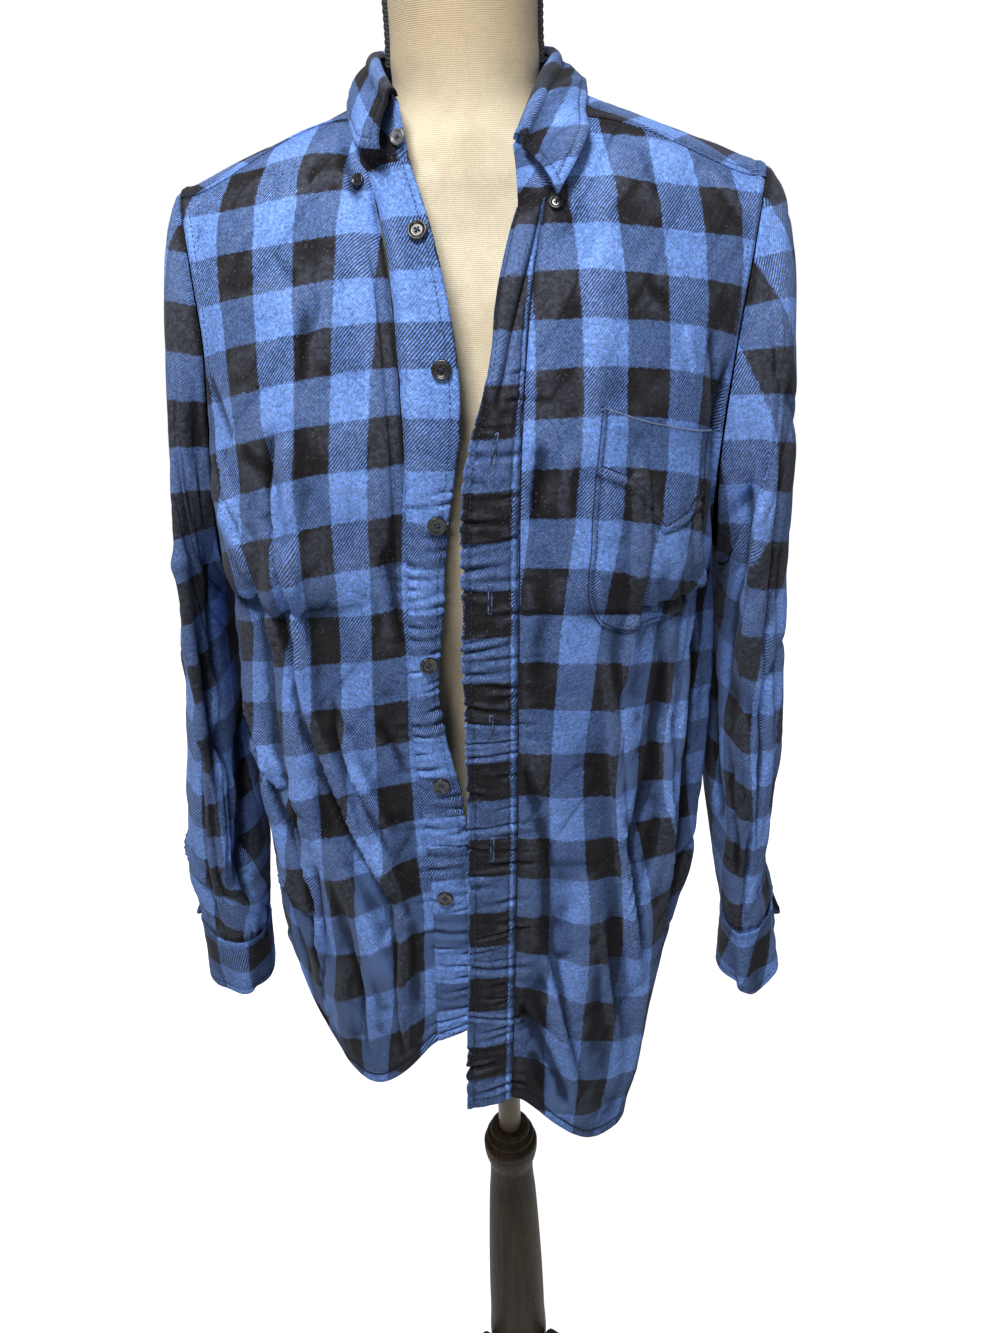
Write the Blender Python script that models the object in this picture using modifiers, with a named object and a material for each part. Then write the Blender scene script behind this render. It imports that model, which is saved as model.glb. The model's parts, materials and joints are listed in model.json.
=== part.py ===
# Flannel shirt on a limbless dress form with a pole stand.
#
# The shirt hangs open on the form: two fronts, a back, a yoke over the shoulders,
# two sleeves with open cuffs, a collar of stand and leaf, a placket, a button band,
# one patch pocket and its buttons.  Every piece of cloth is a loft through rows or
# rings worked out from the tables below, thickened to a wall.
# Left and right are the wearer's: left is +X.
import math
import numpy as np

# ---------------------------------------------------------------------------
# Sizes.  Lengths in the tables are centimetres, x to the viewer's right,
# y away from the front, z up, measured from the axis of the stand.
# ---------------------------------------------------------------------------
CM = 0.01
SHIFT_X = 0.0127        # whole object, so that its box is centred on the origin
SHIFT_Y = -0.0625

def table(columns, rows):
    """Short table with a label in front of each row: {column: values}."""
    names = columns.split()
    values = np.array([[float(c) for c in row[1:]] for row in rows])
    out = {n: values[:, i] for i, n in enumerate(names)}
    out["label"] = [row[0] for row in rows]
    return out

def col(tab, names):
    return np.stack([tab[n] for n in names.split()], -1)

def spline(k, p, t):
    """Smooth curve through the values p at the stations k."""
    k = np.asarray(k, float)
    p = np.asarray(p, float)
    flat = p.ndim == 1
    if flat:
        p = p[:, None]
    t = np.asarray(t, float)
    h = k[1:] - k[:-1]
    d = (p[1:] - p[:-1]) / h[:, None]
    m = np.empty_like(p)
    m[0], m[-1] = d[0], d[-1]
    if len(k) > 2:
        m[1:-1] = (d[:-1] * h[1:, None] + d[1:] * h[:-1, None]) / (h[1:] + h[:-1])[:, None]
    i = np.clip(np.searchsorted(k, t, side="right") - 1, 0, len(k) - 2)
    hh = h[i][..., None]
    u = ((t - k[i]) / h[i])[..., None]
    q = ((2*u**3 - 3*u**2 + 1) * p[i] + (u**3 - 2*u**2 + u) * hh * m[i]
         + (-2*u**3 + 3*u**2) * p[i+1] + (u**3 - u**2) * hh * m[i+1])
    return q[..., 0] if flat else q

def ring_spline(k, p, t):
    """Closed smooth curve, stations 0..1."""
    k = np.asarray(k, float)
    p = np.asarray(p, float)
    kk = np.concatenate([k[-3:] - 1, k, k[:3] + 1])
    pp = np.concatenate([p[-3:], p, p[:3]])
    return spline(kk, pp, np.mod(t, 1.0))

def bezier(a, b, c, d, u):
    u = u[..., None]
    return (1-u)**3*a + 3*u*(1-u)**2*b + 3*u*u*(1-u)*c + u**3*d

def smooth(x, lo, hi):
    u = np.clip((np.asarray(x, float) - lo) / (hi - lo), 0, 1)
    return u*u*(3-2*u)

def ridge(u, v, f, scale):
    """Height of a tapered ridge (or trough) that runs from (u0,v0) to (u1,v1).

    scale turns u and v into centimetres on the cloth."""
    a = np.array([f["u0"]*scale[0], f["v0"]*scale[1]])
    b = np.array([f["u1"]*scale[0], f["v1"]*scale[1]])
    p = np.stack([u*scale[0], v*scale[1]], -1)
    d = b - a
    L = np.hypot(*d) + 1e-9
    d = d / L
    along = (p - a) @ d
    bow = f.get("bow", 0.0)
    across = (p - a) @ np.array([-d[1], d[0]]) - bow * 4*np.clip(along/L,0,1)*(1-np.clip(along/L,0,1))
    e = f.get("fade", 0.25) * L
    w = smooth(along, -0.3*e, e) * (1 - smooth(along, L - e, L + 0.3*e))
    x = across / f["w"]
    lean = f.get("lean", 0.0)
    x = x * (1 + lean*np.tanh(2*x))
    prof = np.exp(-np.abs(x)**f.get("pow", 2.0))
    return f["h"] * w * prof

def folds_of(tab):
    keys = [k for k in tab if k != "label"]
    return [{k: tab[k][i] for k in keys} for i in range(len(tab["label"]))]

def fold_height(u, v, tab, scale):
    h = np.zeros(np.broadcast(u, v).shape)
    for f in folds_of(tab):
        h = h + ridge(u, v, f, scale)
    return h

def normals(P):
    """Unit normals of a grid of points."""
    du = np.gradient(P, axis=1)
    dv = np.gradient(P, axis=0)
    n = np.cross(du, dv)
    return n / (np.linalg.norm(n, axis=-1, keepdims=True) + 1e-12)

# --- neck seam: from the button band's edge, round the back, to the placket's edge
NECK = table("t x y z", [
    ("band edge",   0.000, -3.6, -6.9, 140.9),
    ("band seam",   0.065, -6.1, -6.1, 140.6),
    ("mid right",   0.140, -6.7, -3.8, 142.3),
    ("yoke right",  0.200, -6.9, -1.5, 143.5),
    ("side right",  0.310, -6.5,  2.7, 144.9),
    ("back right",  0.400, -4.0,  5.9, 145.5),
    ("back",        0.500,  0.0,  7.0, 145.7),
    ("back left",   0.600,  4.0,  5.9, 145.6),
    ("side left",   0.690,  6.6,  2.7, 145.0),
    ("top left",    0.780,  7.0, -1.3, 144.3),
    ("yoke left",   0.855,  6.5, -4.5, 143.0),
    ("mid left",    0.905,  5.6, -6.8, 140.9),
    ("placket seam",0.950,  4.6, -8.4, 138.7),
    ("placket edge",1.000,  2.9, -8.3, 138.1),
])
def neck(t):
    return spline(NECK["t"], col(NECK, "x y z"), t)

# --- armhole seams: closed loops, up the front from the underarm and down the back
ARM_L = table("t x y z", [
    ("underarm",     0.000, 17.1, -0.6, 113.4),
    ("front low",    0.070, 16.5, -4.3, 115.3),
    ("front",        0.150, 16.1, -6.6, 119.6),
    ("front mid",    0.250, 16.3, -7.5, 125.2),
    ("front high",   0.340, 16.9, -7.3, 130.4),
    ("front top",    0.420, 17.7, -6.3, 134.7),
    ("yoke front",   0.510, 18.8, -3.6, 139.2),
    ("shoulder",     0.570, 19.4, -0.6, 140.0),
    ("shoulder back",0.630, 19.4,  2.6, 139.2),
    ("back top",     0.700, 18.9,  5.6, 135.8),
    ("yoke back",    0.750, 18.5,  6.9, 132.6),
    ("back mid",     0.850, 17.8,  7.6, 124.8),
    ("back low",     0.930, 17.2,  5.2, 117.5),
])
ARM_R = table("t x y z", [
    ("underarm",     0.000, -19.2, -0.4, 113.2),
    ("front low",    0.070, -18.9, -4.0, 115.0),
    ("front",        0.150, -18.4, -6.2, 119.8),
    ("front mid",    0.250, -17.8, -7.2, 126.0),
    ("front high",   0.340, -17.4, -7.3, 130.8),
    ("front top",    0.420, -17.7, -6.4, 134.9),
    ("yoke front",   0.525, -18.6, -2.9, 139.2),
    ("shoulder",     0.575, -19.0, -0.2, 139.7),
    ("shoulder back",0.630, -19.1,  2.8, 138.8),
    ("back top",     0.700, -19.0,  5.7, 135.5),
    ("yoke back",    0.750, -18.8,  6.9, 132.4),
    ("back mid",     0.850, -18.8,  7.6, 124.6),
    ("back low",     0.930, -19.1,  5.2, 117.4),
])
def arm(side, t):
    tab = ARM_L if side == "left" else ARM_R
    return ring_spline(tab["t"], col(tab, "x y z"), t)
YOKE_FRONT = {"left": 0.510, "right": 0.525}    # where the yoke's seams meet the armhole
YOKE_BACK = 0.750
NECK_YOKE = {"left": 0.855, "right": 0.200}     # where the yoke's front seams meet the neck
NECK_SEAM = {"left": 0.950, "right": 0.065}     # where the front bands' seams meet the neck

# --- side seams, underarm to hem, by the panels' row station v
SIDE_L = table("v x y z", [
    ("underarm", 0.36, 17.1, -0.6, 113.4),
    ("ribs",     0.47, 17.2, -0.2, 104.5),
    ("waist",    0.60, 17.0,  0.2,  95.0),
    ("hip",      0.76, 16.4,  0.4,  84.5),
    ("low hip",  0.90, 14.4,  0.3,  76.3),
    ("hem",      1.00, 13.1,  0.2,  71.0),
])
SIDE_R = table("v x y z", [
    ("underarm", 0.36, -19.2, -0.4, 113.2),
    ("ribs",     0.47, -19.5, -0.2, 105.0),
    ("waist",    0.60, -19.6,  0.0,  96.5),
    ("hip",      0.76, -19.6,  0.1,  87.0),
    ("low hip",  0.90, -19.8,  0.1,  80.4),
    ("hem",      1.00, -19.6,  0.0,  76.6),
])
# armhole station of the panels' side edge by v
ARM_V = table("v front back", [
    ("yoke seam", 0.00, 1.0, 0.0),
    ("one",       0.07, 0.86, 0.13),
    ("two",       0.14, 0.71, 0.28),
    ("three",     0.21, 0.54, 0.46),
    ("four",      0.28, 0.35, 0.66),
    ("five",      0.33, 0.17, 0.85),
    ("underarm",  0.36, 0.0, 1.0),
])
def side_point(side, v, back=False):
    v = np.asarray(v, float)
    s = SIDE_L if side == "left" else SIDE_R
    low = spline(s["v"], col(s, "x y z"), np.maximum(v, 0.36))
    if back:
        t = YOKE_BACK + (1 - YOKE_BACK) * spline(ARM_V["v"], ARM_V["back"], np.minimum(v, 0.36))
    else:
        t = YOKE_FRONT[side] * spline(ARM_V["v"], ARM_V["front"], np.minimum(v, 0.36))
    high = arm(side, t)
    return np.where((v < 0.36)[..., None], high, low)

# --- front edge seams (where placket and button band join), neck to hem
NECK_V = 0.085          # row station where the neck seam ends
EDGE_L = table("v x y z", [
    ("neck",    0.085, 4.6,  -8.4, 138.7),
    ("collarbone",0.15,3.5, -10.8, 133.8),
    ("chest",   0.24,  2.6, -13.0, 125.5),
    ("bust",    0.36,  2.1, -13.6, 114.0),
    ("ribs",    0.47,  1.8, -13.5, 105.0),
    ("waist",   0.60,  1.5, -13.3,  95.5),
    ("hip",     0.76,  1.0, -13.3,  84.0),
    ("low hip", 0.90,  0.6, -13.5,  75.5),
    ("hem",     1.00,  0.4, -13.6,  70.6),
])
EDGE_R = table("v x y z", [
    ("neck",    0.085, -6.1, -6.1, 140.6),
    ("collarbone",0.15,-5.2, -9.0, 135.8),
    ("chest",   0.24,  -4.7,-12.3, 127.0),
    ("bust",    0.36,  -5.0,-13.0, 115.0),
    ("ribs",    0.47,  -5.4,-12.9, 107.0),
    ("waist",   0.60,  -5.2,-12.5,  98.5),
    ("hip",     0.76,  -5.0,-12.4,  88.5),
    ("low hip", 0.90,  -5.3,-12.3,  80.6),
    ("hem",     1.00,  -5.4,-12.2,  75.6),
])
def edge_point(side, v):
    v = np.asarray(v, float)
    e = EDGE_L if side == "left" else EDGE_R
    low = spline(e["v"], col(e, "x y z"), np.maximum(v, NECK_V))
    a, b = NECK_YOKE[side], NECK_SEAM[side]
    high = neck(a + (b - a) * np.minimum(v, NECK_V) / NECK_V)
    return np.where((v < NECK_V)[..., None], high, low)

# --- the fronts' rows: a and b are the plan controls of each row's curve, measured
# from the front edge and from the side; sag lowers the middle of the row
ROWS_L = table("v ax ay bx by sag", [
    ("yoke seam", 0.00, 3.8, -0.7, -3.6, -1.3,  0.3),
    ("neck low",  0.085,4.2, -1.2, -3.6, -2.3,  0.2),
    ("upper",     0.15, 4.4, -1.5, -3.4, -3.2,  0.0),
    ("chest",     0.24, 4.6, -1.0, -2.8, -4.6, -0.3),
    ("underarm",  0.36, 5.0, -0.6, -0.3, -8.0, -0.6),
    ("ribs",      0.47, 5.2, -0.4,  0.2, -8.4, -0.6),
    ("waist",     0.60, 5.4, -0.2,  0.0, -8.6, -0.8),
    ("hip",       0.76, 5.4,  0.0,  0.0, -8.8, -2.2),
    ("low hip",   0.90, 5.4,  0.2,  0.0, -8.6, -5.4),
    ("hem",       1.00, 5.2,  0.5, -0.4, -7.8, -10.0),
])
ROWS_R = table("v ax ay bx by sag", [
    ("yoke seam", 0.00, -3.8, -0.8,  3.6, -1.3,  0.3),
    ("neck low",  0.085,-4.2, -1.2,  3.6, -2.3,  0.2),
    ("upper",     0.15, -4.4, -1.4,  3.2, -3.2,  0.0),
    ("chest",     0.24, -4.6, -0.9,  2.4, -4.8, -0.3),
    ("underarm",  0.36, -5.0, -0.4,  0.1, -8.0, -0.6),
    ("ribs",      0.47, -5.2, -0.2, -0.1, -8.4, -0.6),
    ("waist",     0.60, -5.4, -0.2, -0.2, -8.6, -0.8),
    ("hip",       0.76, -5.2, -0.3,  0.5, -8.0, -2.2),
    ("low hip",   0.90, -4.6, -0.4,  2.0, -6.4, -5.2),
    ("hem",       1.00, -3.9, -0.5,  3.3, -4.8, -8.6),
])
HEM_PEAK = {"left": 0.54, "right": 0.52}        # where across the row the sag is deepest

FRONT_FOLDS_L = table("u0 v0 u1 v1 w h pow lean", [
    ("under pocket",  0.62, 0.30, 0.60, 0.98, 1.5,  0.70, 2.0, 0.0),
    ("pocket valley", 0.76, 0.30, 0.73, 0.90, 1.3, -0.80, 2.0, 0.0),
    ("side ridge",    0.86, 0.36, 0.85, 0.80, 1.2,  0.60, 2.0, 0.0),
    ("hip ridge",     0.50, 0.66, 0.60, 1.02, 1.2,  0.75, 2.0, 0.0),
    ("placket valley",0.20, 0.60, 0.10, 1.00, 1.8, -0.55, 2.0, 0.0),
    ("shoulder",      0.25, 0.02, 0.30, 0.30, 1.6,  0.30, 2.0, 0.0),
])
FRONT_FOLDS_R = table("u0 v0 u1 v1 w h pow lean", [
    ("long ridge",    0.52, 0.26, 0.48, 0.72, 1.3,  0.85, 2.0, 0.0),
    ("long valley",   0.62, 0.30, 0.56, 0.74, 1.3, -0.80, 2.0, 0.0),
    ("side ridge",    0.78, 0.36, 0.60, 0.86, 1.3,  0.60, 2.0, 0.0),
    ("side valley",   0.88, 0.42, 0.72, 0.95, 1.2, -0.60, 2.0, 0.0),
    ("low ridge",     0.42, 0.62, 0.22, 0.88, 1.2,  0.70, 2.0, 0.0),
    ("band roll",     0.08, 0.02, 0.05, 0.40, 0.9, -0.45, 2.0, 0.0),
])
FRONT_SCALE = (24.0, 80.0)

def front_rows(side, u, v):
    """The front's rows before any fold."""
    rows = ROWS_L if side == "left" else ROWS_R
    e = edge_point(side, v)
    s = side_point(side, v)
    a = e + np.concatenate([spline(rows["v"], col(rows, "ax ay"), v), 0*v[..., None]], -1)
    b = s + np.concatenate([spline(rows["v"], col(rows, "bx by"), v), 0*v[..., None]], -1)
    # even spacing along the row
    p = bezier(e, a, b, s, u)
    sag = spline(rows["v"], rows["sag"], v)
    k = HEM_PEAK[side]
    rise = np.sin(0.5*np.pi*np.clip(u/k, 0, 1))**1.5
    fall = np.sin(0.5*np.pi*np.clip((1-u)/(1-k), 0, 1))**1.3
    hump = np.where(u < k, rise, fall)
    z = e[..., 2] + (s[..., 2] - e[..., 2]) * smooth(u, 0, 1)
    p[..., 2] = z + sag * hump
    return p

def front_points(side, u, v, folds=None):
    """Points of a front: u from its edge seam (0) to its side (1), v down."""
    p = front_rows(side, u, v)
    tabs = [FRONT_FOLDS_L if side == "left" else FRONT_FOLDS_R] + list(folds or [])
    n = normals(p)
    if side == "right":
        n = -n
    n = -n if n[..., 1].mean() > 0 else n
    for t in tabs:
        h = fold_height(u, v, t, FRONT_SCALE)
        # seams stay where they are
        h = h * smooth(u, 0.0, 0.05) * (1 - smooth(u, 0.94, 1.0)) * smooth(v, 0.0, 0.03)
        p = p + n * h[..., None]
    return p

# --- the back, from its left side (u=-1) to its right side (u=+1)
ROWS_B = table("v cx cy cz ax bx by", [
    ("yoke seam", 0.00,  0.0, 12.0, 135.4, 8.0, -3.4, 4.2),
    ("blades",    0.14,  0.0, 13.0, 127.6, 8.4, -2.2, 4.6),
    ("upper",     0.24,  0.0, 13.4, 121.0, 8.6, -1.2, 5.2),
    ("underarm",  0.36, -0.1, 13.4, 113.0, 8.8,  0.2, 7.8),
    ("ribs",      0.47, -0.2, 13.0, 104.6, 9.0,  0.4, 8.2),
    ("waist",     0.60, -0.3, 12.8,  95.0, 9.0,  0.4, 8.4),
    ("hip",       0.76, -0.4, 13.2,  82.8, 9.0,  0.2, 8.8),
    ("low hip",   0.90, -0.5, 13.8,  71.6, 8.8, -0.2, 9.4),
    ("hem",       1.00, -0.6, 14.2,  63.2, 8.6, -0.6, 9.8),
])
BACK_FOLDS = table("u0 v0 u1 v1 w h pow lean", [
    ("centre left",   -0.12, 0.00, -0.16, 0.90, 1.4,  0.65, 2.0, 0.0),
    ("centre right",   0.13, 0.02,  0.10, 0.95, 1.3,  0.60, 2.0, 0.0),
    ("centre valley",  0.00, 0.05, -0.03, 0.98, 1.5, -0.55, 2.0, 0.0),
    ("left blade",    -0.45, 0.10, -0.38, 0.95, 1.6,  0.60, 2.0, 0.0),
    ("left valley",   -0.60, 0.20, -0.56, 0.92, 1.4, -0.55, 2.0, 0.0),
    ("right blade",    0.50, 0.14,  0.42, 0.92, 1.5,  0.65, 2.0, 0.0),
    ("right valley",   0.66, 0.26,  0.60, 0.96, 1.4, -0.55, 2.0, 0.0),
])
BACK_SCALE = (24.0, 76.0)
def yoke_back_seam(w):
    """Back yoke seam from the wearer's right armhole (w=-1) to the left one (w=1)."""
    return back_points(np.asarray(w, float), np.zeros_like(np.asarray(w, float)), flat=True)
def back_points(u, v, folds=None, flat=False):
    t = ROWS_B
    c = spline(t["v"], col(t, "cx cy cz"), v)
    ax = spline(t["v"], t["ax"], v)
    bb = spline(t["v"], col(t, "bx by"), v)
    left = u >= 0
    sL = side_point("left", v, True)
    sR = side_point("right", v, True)
    s = np.where(left[..., None], sL, sR)
    sign = np.where(left, 1.0, -1.0)
    zero = 0*ax
    a = c + np.stack([sign*ax, zero, zero], -1)
    b = s + np.stack([sign*bb[..., 0], bb[..., 1], zero], -1)
    w = np.abs(u)
    p = bezier(c, a, b, s, w)
    k = np.clip(v, 0, 1)**3
    lift = (1-k) * w**2.2 + k * smooth(w, 0.30, 0.98)
    p[..., 2] = c[..., 2] + (s[..., 2] - c[..., 2]) * lift
    if not flat:
        n = normals(p)
        n = -n if n[..., 1].mean() < 0 else n
        for tab in [BACK_FOLDS] + list(folds or []):
            h = fold_height(u, v, tab, BACK_SCALE)
            h = h * (1 - smooth(np.abs(u), 0.92, 1.0)) * smooth(v, 0.0, 0.05)
            p = p + n * h[..., None]
    return p

# --- the yoke, a U of columns from the neck (w=0) to its outer seam (w=1)
YOKE = table("u neck seg pos cx cy cz", [
    ("front right",   0.00, 0.200, 0, 0.00,  0.0,  0.0, 0.25),
    ("shoulder right",0.12, 0.270, 0, 0.42,  0.0,  0.1, 0.30),
    ("behind right",  0.23, 0.330, 0, 0.74,  0.0,  0.5, 0.50),
    ("corner right",  0.31, 0.380, 1,-1.00,  0.0,  0.9, 0.80),
    ("back right",    0.40, 0.440, 1,-0.50,  0.0,  1.2, 1.20),
    ("back",          0.50, 0.500, 1, 0.00,  0.0,  1.2, 1.30),
    ("back left",     0.60, 0.560, 1, 0.50,  0.0,  1.2, 1.20),
    ("corner left",   0.69, 0.620, 1, 1.00,  0.0,  0.9, 0.80),
    ("behind left",   0.77, 0.680, 2, 0.74,  0.0,  0.5, 0.50),
    ("shoulder left", 0.88, 0.770, 2, 0.42,  0.0,  0.1, 0.30),
    ("front left",    1.00, 0.855, 2, 0.00,  0.0,  0.0, 0.25),
])
def yoke_outer(u):
    """Outer edge of the yoke: armhole, back seam, armhole."""
    k = YOKE["u"]
    u = np.asarray(u, float)
    posR = np.interp(u, k[:4], [0.0, 0.42, 0.74, 1.0])
    posL = np.interp(u, k[7:], [1.0, 0.74, 0.42, 0.0])
    tR = YOKE_FRONT["right"] + (YOKE_BACK - YOKE_FRONT["right"]) * posR
    tL = YOKE_FRONT["left"] + (YOKE_BACK - YOKE_FRONT["left"]) * posL
    w = np.interp(u, [k[3], k[4], k[5], k[6], k[7]], [-1, -0.5, 0, 0.5, 1])
    out = np.where((u <= k[3])[..., None], arm("right", tR),
                   np.where((u >= k[7])[..., None], arm("left", tL), yoke_back_seam(w)))
    return out
def yoke_points(u, w):
    n = neck(spline(YOKE["u"], YOKE["neck"], u))
    o = yoke_outer(u)
    c = spline(YOKE["u"], col(YOKE, "cx cy cz"), u)
    ww = w[..., None]
    p = n*(1-ww) + o*ww + c*4*ww*(1-ww)
    # the two front edges are the fronts' own top rows
    for side, at in (("right", 0.0), ("left", 1.0)):
        row = front_rows(side, w, 0*w)
        e = np.full_like(u, at)
        n0 = neck(spline(YOKE["u"], YOKE["neck"], e))
        c0 = spline(YOKE["u"], col(YOKE, "cx cy cz"), e)
        own = n0*(1-ww) + yoke_outer(e)*ww + c0*4*ww*(1-ww)
        p = p + (row - own) * (np.clip(1 - np.abs(u - at)/0.12, 0, 1)**2)[..., None]
    return p

# --- front bands: from the seam (w=0) to the free edge (w=1)
BAND_R = table("v dx dy dz bow", [
    ("neck",    0.085, 2.6, -0.9,  0.4, 0.15),
    ("collar",  0.15,  3.2, -0.9,  0.1, 0.20),
    ("chest",   0.24,  3.7, -0.7,  0.0, 0.20),
    ("breast",  0.30,  2.75, -0.1, 0.0, 0.30),
    ("bust",    0.36,  2.25, 0.3,  0.0, 0.35),
    ("ribs",    0.47,  1.9,  0.4,  0.0, 0.35),
    ("last gap", 0.53, 2.40, 0.2,  0.0, 0.30),
    ("closed",  0.57,  2.85, 0.0,  0.0, 0.22),
    ("waist",   0.62,  3.0,  0.0,  0.0, 0.18),
    ("hip",     0.76,  3.0,  0.0,  0.0, 0.15),
    ("low hip", 0.90,  3.0,  0.0,  0.1, 0.15),
    ("hem",     1.00,  3.0,  0.0,  1.3, 0.15),
])
BAND_L = table("v dx dy dz bow", [
    ("neck",    0.085,-1.7,  0.1, -0.6, 0.25),
    ("collar",  0.15, -1.9, -0.1, -0.2, 0.40),
    ("open",    0.20, -2.0, -0.5,  0.0, 0.45),
    ("chest",   0.24, -3.05,-0.6,  0.0, 0.30),
    ("bust",    0.36, -3.6, -0.2,  0.0, 0.20),
    ("ribs",    0.47, -3.5, -0.2,  0.0, 0.20),
    ("waist",   0.60, -3.5, -0.3,  0.0, 0.20),
    ("hip",     0.76, -3.5, -0.3,  0.0, 0.20),
    ("low hip", 0.90, -3.6, -0.3, -0.2, 0.20),
    ("hem",     1.00, -3.7, -0.3, -0.9, 0.20),
])
def band_points(side, w, v):
    tab = BAND_L if side == "left" else BAND_R
    e = edge_point(side, v)
    d = spline(tab["v"], col(tab, "dx dy dz"), v)
    bow = spline(tab["v"], tab["bow"], v)
    p = e + d * w[..., None]
    p[..., 1] -= bow * 4*w*(1-w)
    return p

# --- sleeves.  A ring is given by its outer point, its inner (underarm) point and
# its front and back reach.  Station s runs 0 underarm, front, top, back, 1.
SLEEVE_L = table("r ox oz ix iz yf yb yc blend", [
    ("armhole",  0.00, 19.7, 140.0, 17.5, 113.3, -7.4, 7.6, 0.0, 1.00),
    ("cap 1",    0.05, 20.7, 138.7, 17.7, 112.9, -7.9, 8.0, 0.0, 0.55),
    ("cap 2",    0.11, 21.3, 135.8, 17.9, 112.4, -8.0, 8.3, 0.0, 0.22),
    ("cap 3",    0.19, 21.5, 131.0, 18.0, 111.4, -8.1, 8.6, 0.0, 0.06),
    ("upper",    0.28, 21.8, 124.5, 18.1, 109.6, -8.0, 8.7, 0.0, 0.00),
    ("bicep",    0.38, 21.9, 116.5, 18.1, 106.6, -7.7, 8.6, 0.0, 0.00),
    ("elbow",    0.50, 22.5, 107.0, 17.9, 101.0, -7.2, 8.2, 0.0, 0.00),
    ("forearm",  0.62, 23.2,  98.2, 17.9,  94.8, -6.7, 7.6, 0.0, 0.00),
    ("low arm",  0.74, 22.9,  91.0, 18.5,  89.0, -6.2, 6.8, 0.0, 0.00),
    ("wrist",    0.87, 23.7,  84.0, 19.3,  83.4, -5.6, 5.6, 0.0, 0.00),
    ("cuff",     1.00, 24.8,  79.2, 20.3,  79.0, -5.0, 4.4, 0.0, 0.00),
])
SLEEVE_R = table("r ox oz ix iz yf yb yc blend", [
    ("armhole",  0.00,-19.3, 139.7,-19.6, 113.1, -7.3, 7.6, 0.0, 1.00),
    ("cap 1",    0.05,-20.0, 138.2,-19.8, 112.7, -7.8, 8.0, 0.0, 0.55),
    ("cap 2",    0.11,-20.5, 135.2,-20.0, 112.2, -7.9, 8.3, 0.0, 0.22),
    ("cap 3",    0.19,-20.9, 130.4,-20.1, 111.2, -8.0, 8.6, 0.0, 0.06),
    ("upper",    0.28,-21.5, 124.0,-20.2, 109.4, -7.9, 8.7, 0.0, 0.00),
    ("bicep",    0.38,-22.3, 116.0,-20.3, 106.4, -7.7, 8.6, 0.0, 0.00),
    ("elbow",    0.50,-23.3, 106.6,-20.3, 100.8, -7.2, 8.2, 0.0, 0.00),
    ("forearm",  0.62,-24.6,  98.0,-20.3,  94.6, -6.8, 7.6, 0.0, 0.00),
    ("low arm",  0.74,-25.7,  90.8,-20.3,  89.0, -6.4, 6.8, 0.0, 0.00),
    ("wrist",    0.87,-27.0,  84.6,-20.5,  84.0, -5.8, 5.6, 0.0, 0.00),
    ("cuff",     1.00,-27.2,  80.4,-21.1,  80.2, -5.2, 4.6, 0.0, 0.00),
])
SLEEVE_FOLDS_L = table("u0 v0 u1 v1 w h pow lean", [
    ("front drag",   0.24, 0.10, 0.20, 0.60, 1.5,  0.60, 2.0, 0.0),
    ("front valley", 0.33, 0.16, 0.30, 0.96, 1.3, -0.70, 2.0, 0.0),
    ("outer ridge",  0.45, 0.20, 0.42, 0.90, 1.3,  0.45, 2.0, 0.0),
    ("back ridge",   0.74, 0.16, 0.78, 0.90, 1.6,  0.60, 2.0, 0.0),
    ("back valley",  0.86, 0.30, 0.88, 0.96, 1.3, -0.55, 2.0, 0.0),
    ("elbow",        0.10, 0.46, 0.34, 0.56, 1.4, -0.45, 2.0, 0.0),
])
SLEEVE_FOLDS_R = table("u0 v0 u1 v1 w h pow lean", [
    ("front ridge",  0.30, 0.12, 0.26, 0.80, 1.4,  0.60, 2.0, 0.0),
    ("front valley", 0.38, 0.22, 0.36, 0.97, 1.3, -0.75, 2.0, 0.0),
    ("inner valley", 0.20, 0.30, 0.17, 0.90, 1.4, -0.50, 2.0, 0.0),
    ("outer ridge",  0.52, 0.30, 0.48, 0.95, 1.3,  0.45, 2.0, 0.0),
    ("back ridge",   0.76, 0.14, 0.74, 0.88, 1.6,  0.60, 2.0, 0.0),
    ("elbow",        0.12, 0.50, 0.36, 0.58, 1.4, -0.45, 2.0, 0.0),
])
SLEEVE_SCALE = (38.0, 60.0)
SLIT_S = 0.66           # where the sleeve's cuff slit lies round the ring
SLIT_R = 0.80           # station where the slit begins
ANGLE = ([0, 0.14, 0.285, 0.43, 0.57, 0.68, 0.785, 0.89, 1.0],
         [0, 0.125, 0.25, 0.375, 0.5, 0.625, 0.75, 0.875, 1.0])

def sleeve_ring(side, s, r):
    tab = SLEEVE_L if side == "left" else SLEEVE_R
    q = spline(tab["r"], col(tab, "ox oz ix iz yf yb yc"), r)
    turn = spline(ANGLE[0], ANGLE[1], np.mod(s, 1.0)) * 2*np.pi
    # c: +1 at the outer point, -1 at the inner point; f: +1 front, -1 back
    c = -np.cos(turn)
    f = np.sin(turn)
    e = 0.95
    c = np.sign(c) * np.abs(c)**e
    f = np.sign(f) * np.abs(f)**e
    x = (q[..., 0] + q[..., 2])/2 + c*(q[..., 0] - q[..., 2])/2
    z = (q[..., 1] + q[..., 3])/2 + c*(q[..., 1] - q[..., 3])/2
    y = np.where(f > 0, q[..., 6] + f*(q[..., 4] - q[..., 6]), q[..., 6] - f*(q[..., 5] - q[..., 6]))
    # towards the cuff the front swings in to the body and the back swings out
    k = (1.0 if side == "left" else -1.0)*0.28*smooth(r, 0.72, 1.0)
    x = x + k*(y - q[..., 6])
    return np.stack([x, y, z], -1)

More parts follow.
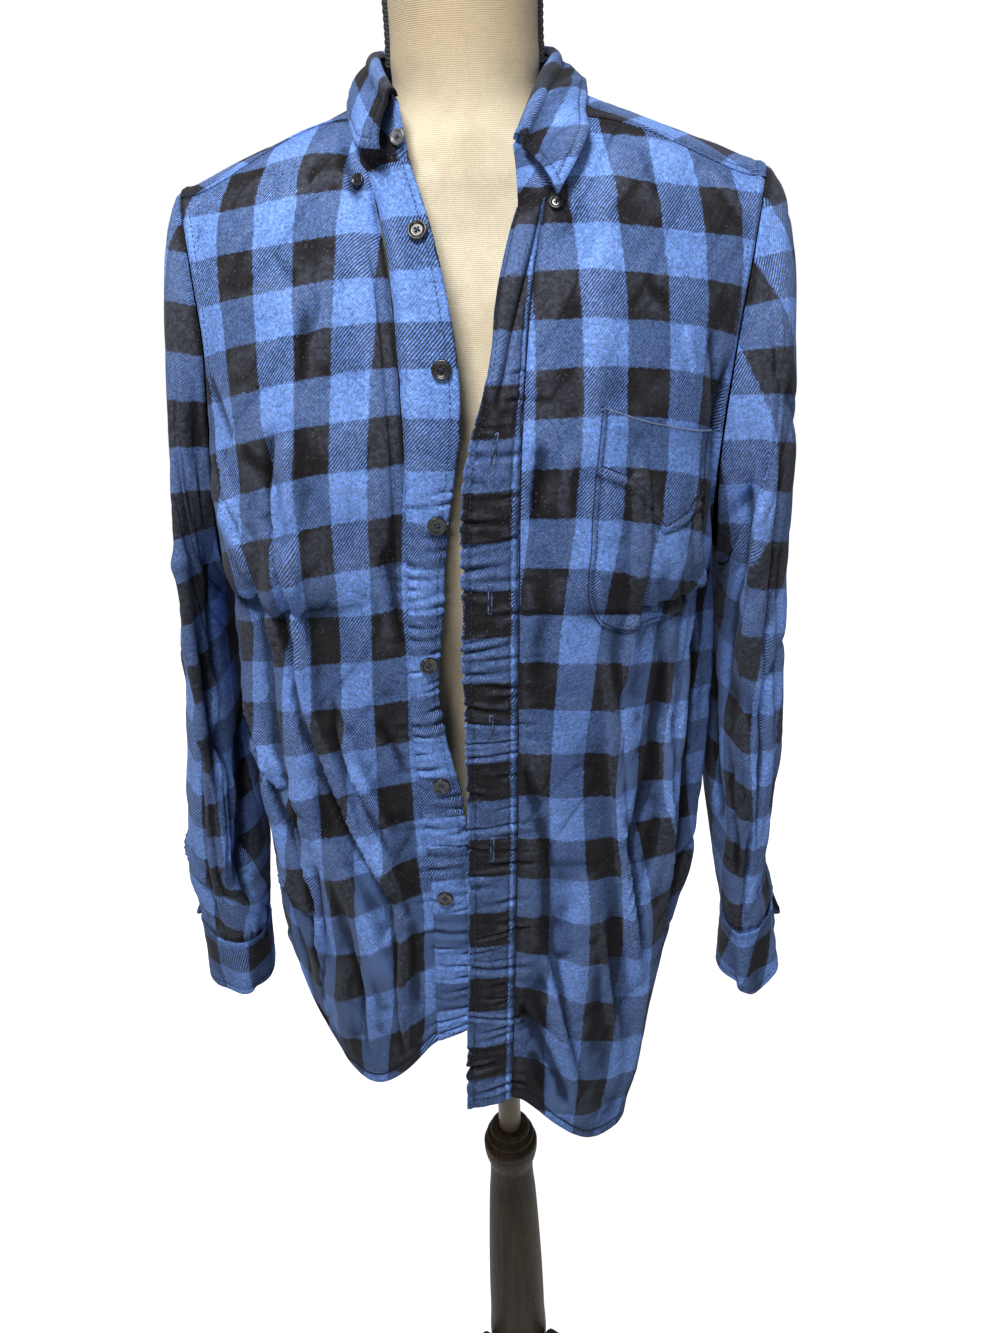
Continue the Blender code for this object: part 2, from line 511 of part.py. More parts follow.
def sleeve_points(side, s, r, folds=None):
    tab = SLEEVE_L if side == "left" else SLEEVE_R
    p = sleeve_ring(side, s, r)
    a = arm(side, s)
    out = 1.0 if side == "left" else -1.0
    lift = 0.12 + 0.36 * (1 - smooth(np.minimum(np.mod(s, 1), 1 - np.mod(s, 1)), 0.04, 0.22))
    a = a + np.stack([out*lift, 0*lift, 0*lift], -1)
    p0 = sleeve_ring(side, s, 0*r)
    b = np.clip(spline(tab["r"], tab["blend"], r), 0, 1)[..., None]
    p = p + (a - p0) * b
    n = normals(p)
    mid = p.mean(axis=1, keepdims=True)
    n = -n if ((p - mid) * n).sum(-1).mean() < 0 else n
    for t in [SLEEVE_FOLDS_L if side == "left" else SLEEVE_FOLDS_R] + list(folds or []):
        h = fold_height(np.mod(s, 1), r, t, SLEEVE_SCALE) + fold_height(np.mod(s, 1) - 1, r, t, SLEEVE_SCALE) \
            + fold_height(np.mod(s, 1) + 1, r, t, SLEEVE_SCALE)
        p = p + n * (h * smooth(r, 0.0, 0.10) * (1 - 0.5*smooth(r, 0.93, 1.0)))[..., None]
    # the slit spreads towards the cuff
    gap = 0.9 * smooth(r, SLIT_R, 1.0)**1.2
    d = s - SLIT_S
    k = np.where(d < 0.5, np.exp(-(d/0.06)**2), -np.exp(-((1-d)/0.06)**2))
    t = np.gradient(p, axis=1)
    t = t / (np.linalg.norm(t, axis=-1, keepdims=True) + 1e-12)
    return p + t * (k*gap*0.5)[..., None]

# --- cuffs: open bands that hang unfastened, from the slit round to the slit
CUFF_DROP = 6.6
CUFF_FORM_L = table("c out tilt drop swing", [
    ("back end",   0.00,  1.1,  0.9, 6.0, -0.8),
    ("outer back", 0.10,  0.5,  0.5, 6.5, -0.3),
    ("back",       0.24, -0.1,  0.0, 6.6,  0.0),
    ("inner back", 0.40,  0.2, -0.2, 6.4,  0.0),
    ("inner",      0.52, -0.4, -0.6, 6.2,  0.2),
    ("inner front",0.62,  0.0, -0.2, 6.7,  0.3),
    ("front",      0.74, -0.5,  0.6, 7.6,  0.3),
    ("outer front",0.84,  0.7,  0.4, 6.2,  0.2),
    ("fold",       0.92, -0.3,  0.0, 6.6,  0.2),
    ("front end",  1.00,  0.6,  0.6, 6.8,  0.6),
])
CUFF_FORM_R = table("c out tilt drop swing", [
    ("back end",   0.00,  1.3,  1.1, 4.9, -0.6),
    ("outer back", 0.10,  0.7,  0.8, 5.4, -0.2),
    ("back",       0.24, -0.1,  0.1, 6.2,  0.0),
    ("inner back", 0.40,  0.0, -0.4, 6.2,  0.0),
    ("inner",      0.52, -0.4, -0.7, 6.0,  0.1),
    ("inner front",0.62, -0.2, -0.4, 6.2,  0.1),
    ("front",      0.74, -0.5,  0.1, 6.3,  0.1),
    ("outer front",0.84,  0.2,  0.1, 6.2,  0.2),
    ("fold",       0.92, -0.4, -0.1, 5.8,  0.2),
    ("front end",  1.00,  0.0,  0.0, 5.6,  0.4),
])
def cuff_points(side, c, h):
    """Points of a cuff: c from the slit's back edge (0) round to its front edge, h down."""
    tab = CUFF_FORM_L if side == "left" else CUFF_FORM_R
    # the sleeve's end, walked from the slit backwards round the inside to the front
    cc = np.linspace(0, 1, 97)
    s = SLIT_S + cc
    base_line = sleeve_points(side, np.stack([s]*3), np.stack([0*s + 0.96, 0*s + 0.98, 0*s + 1.0]))[-1]
    base = spline(cc, base_line, c)
    q = spline(tab["c"], col(tab, "out tilt drop swing"), c)
    tan = np.gradient(base_line, axis=0)
    tan /= np.linalg.norm(tan, axis=-1, keepdims=True)
    nrm = np.cross(tan, np.array([0, 0, 1.0]))
    nrm /= np.linalg.norm(nrm, axis=-1, keepdims=True)
    mid = base_line.mean(axis=0)
    if ((base_line - mid) * nrm).sum() < 0:
        nrm = -nrm
    tn = spline(cc, tan, c)
    nn = spline(cc, nrm, c)
    nn = nn / np.linalg.norm(nn, axis=-1, keepdims=True)
    start = base + np.array([0, 0, -0.10])
    hh = h[..., None]
    wave = (q[..., 0] * np.sin(0.5*np.pi*np.clip(h, 0, 1)) + q[..., 1] * h**2)
    p = start + nn * wave[..., None] + tn * (q[..., 3] * h**1.4)[..., None]
    p[..., 2] -= q[..., 2] * h
    return p

# --- collar: a stand that follows the neck seam and a leaf that falls from its top
COLLAR = table("c t sx sy sz fx fy fz ux uy", [
    # label          c     t      stand's top          leaf's edge          roll of the fold
    ("tip right",    0.00, 0.000, -4.1, -5.8, 144.2, -5.1, -8.1, 141.6, -0.50, -0.75),
    ("point right",  0.06, 0.045, -4.7, -4.0, 145.1, -6.3, -6.9, 141.8, -0.62, -0.62),
    ("front right",  0.13, 0.120, -5.2, -2.0, 146.1, -7.1, -4.4, 142.8, -0.70, -0.38),
    ("side right",   0.22, 0.200, -5.5,  0.9, 146.8, -7.5, -1.2, 144.45, -0.75, -0.15),
    ("quarter right",0.36, 0.360, -4.4,  4.6, 147.3, -6.5,  6.0, 146.2, -0.68,  0.55),
    ("back",         0.50, 0.500,  0.0,  6.4, 147.6,  0.0,  8.6, 146.0,  0.00,  0.95),
    ("quarter left", 0.64, 0.640,  4.5,  4.7, 147.3,  6.5,  6.0, 146.2,  0.66,  0.55),
    ("side left",    0.76, 0.760,  5.5,  1.2, 146.6,  7.75,  1.2, 145.25,  0.72,  0.00),
    ("front left",   0.86, 0.850,  4.5, -3.5, 145.0,  7.3, -3.9, 143.5,  0.65, -0.50),
    ("point left",   0.94, 0.920,  3.7, -5.7, 143.5,  6.9, -7.8, 141.6,  0.60, -0.70),
    ("tip left",     1.00, 1.000,  2.8, -7.4, 141.6,  5.2,-10.0, 138.9,  0.50, -0.80),
])
def stand_points(c, h):
    """Collar stand: c round the neck, h from the seam (0) to the fold (1)."""
    base = neck(spline(COLLAR["c"], COLLAR["t"], c)) + np.array([0, 0, 0.15])
    top = spline(COLLAR["c"], col(COLLAR, "sx sy sz"), c)
    lean = np.stack([h**1.3, h**1.3, h], -1)
    return base + (top - base) * lean
def leaf_points(c, h):
    """Collar leaf: c round the neck, h from the fold (0) over and down to its edge (1)."""
    top = spline(COLLAR["c"], col(COLLAR, "sx sy sz"), c)
    end = spline(COLLAR["c"], col(COLLAR, "fx fy fz"), c)
    o = spline(COLLAR["c"], col(COLLAR, "ux uy"), c)
    o3 = np.concatenate([o, 0*o[..., :1]], -1)
    start = top + np.array([0, 0, 0.24]) + o3*0.05
    a = start + np.array([0, 0, 0.50]) + o3*0.15
    b = start + o3*0.85 + np.array([0, 0, 0.40])
    knee = start + o3*1.00 + np.array([0, 0, -0.40])
    # over the fold, then down to the edge
    k = 0.26
    first = bezier(start, a, b, knee, np.clip(h/k, 0, 1))
    u2 = np.clip((h-k)/(1-k), 0, 1)[..., None]
    second = knee*(1-u2) + end*u2 + o3*0.40*4*u2*(1-u2)
    return np.where((h <= k)[..., None], first, second)

# --- pocket: a patch on the wearer's left front, given in that front's own stations
POCKET = table("d u0 u1 v0 v1", [
    ("top edge",  0.00, 0.32, 0.86, 0.218, 0.238),
    ("facing",    0.20, 0.31, 0.84, 0.248, 0.266),
    ("middle",    0.55, 0.28, 0.79, 0.306, 0.318),
    ("low",       0.85, 0.27, 0.73, 0.356, 0.360),
    ("corner",    0.95, 0.31, 0.68, 0.372, 0.373),
    ("bottom",    1.00, 0.38, 0.60, 0.379, 0.378),
])
def pocket_stations(a, d):
    u0, u1 = spline(POCKET["d"], POCKET["u0"], d), spline(POCKET["d"], POCKET["u1"], d)
    v0, v1 = spline(POCKET["d"], POCKET["v0"], d), spline(POCKET["d"], POCKET["v1"], d)
    return u0 + (u1 - u0)*a, v0 + (v1 - v0)*a

# ---------------------------------------------------------------------------
# The dress form and its stand (centimetres)
# ---------------------------------------------------------------------------
FORM = table("z a yf yb n", [
    ("base",       74.0, 12.9,  -9.0,  9.4, 2.3),
    ("base edge",  74.8, 13.5,  -9.5,  9.9, 2.3),
    ("hips",       82.0, 14.1, -10.0, 10.6, 2.3),
    ("high hip",   90.0, 13.2,  -9.5,  9.6, 2.3),
    ("waist",     100.0, 11.2,  -8.6,  7.6, 2.2),
    ("ribs",      108.0, 12.4,  -9.8,  8.6, 2.2),
    ("bust",      118.0, 14.2, -11.6,  9.8, 2.2),
    ("upper chest",126.0, 14.4, -10.0, 10.4, 2.4),
    ("armhole",   132.0, 14.8,  -8.2, 10.0, 2.6),
    ("shoulder",  136.4, 15.0,  -6.6,  8.4, 2.6),
    ("slope",     138.8, 12.2,  -6.1,  7.6, 2.4),
    ("neck foot", 140.6,  9.0,  -5.8,  7.0, 2.2),
    ("neck root", 142.2,  6.6,  -5.5,  6.0, 2.0),
    ("neck low",  143.8,  5.15, -5.0,  5.0, 2.0),
    ("neck",      147.0,  4.75, -4.75, 4.75, 2.0),
    ("neck top",  152.0,  4.75, -4.75, 4.75, 2.0),
])
FORM_SIDES = 24
TRIM_W, TRIM_T = 0.9, 0.30          # black braid down each side of the neck
CAP_H = 1.0                         # wooden neck cap

POLE_R = 1.13
POLE_TOP, POLE_FOOT = 73.97, 50.40
COLUMN = table("r z", [             # turned column, outer side, top to bottom
    ("socket",   1.70, 50.80), ("socket lip", 1.95, 50.60), ("ring a", 2.00, 50.20),
    ("groove a", 1.85, 49.95), ("ring b", 2.35, 49.70), ("ring b low", 2.40, 49.40),
    ("groove b", 2.20, 49.15), ("ball high", 2.55, 48.90), ("ball", 2.72, 48.10),
    ("ball low", 2.60, 47.00), ("waist", 2.25, 45.60), ("waist low", 2.22, 44.80),
    ("swell",    2.45, 41.0), ("swell low", 2.72, 35.0), ("shaft", 2.95, 28.0),
    ("block",    3.05, 22.0), ("block low", 3.00, 15.0), ("drop", 2.40, 12.6),
    ("drop low", 1.30, 11.2),
])
COLUMN_STEPS = 20
LEG_ANGLES = (90.0, 210.0, 330.0)
LEG = table("r z w", [              # reach from the axis, height, half thickness
    ("root",   3.30, 17.6, 1.25), ("out", 5.2, 17.2, 1.25), ("knee", 9.0, 14.6, 1.15),
    ("shin",   13.5, 9.4, 1.0), ("ankle", 18.5, 4.4, 0.9), ("toe", 23.5, 2.15, 0.9),
    ("end",    26.0, 1.95, 0.9),
])
PAD_R, PAD_H, PAD_REACH = 1.8, 1.0, 25.0

CLOTH_T = 0.12                      # single cloth
DOUBLE_T = 0.20                     # plackets, collar and cuffs
SEAM = 0.03                         # gap at seams
BUTTON_R, BUTTON_T = 0.62, 0.28
BUTTONS_V = table("v w", [          # rows of the fastening buttons on the button band, seam to edge
    ("first", 0.136, 0.74), ("second", 0.216, 0.74), ("third", 0.3066, 0.72),
    ("fourth", 0.4215, 0.62), ("fifth", 0.566, 0.56), ("sixth", 0.727, 0.34),
])

import bpy
import bmesh
from mathutils import Vector, Matrix

for ob in list(bpy.data.objects):
    bpy.data.objects.remove(ob, do_unlink=True)

parts = bpy.data.collections.new("flannel_shirt_on_dress_form")
bpy.context.scene.collection.children.link(parts)

def material(name, color, rough, metal=0.0):
    m = bpy.data.materials.new(name)
    m.use_nodes = True
    b = m.node_tree.nodes["Principled BSDF"]
    b.inputs["Base Color"].default_value = (*color, 1)
    b.inputs["Roughness"].default_value = rough
    b.inputs["Metallic"].default_value = metal
    m.diffuse_color = (*color, 1)
    return m

FLANNEL = material("flannel", (0.055, 0.13, 0.42), 0.95)
BUTTON_M = material("button", (0.015, 0.015, 0.018), 0.35)
STAND_BUTTON_M = material("stand_button", (0.35, 0.35, 0.36), 0.4)
JERSEY = material("jersey", (0.66, 0.57, 0.42), 0.9)
BRAID = material("braid", (0.01, 0.01, 0.01), 0.9)
WOOD = material("dark_wood", (0.03, 0.018, 0.012), 0.4)
POLE_M = material("pole", (0.42, 0.36, 0.27), 0.45)

def place(p):
    """Table centimetres to world metres."""
    p = np.asarray(p, float) * CM
    return p + np.array([SHIFT_X, SHIFT_Y, 0.0])

def add(name, mesh, mat):
    ob = bpy.data.objects.new(name, mesh)
    parts.objects.link(ob)
    if not mesh.materials:
        mesh.materials.append(mat)
    return ob

def smooth_shade(mesh, angle=40.0):
    mesh.shade_smooth()
    mesh.set_sharp_from_angle(angle=math.radians(angle))

def cloth(name, P, thickness, outward, closed_above=None, mat=FLANNEL):
    """Open grid of cloth, thickened outwards.

    closed_above: rows up to this one join their first and last columns."""
    rows, cols = P.shape[:2]
    pts = place(P).reshape(-1, 3)
    index = np.arange(rows*cols).reshape(rows, cols)
    if closed_above is not None:
        index[:closed_above, -1] = index[:closed_above, 0]
    faces = []
    for i in range(rows - 1):
        for j in range(cols - 1):
            f = [index[i, j], index[i, j+1], index[i+1, j+1], index[i+1, j]]
            faces.append([int(k) for k in f])
    mesh = bpy.data.meshes.new(name)
    mesh.from_pydata([tuple(p) for p in pts], [], faces)
    bm = bmesh.new()
    bm.from_mesh(mesh)
    bmesh.ops.remove_doubles(bm, verts=bm.verts, dist=0.00002)
    bmesh.ops.delete(bm, geom=[v for v in bm.verts if not v.link_faces], context="VERTS")
    bm.normal_update()
    # a grid faces outwards when its normals lead away from the given centre line
    total = 0.0
    for f in bm.faces:
        total += f.normal.dot(outward(f.calc_center_median())) * f.calc_area()
    if total < 0:
        bmesh.ops.reverse_faces(bm, faces=bm.faces)
    bm.to_mesh(mesh)
    bm.free()
    smooth_shade(mesh, 60)
    ob = add(name, mesh, mat)
    s = ob.modifiers.new("thickness", "SOLIDIFY")
    s.thickness = thickness * CM
    s.offset = 0.0
    s.use_rim = True
    s.use_even_offset = False
    return ob

def from_axis(x0=0.0, y0=0.0):
    c = Vector((x0*CM + SHIFT_X, y0*CM + SHIFT_Y, 0))
    def f(p):
        d = Vector((p.x - c.x, p.y - c.y, 0))
        return d.normalized() if d.length > 1e-9 else Vector((0, 0, 1))
    return f
def upwards(p):
    return Vector((0, 0, 1))

def grid(nu, nv, u0=0.0, u1=1.0, v0=0.0, v1=1.0):
    return np.meshgrid(np.linspace(u0, u1, nu), np.linspace(v0, v1, nv))
def grid_at(us, vs):
    return np.meshgrid(np.asarray(us, float), np.asarray(vs, float))

def sample(G, u, v):
    """Point and normal of a grid that spans u and v from 0 to 1."""
    rows, cols = G.shape[:2]
    x = np.clip(np.asarray(u, float)*(cols-1), 0, cols-1-1e-6)
    y = np.clip(np.asarray(v, float)*(rows-1), 0, rows-1-1e-6)
    i, j = x.astype(int), y.astype(int)
    fx, fy = (x-i)[..., None], (y-j)[..., None]
    P = ((G[j, i]*(1-fx) + G[j, i+1]*fx)*(1-fy) + (G[j+1, i]*(1-fx) + G[j+1, i+1]*fx)*fy)
    du, dv = G[j, i+1] - G[j, i], G[j+1, i] - G[j, i]
    n = np.cross(du, dv)
    n /= np.linalg.norm(n, axis=-1, keepdims=True)
    return P, n

# --- body panels
NU, NV = 13, 19
fronts = {}
for side in ("left", "right"):
    edge = SEAM/24
    u, v = grid(NU, NV, edge, 1.0 - edge, 0.0, 1.0)
    P = front_points(side, u, v)
    fronts[side] = P
    cloth("front_" + side, P, CLOTH_T, from_axis(0, 2))

u, v = grid(21, 17, -1 + SEAM/24, 1 - SEAM/24, 0.0, 1.0)
v = np.maximum(v, SEAM/76)
back = back_points(u, v)
cloth("back", back, CLOTH_T, from_axis(0, 0))

uy = np.concatenate([np.linspace(0, 0.31, 9), np.linspace(0.31, 0.69, 13)[1:], np.linspace(0.69, 1, 9)[1:]])
u, w = grid_at(uy, np.linspace(0.006, 0.994, 6))
u = np.clip(u, 0.004, 0.996)
cloth("yoke", yoke_points(u, w), CLOTH_T, upwards)

# --- front bands
for side, name in (("left", "placket"), ("right", "button_band")):
    w, v = grid(3, 23, 0.022, 1.0, NECK_V + 0.0008, 1.0)
    P = band_points(side, w, v)
    fronts[name] = P
    cloth(name, P, DOUBLE_T, from_axis(0, 2))

# --- pocket
lines = [0.0] + [k/(NU - 1) for k in range(NU) if 0.36 < k/(NU - 1) < 0.80] + [1.0]
pu, pv = [], []
for d in (0.0, 0.12, 0.25, 0.4, 0.55, 0.7, 0.85, 0.94, 1.0):
    (ua, ub), (va, vb) = [q.tolist() for q in pocket_stations(np.array([0.0, 1.0]), np.array([d, d]))]
    us = [min(max(k, ua), ub) for k in lines]
    pu.append(us)
    pv.append([va + (vb - va)*(k - ua)/(ub - ua) for k in us])
pu, pv = np.array(pu), np.array(pv)
pk, pn = sample(fronts["left"], pu, pv)
if pn[..., 1].mean() > 0:
    pn = -pn
cloth("pocket", pk + pn*(CLOTH_T + 0.20), CLOTH_T, from_axis(0, 2))

# --- sleeves and cuffs
NS = 21
rr = np.array([0.0, 0.04, 0.09, 0.16, 0.25, 0.35, 0.46, 0.57, 0.68, 0.80, 0.90, 1.0])
for side, x0 in (("left", 21.0), ("right", -22.5)):
    s, r = grid_at(np.linspace(SLIT_S, SLIT_S + 1, NS), rr)
    P = sleeve_points(side, s, r)
    mids = P[:, :-1].mean(axis=1)
    order = np.argsort(mids[:, 2])
    def outward(p, m=mids[order]):
        z = (p.z)/CM
        cx = np.interp(z, m[:, 2], m[:, 0])
        cy = np.interp(z, m[:, 2], m[:, 1])
        return Vector((p.x - (cx*CM + SHIFT_X), p.y - (cy*CM + SHIFT_Y), 0)).normalized()
    cloth("sleeve_" + side, P, CLOTH_T, outward, closed_above=int((rr <= SLIT_R + 1e-6).sum()))
    c, h = grid(21, 3)
    Q = cuff_points(side, c, h)
    m = Q[0].mean(axis=0)
    cloth("cuff_" + side, Q, DOUBLE_T, from_axis(m[0], m[1]))
    fronts["cuff_" + side] = Q

# --- collar
c, h = grid(25, 3)
cloth("collar_stand", stand_points(c, h), DOUBLE_T, from_axis(0, 0))
c, h = grid_at(np.linspace(0, 1, 25), [0, 0.09, 0.18, 0.26, 0.6, 1.0])
leaf = leaf_points(c, h)
cloth("collar_leaf", leaf, DOUBLE_T, from_axis(0, 0))

# --- buttons: a turned disc with a raised rim
def button_mesh(radius, thick):
    prof = [(0.0001, 0.30), (0.45, 0.30), (0.66, 0.42), (0.80, 0.50), (0.94, 0.46), (1.0, 0.30), (1.0, -0.2), (0.86, -0.5), (0.0001, -0.5)]
    me = bpy.data.meshes.new("button")
    bm = bmesh.new()
    vs = [bm.verts.new((r*radius*CM, 0, z*thick*CM)) for r, z in prof]
    for q in range(len(vs) - 1):
        bm.edges.new((vs[q], vs[q+1]))
    bm.to_mesh(me)
    bm.free()
    return me

def turned(name, points, steps, mat, location=(0, 0, 0)):
    """Solid of revolution; points run down the outer side, ends on the axis."""
    me = bpy.data.meshes.new(name)
    bm = bmesh.new()
    vs = [bm.verts.new((r*CM, 0, z*CM)) for r, z in points]
    for q in range(len(vs) - 1):
        bm.edges.new((vs[q], vs[q+1]))
    bm.to_mesh(me)
    bm.free()
    ob = add(name, me, mat)
    ob.location = location
    m = ob.modifiers.new("turn", "SCREW")
    m.axis = "Z"
    m.steps = m.render_steps = steps
    m.use_merge_vertices = True
    m.merge_threshold = 0.00001
    m.use_smooth_shade = True
    return ob

def button(name, p, n, mat=BUTTON_M, radius=BUTTON_R, lift=0.0):
    """Button on the outside of a wall, at point p with outward normal n."""
    n = Vector(n).normalized()
    t = BUTTON_T * radius / BUTTON_R
    prof = [(0.0, 0.25), (0.60, 0.25), (0.82, 0.50), (1.0, 0.20), (0.86, -0.5), (0.0, -0.5)]
    ob = turned(name, [(r*radius, z*t) for r, z in prof], 12, mat)
    c = np.asarray(p) + np.array(n) * (lift + t*0.5)
    ob.location = place(c)
    ob.rotation_euler = n.to_track_quat("Z", "Y").to_euler()
    return ob

band = fronts["button_band"]
for k, (vv, ww) in enumerate(zip(BUTTONS_V["v"], BUTTONS_V["w"])):
    p, n = sample(band, np.array(ww), np.array((vv - NECK_V)/(1 - NECK_V)))
    n = n if n[1] < 0 else -n
    button("front_button_%d" % (k + 1), p, n, lift=DOUBLE_T/2 + 0.08)

# stand button on the wearer's right end of the collar stand
stand = stand_points(*grid(65, 9))
p, n = sample(stand, np.array(0.012), np.array(0.35))
n = n if n[1] < 0 else -n
button("collar_stand_button", p, n, mat=STAND_BUTTON_M, radius=0.50, lift=DOUBLE_T/2 + 0.08)

# collar point buttons, on the fronts behind the leaf's points
for side, uu, vv in (("left", 0.052, 0.090), ("right", 0.050, 0.092)):
    p, n = sample(fronts[side], np.array(uu), np.array(vv))
    n = n if n[1] < 0 else -n
    button("collar_point_button_" + side, p, n, radius=0.42, lift=CLOTH_T/2 + 0.07)

# cuff buttons, by the back end of each cuff
for side in ("left", "right"):
    Q = fronts["cuff_" + side]
    p, n = sample(Q, np.array(0.10), np.array(0.5))
    m = Q.reshape(-1, 3).mean(axis=0)
    n = n if (p - m) @ n > 0 else -n
    button("cuff_button_" + side, p, n, radius=0.50, lift=DOUBLE_T/2 + 0.08)

# --- dress form
def form_ring(row, count=FORM_SIDES):
    a, yf, yb, n = FORM["a"][row], FORM["yf"][row], FORM["yb"][row], FORM["n"][row]
    pts = []
    for k in range(count):
        th = 2*math.pi*k/count
        c, s = math.cos(th), math.sin(th)
        x = a * math.copysign(abs(c)**(2/n), c)
        y = (yb if s > 0 else -yf) * math.copysign(abs(s)**(2/n), s)
        pts.append((x, y, FORM["z"][row]))
    return pts
def form_rings():
    """Rings of the form, smoothed between the table's rows."""
    zs = FORM["z"]
    fine = []
    for i in range(len(zs) - 1):
        steps = max(1, int(round((zs[i+1] - zs[i]) / 4.0)))
        fine += [zs[i] + (zs[i+1] - zs[i])*q/steps for q in range(steps)]
    fine.append(zs[-1])
    fine = np.array(fine)
    q = spline(zs, col(FORM, "a yf yb n"), fine)
    rings = []
    for z, (a, yf, yb, n) in zip(fine, q):
        ring = []
        for k in range(FORM_SIDES):
            th = 2*math.pi*k/FORM_SIDES
            c, s = math.cos(th), math.sin(th)
            ring.append((a*math.copysign(abs(c)**(2/n), c),
                         (yb if s > 0 else -yf)*math.copysign(abs(s)**(2/n), s), z))
        rings.append(ring)
    return rings
rings = form_rings()
mesh = bpy.data.meshes.new("form_torso")
bm = bmesh.new()
vr = [[bm.verts.new(place(p)) for p in ring] for ring in rings]
for a, b in zip(vr, vr[1:]):
    for k in range(FORM_SIDES):
        bm.faces.new((a[k], a[(k+1) % FORM_SIDES], b[(k+1) % FORM_SIDES], b[k]))
bm.faces.new(list(reversed(vr[0])))
bm.faces.new(vr[-1])
bm.normal_update()
bm.to_mesh(mesh)
bm.free()
smooth_shade(mesh, 45)
add("form_torso", mesh, JERSEY)

centre = (SHIFT_X, SHIFT_Y, 0)
top = FORM["z"][-1]
turned("form_neck_cap", [(0, top + CAP_H), (3.8, top + CAP_H*0.92), (4.6, top + CAP_H*0.6), (4.85, top + CAP_H*0.25),
                         (4.7, top + SEAM), (0, top + SEAM)], 32, WOOD, centre)

def strip(name, points, width, thick, mat):
    """Flat strip along a line of points on the form's side: width along y, thickness along x."""
    me = bpy.data.meshes.new(name)
    bm = bmesh.new()
    ring = []
    for (x, y, z) in points:
        s = 1 if x > 0 else -1
        q = [(x, y - width/2, z), (x + s*thick, y - width/2, z), (x + s*thick, y + width/2, z), (x, y + width/2, z)]
        ring.append([bm.verts.new(place(c)) for c in q])
    for a, b in zip(ring, ring[1:]):
        for k in range(4):
            bm.faces.new((a[k], a[(k+1) % 4], b[(k+1) % 4], b[k]))
    bm.faces.new(ring[0])
    bm.faces.new(list(reversed(ring[-1])))
    bmesh.ops.recalc_face_normals(bm, faces=bm.faces)
    bm.to_mesh(me)
    bm.free()
    return add(name, me, mat)
zs = np.linspace(FORM["z"][-1] - 0.1, 146.4, 5)
a_at = spline(FORM["z"], FORM["a"], zs)
for side, sign in (("left", 1), ("right", -1)):
    strip("form_neck_trim_" + side, [(sign*(a + 0.10), 0, z) for a, z in zip(a_at, zs)], TRIM_W, TRIM_T, BRAID)

# --- stand
bpy.ops.mesh.primitive_cylinder_add(vertices=24, radius=POLE_R*CM, depth=(POLE_TOP - POLE_FOOT)*CM,
                                    location=(SHIFT_X, SHIFT_Y, (POLE_TOP + POLE_FOOT)/2*CM))
pole = bpy.context.object
pole.name = pole.data.name = "stand_pole"
for c in list(pole.users_collection):
    c.objects.unlink(pole)
parts.objects.link(pole)
pole.data.materials.append(POLE_M)
smooth_shade(pole.data)

# the column has a socket for the pole: in at the foot of the pole, up, over the lip and down
sock = POLE_R + SEAM
turned("stand_column", [(0, POLE_FOOT - SEAM), (sock, POLE_FOOT - SEAM), (sock, COLUMN["z"][0])]
       + list(zip(COLUMN["r"], COLUMN["z"])) + [(0, COLUMN["z"][-1])], COLUMN_STEPS, WOOD, centre)

def tube(name, pts, radii, mat):
    cu = bpy.data.curves.new(name, "CURVE")
    cu.dimensions = "3D"
    cu.bevel_depth = 1.0*CM
    cu.bevel_resolution = 3
    cu.use_fill_caps = True
    sp = cu.splines.new("POLY")
    sp.points.add(len(pts) - 1)
    for q, (p, r) in enumerate(zip(pts, radii)):
        sp.points[q].co = (*p, 1)
        sp.points[q].radius = r
    ob = bpy.data.objects.new(name, cu)
    parts.objects.link(ob)
    cu.materials.append(mat)
    return ob
k = np.linspace(0, 1, len(LEG["r"]))
fine = np.linspace(0, 1, 17)
leg = spline(k, col(LEG, "r z w"), fine)
for n, ang in enumerate(LEG_ANGLES):
    ca, sa = math.cos(math.radians(ang)), math.sin(math.radians(ang))
    pts = [place((r*ca, r*sa, z)) for r, z, w in leg]
    tube("stand_leg_%d" % (n + 1), pts, [w for r, z, w in leg], WOOD)
    bpy.ops.mesh.primitive_cylinder_add(vertices=24, radius=PAD_R*CM, depth=(PAD_H - SEAM)*CM,
                                        location=place((PAD_REACH*ca, PAD_REACH*sa, (PAD_H - SEAM)/2)))
    pad = bpy.context.object
    pad.name = pad.data.name = "stand_foot_%d" % (n + 1)
    for c in list(pad.users_collection):
        c.objects.unlink(pad)
    parts.objects.link(pad)
    pad.data.materials.append(WOOD)
    smooth_shade(pad.data)
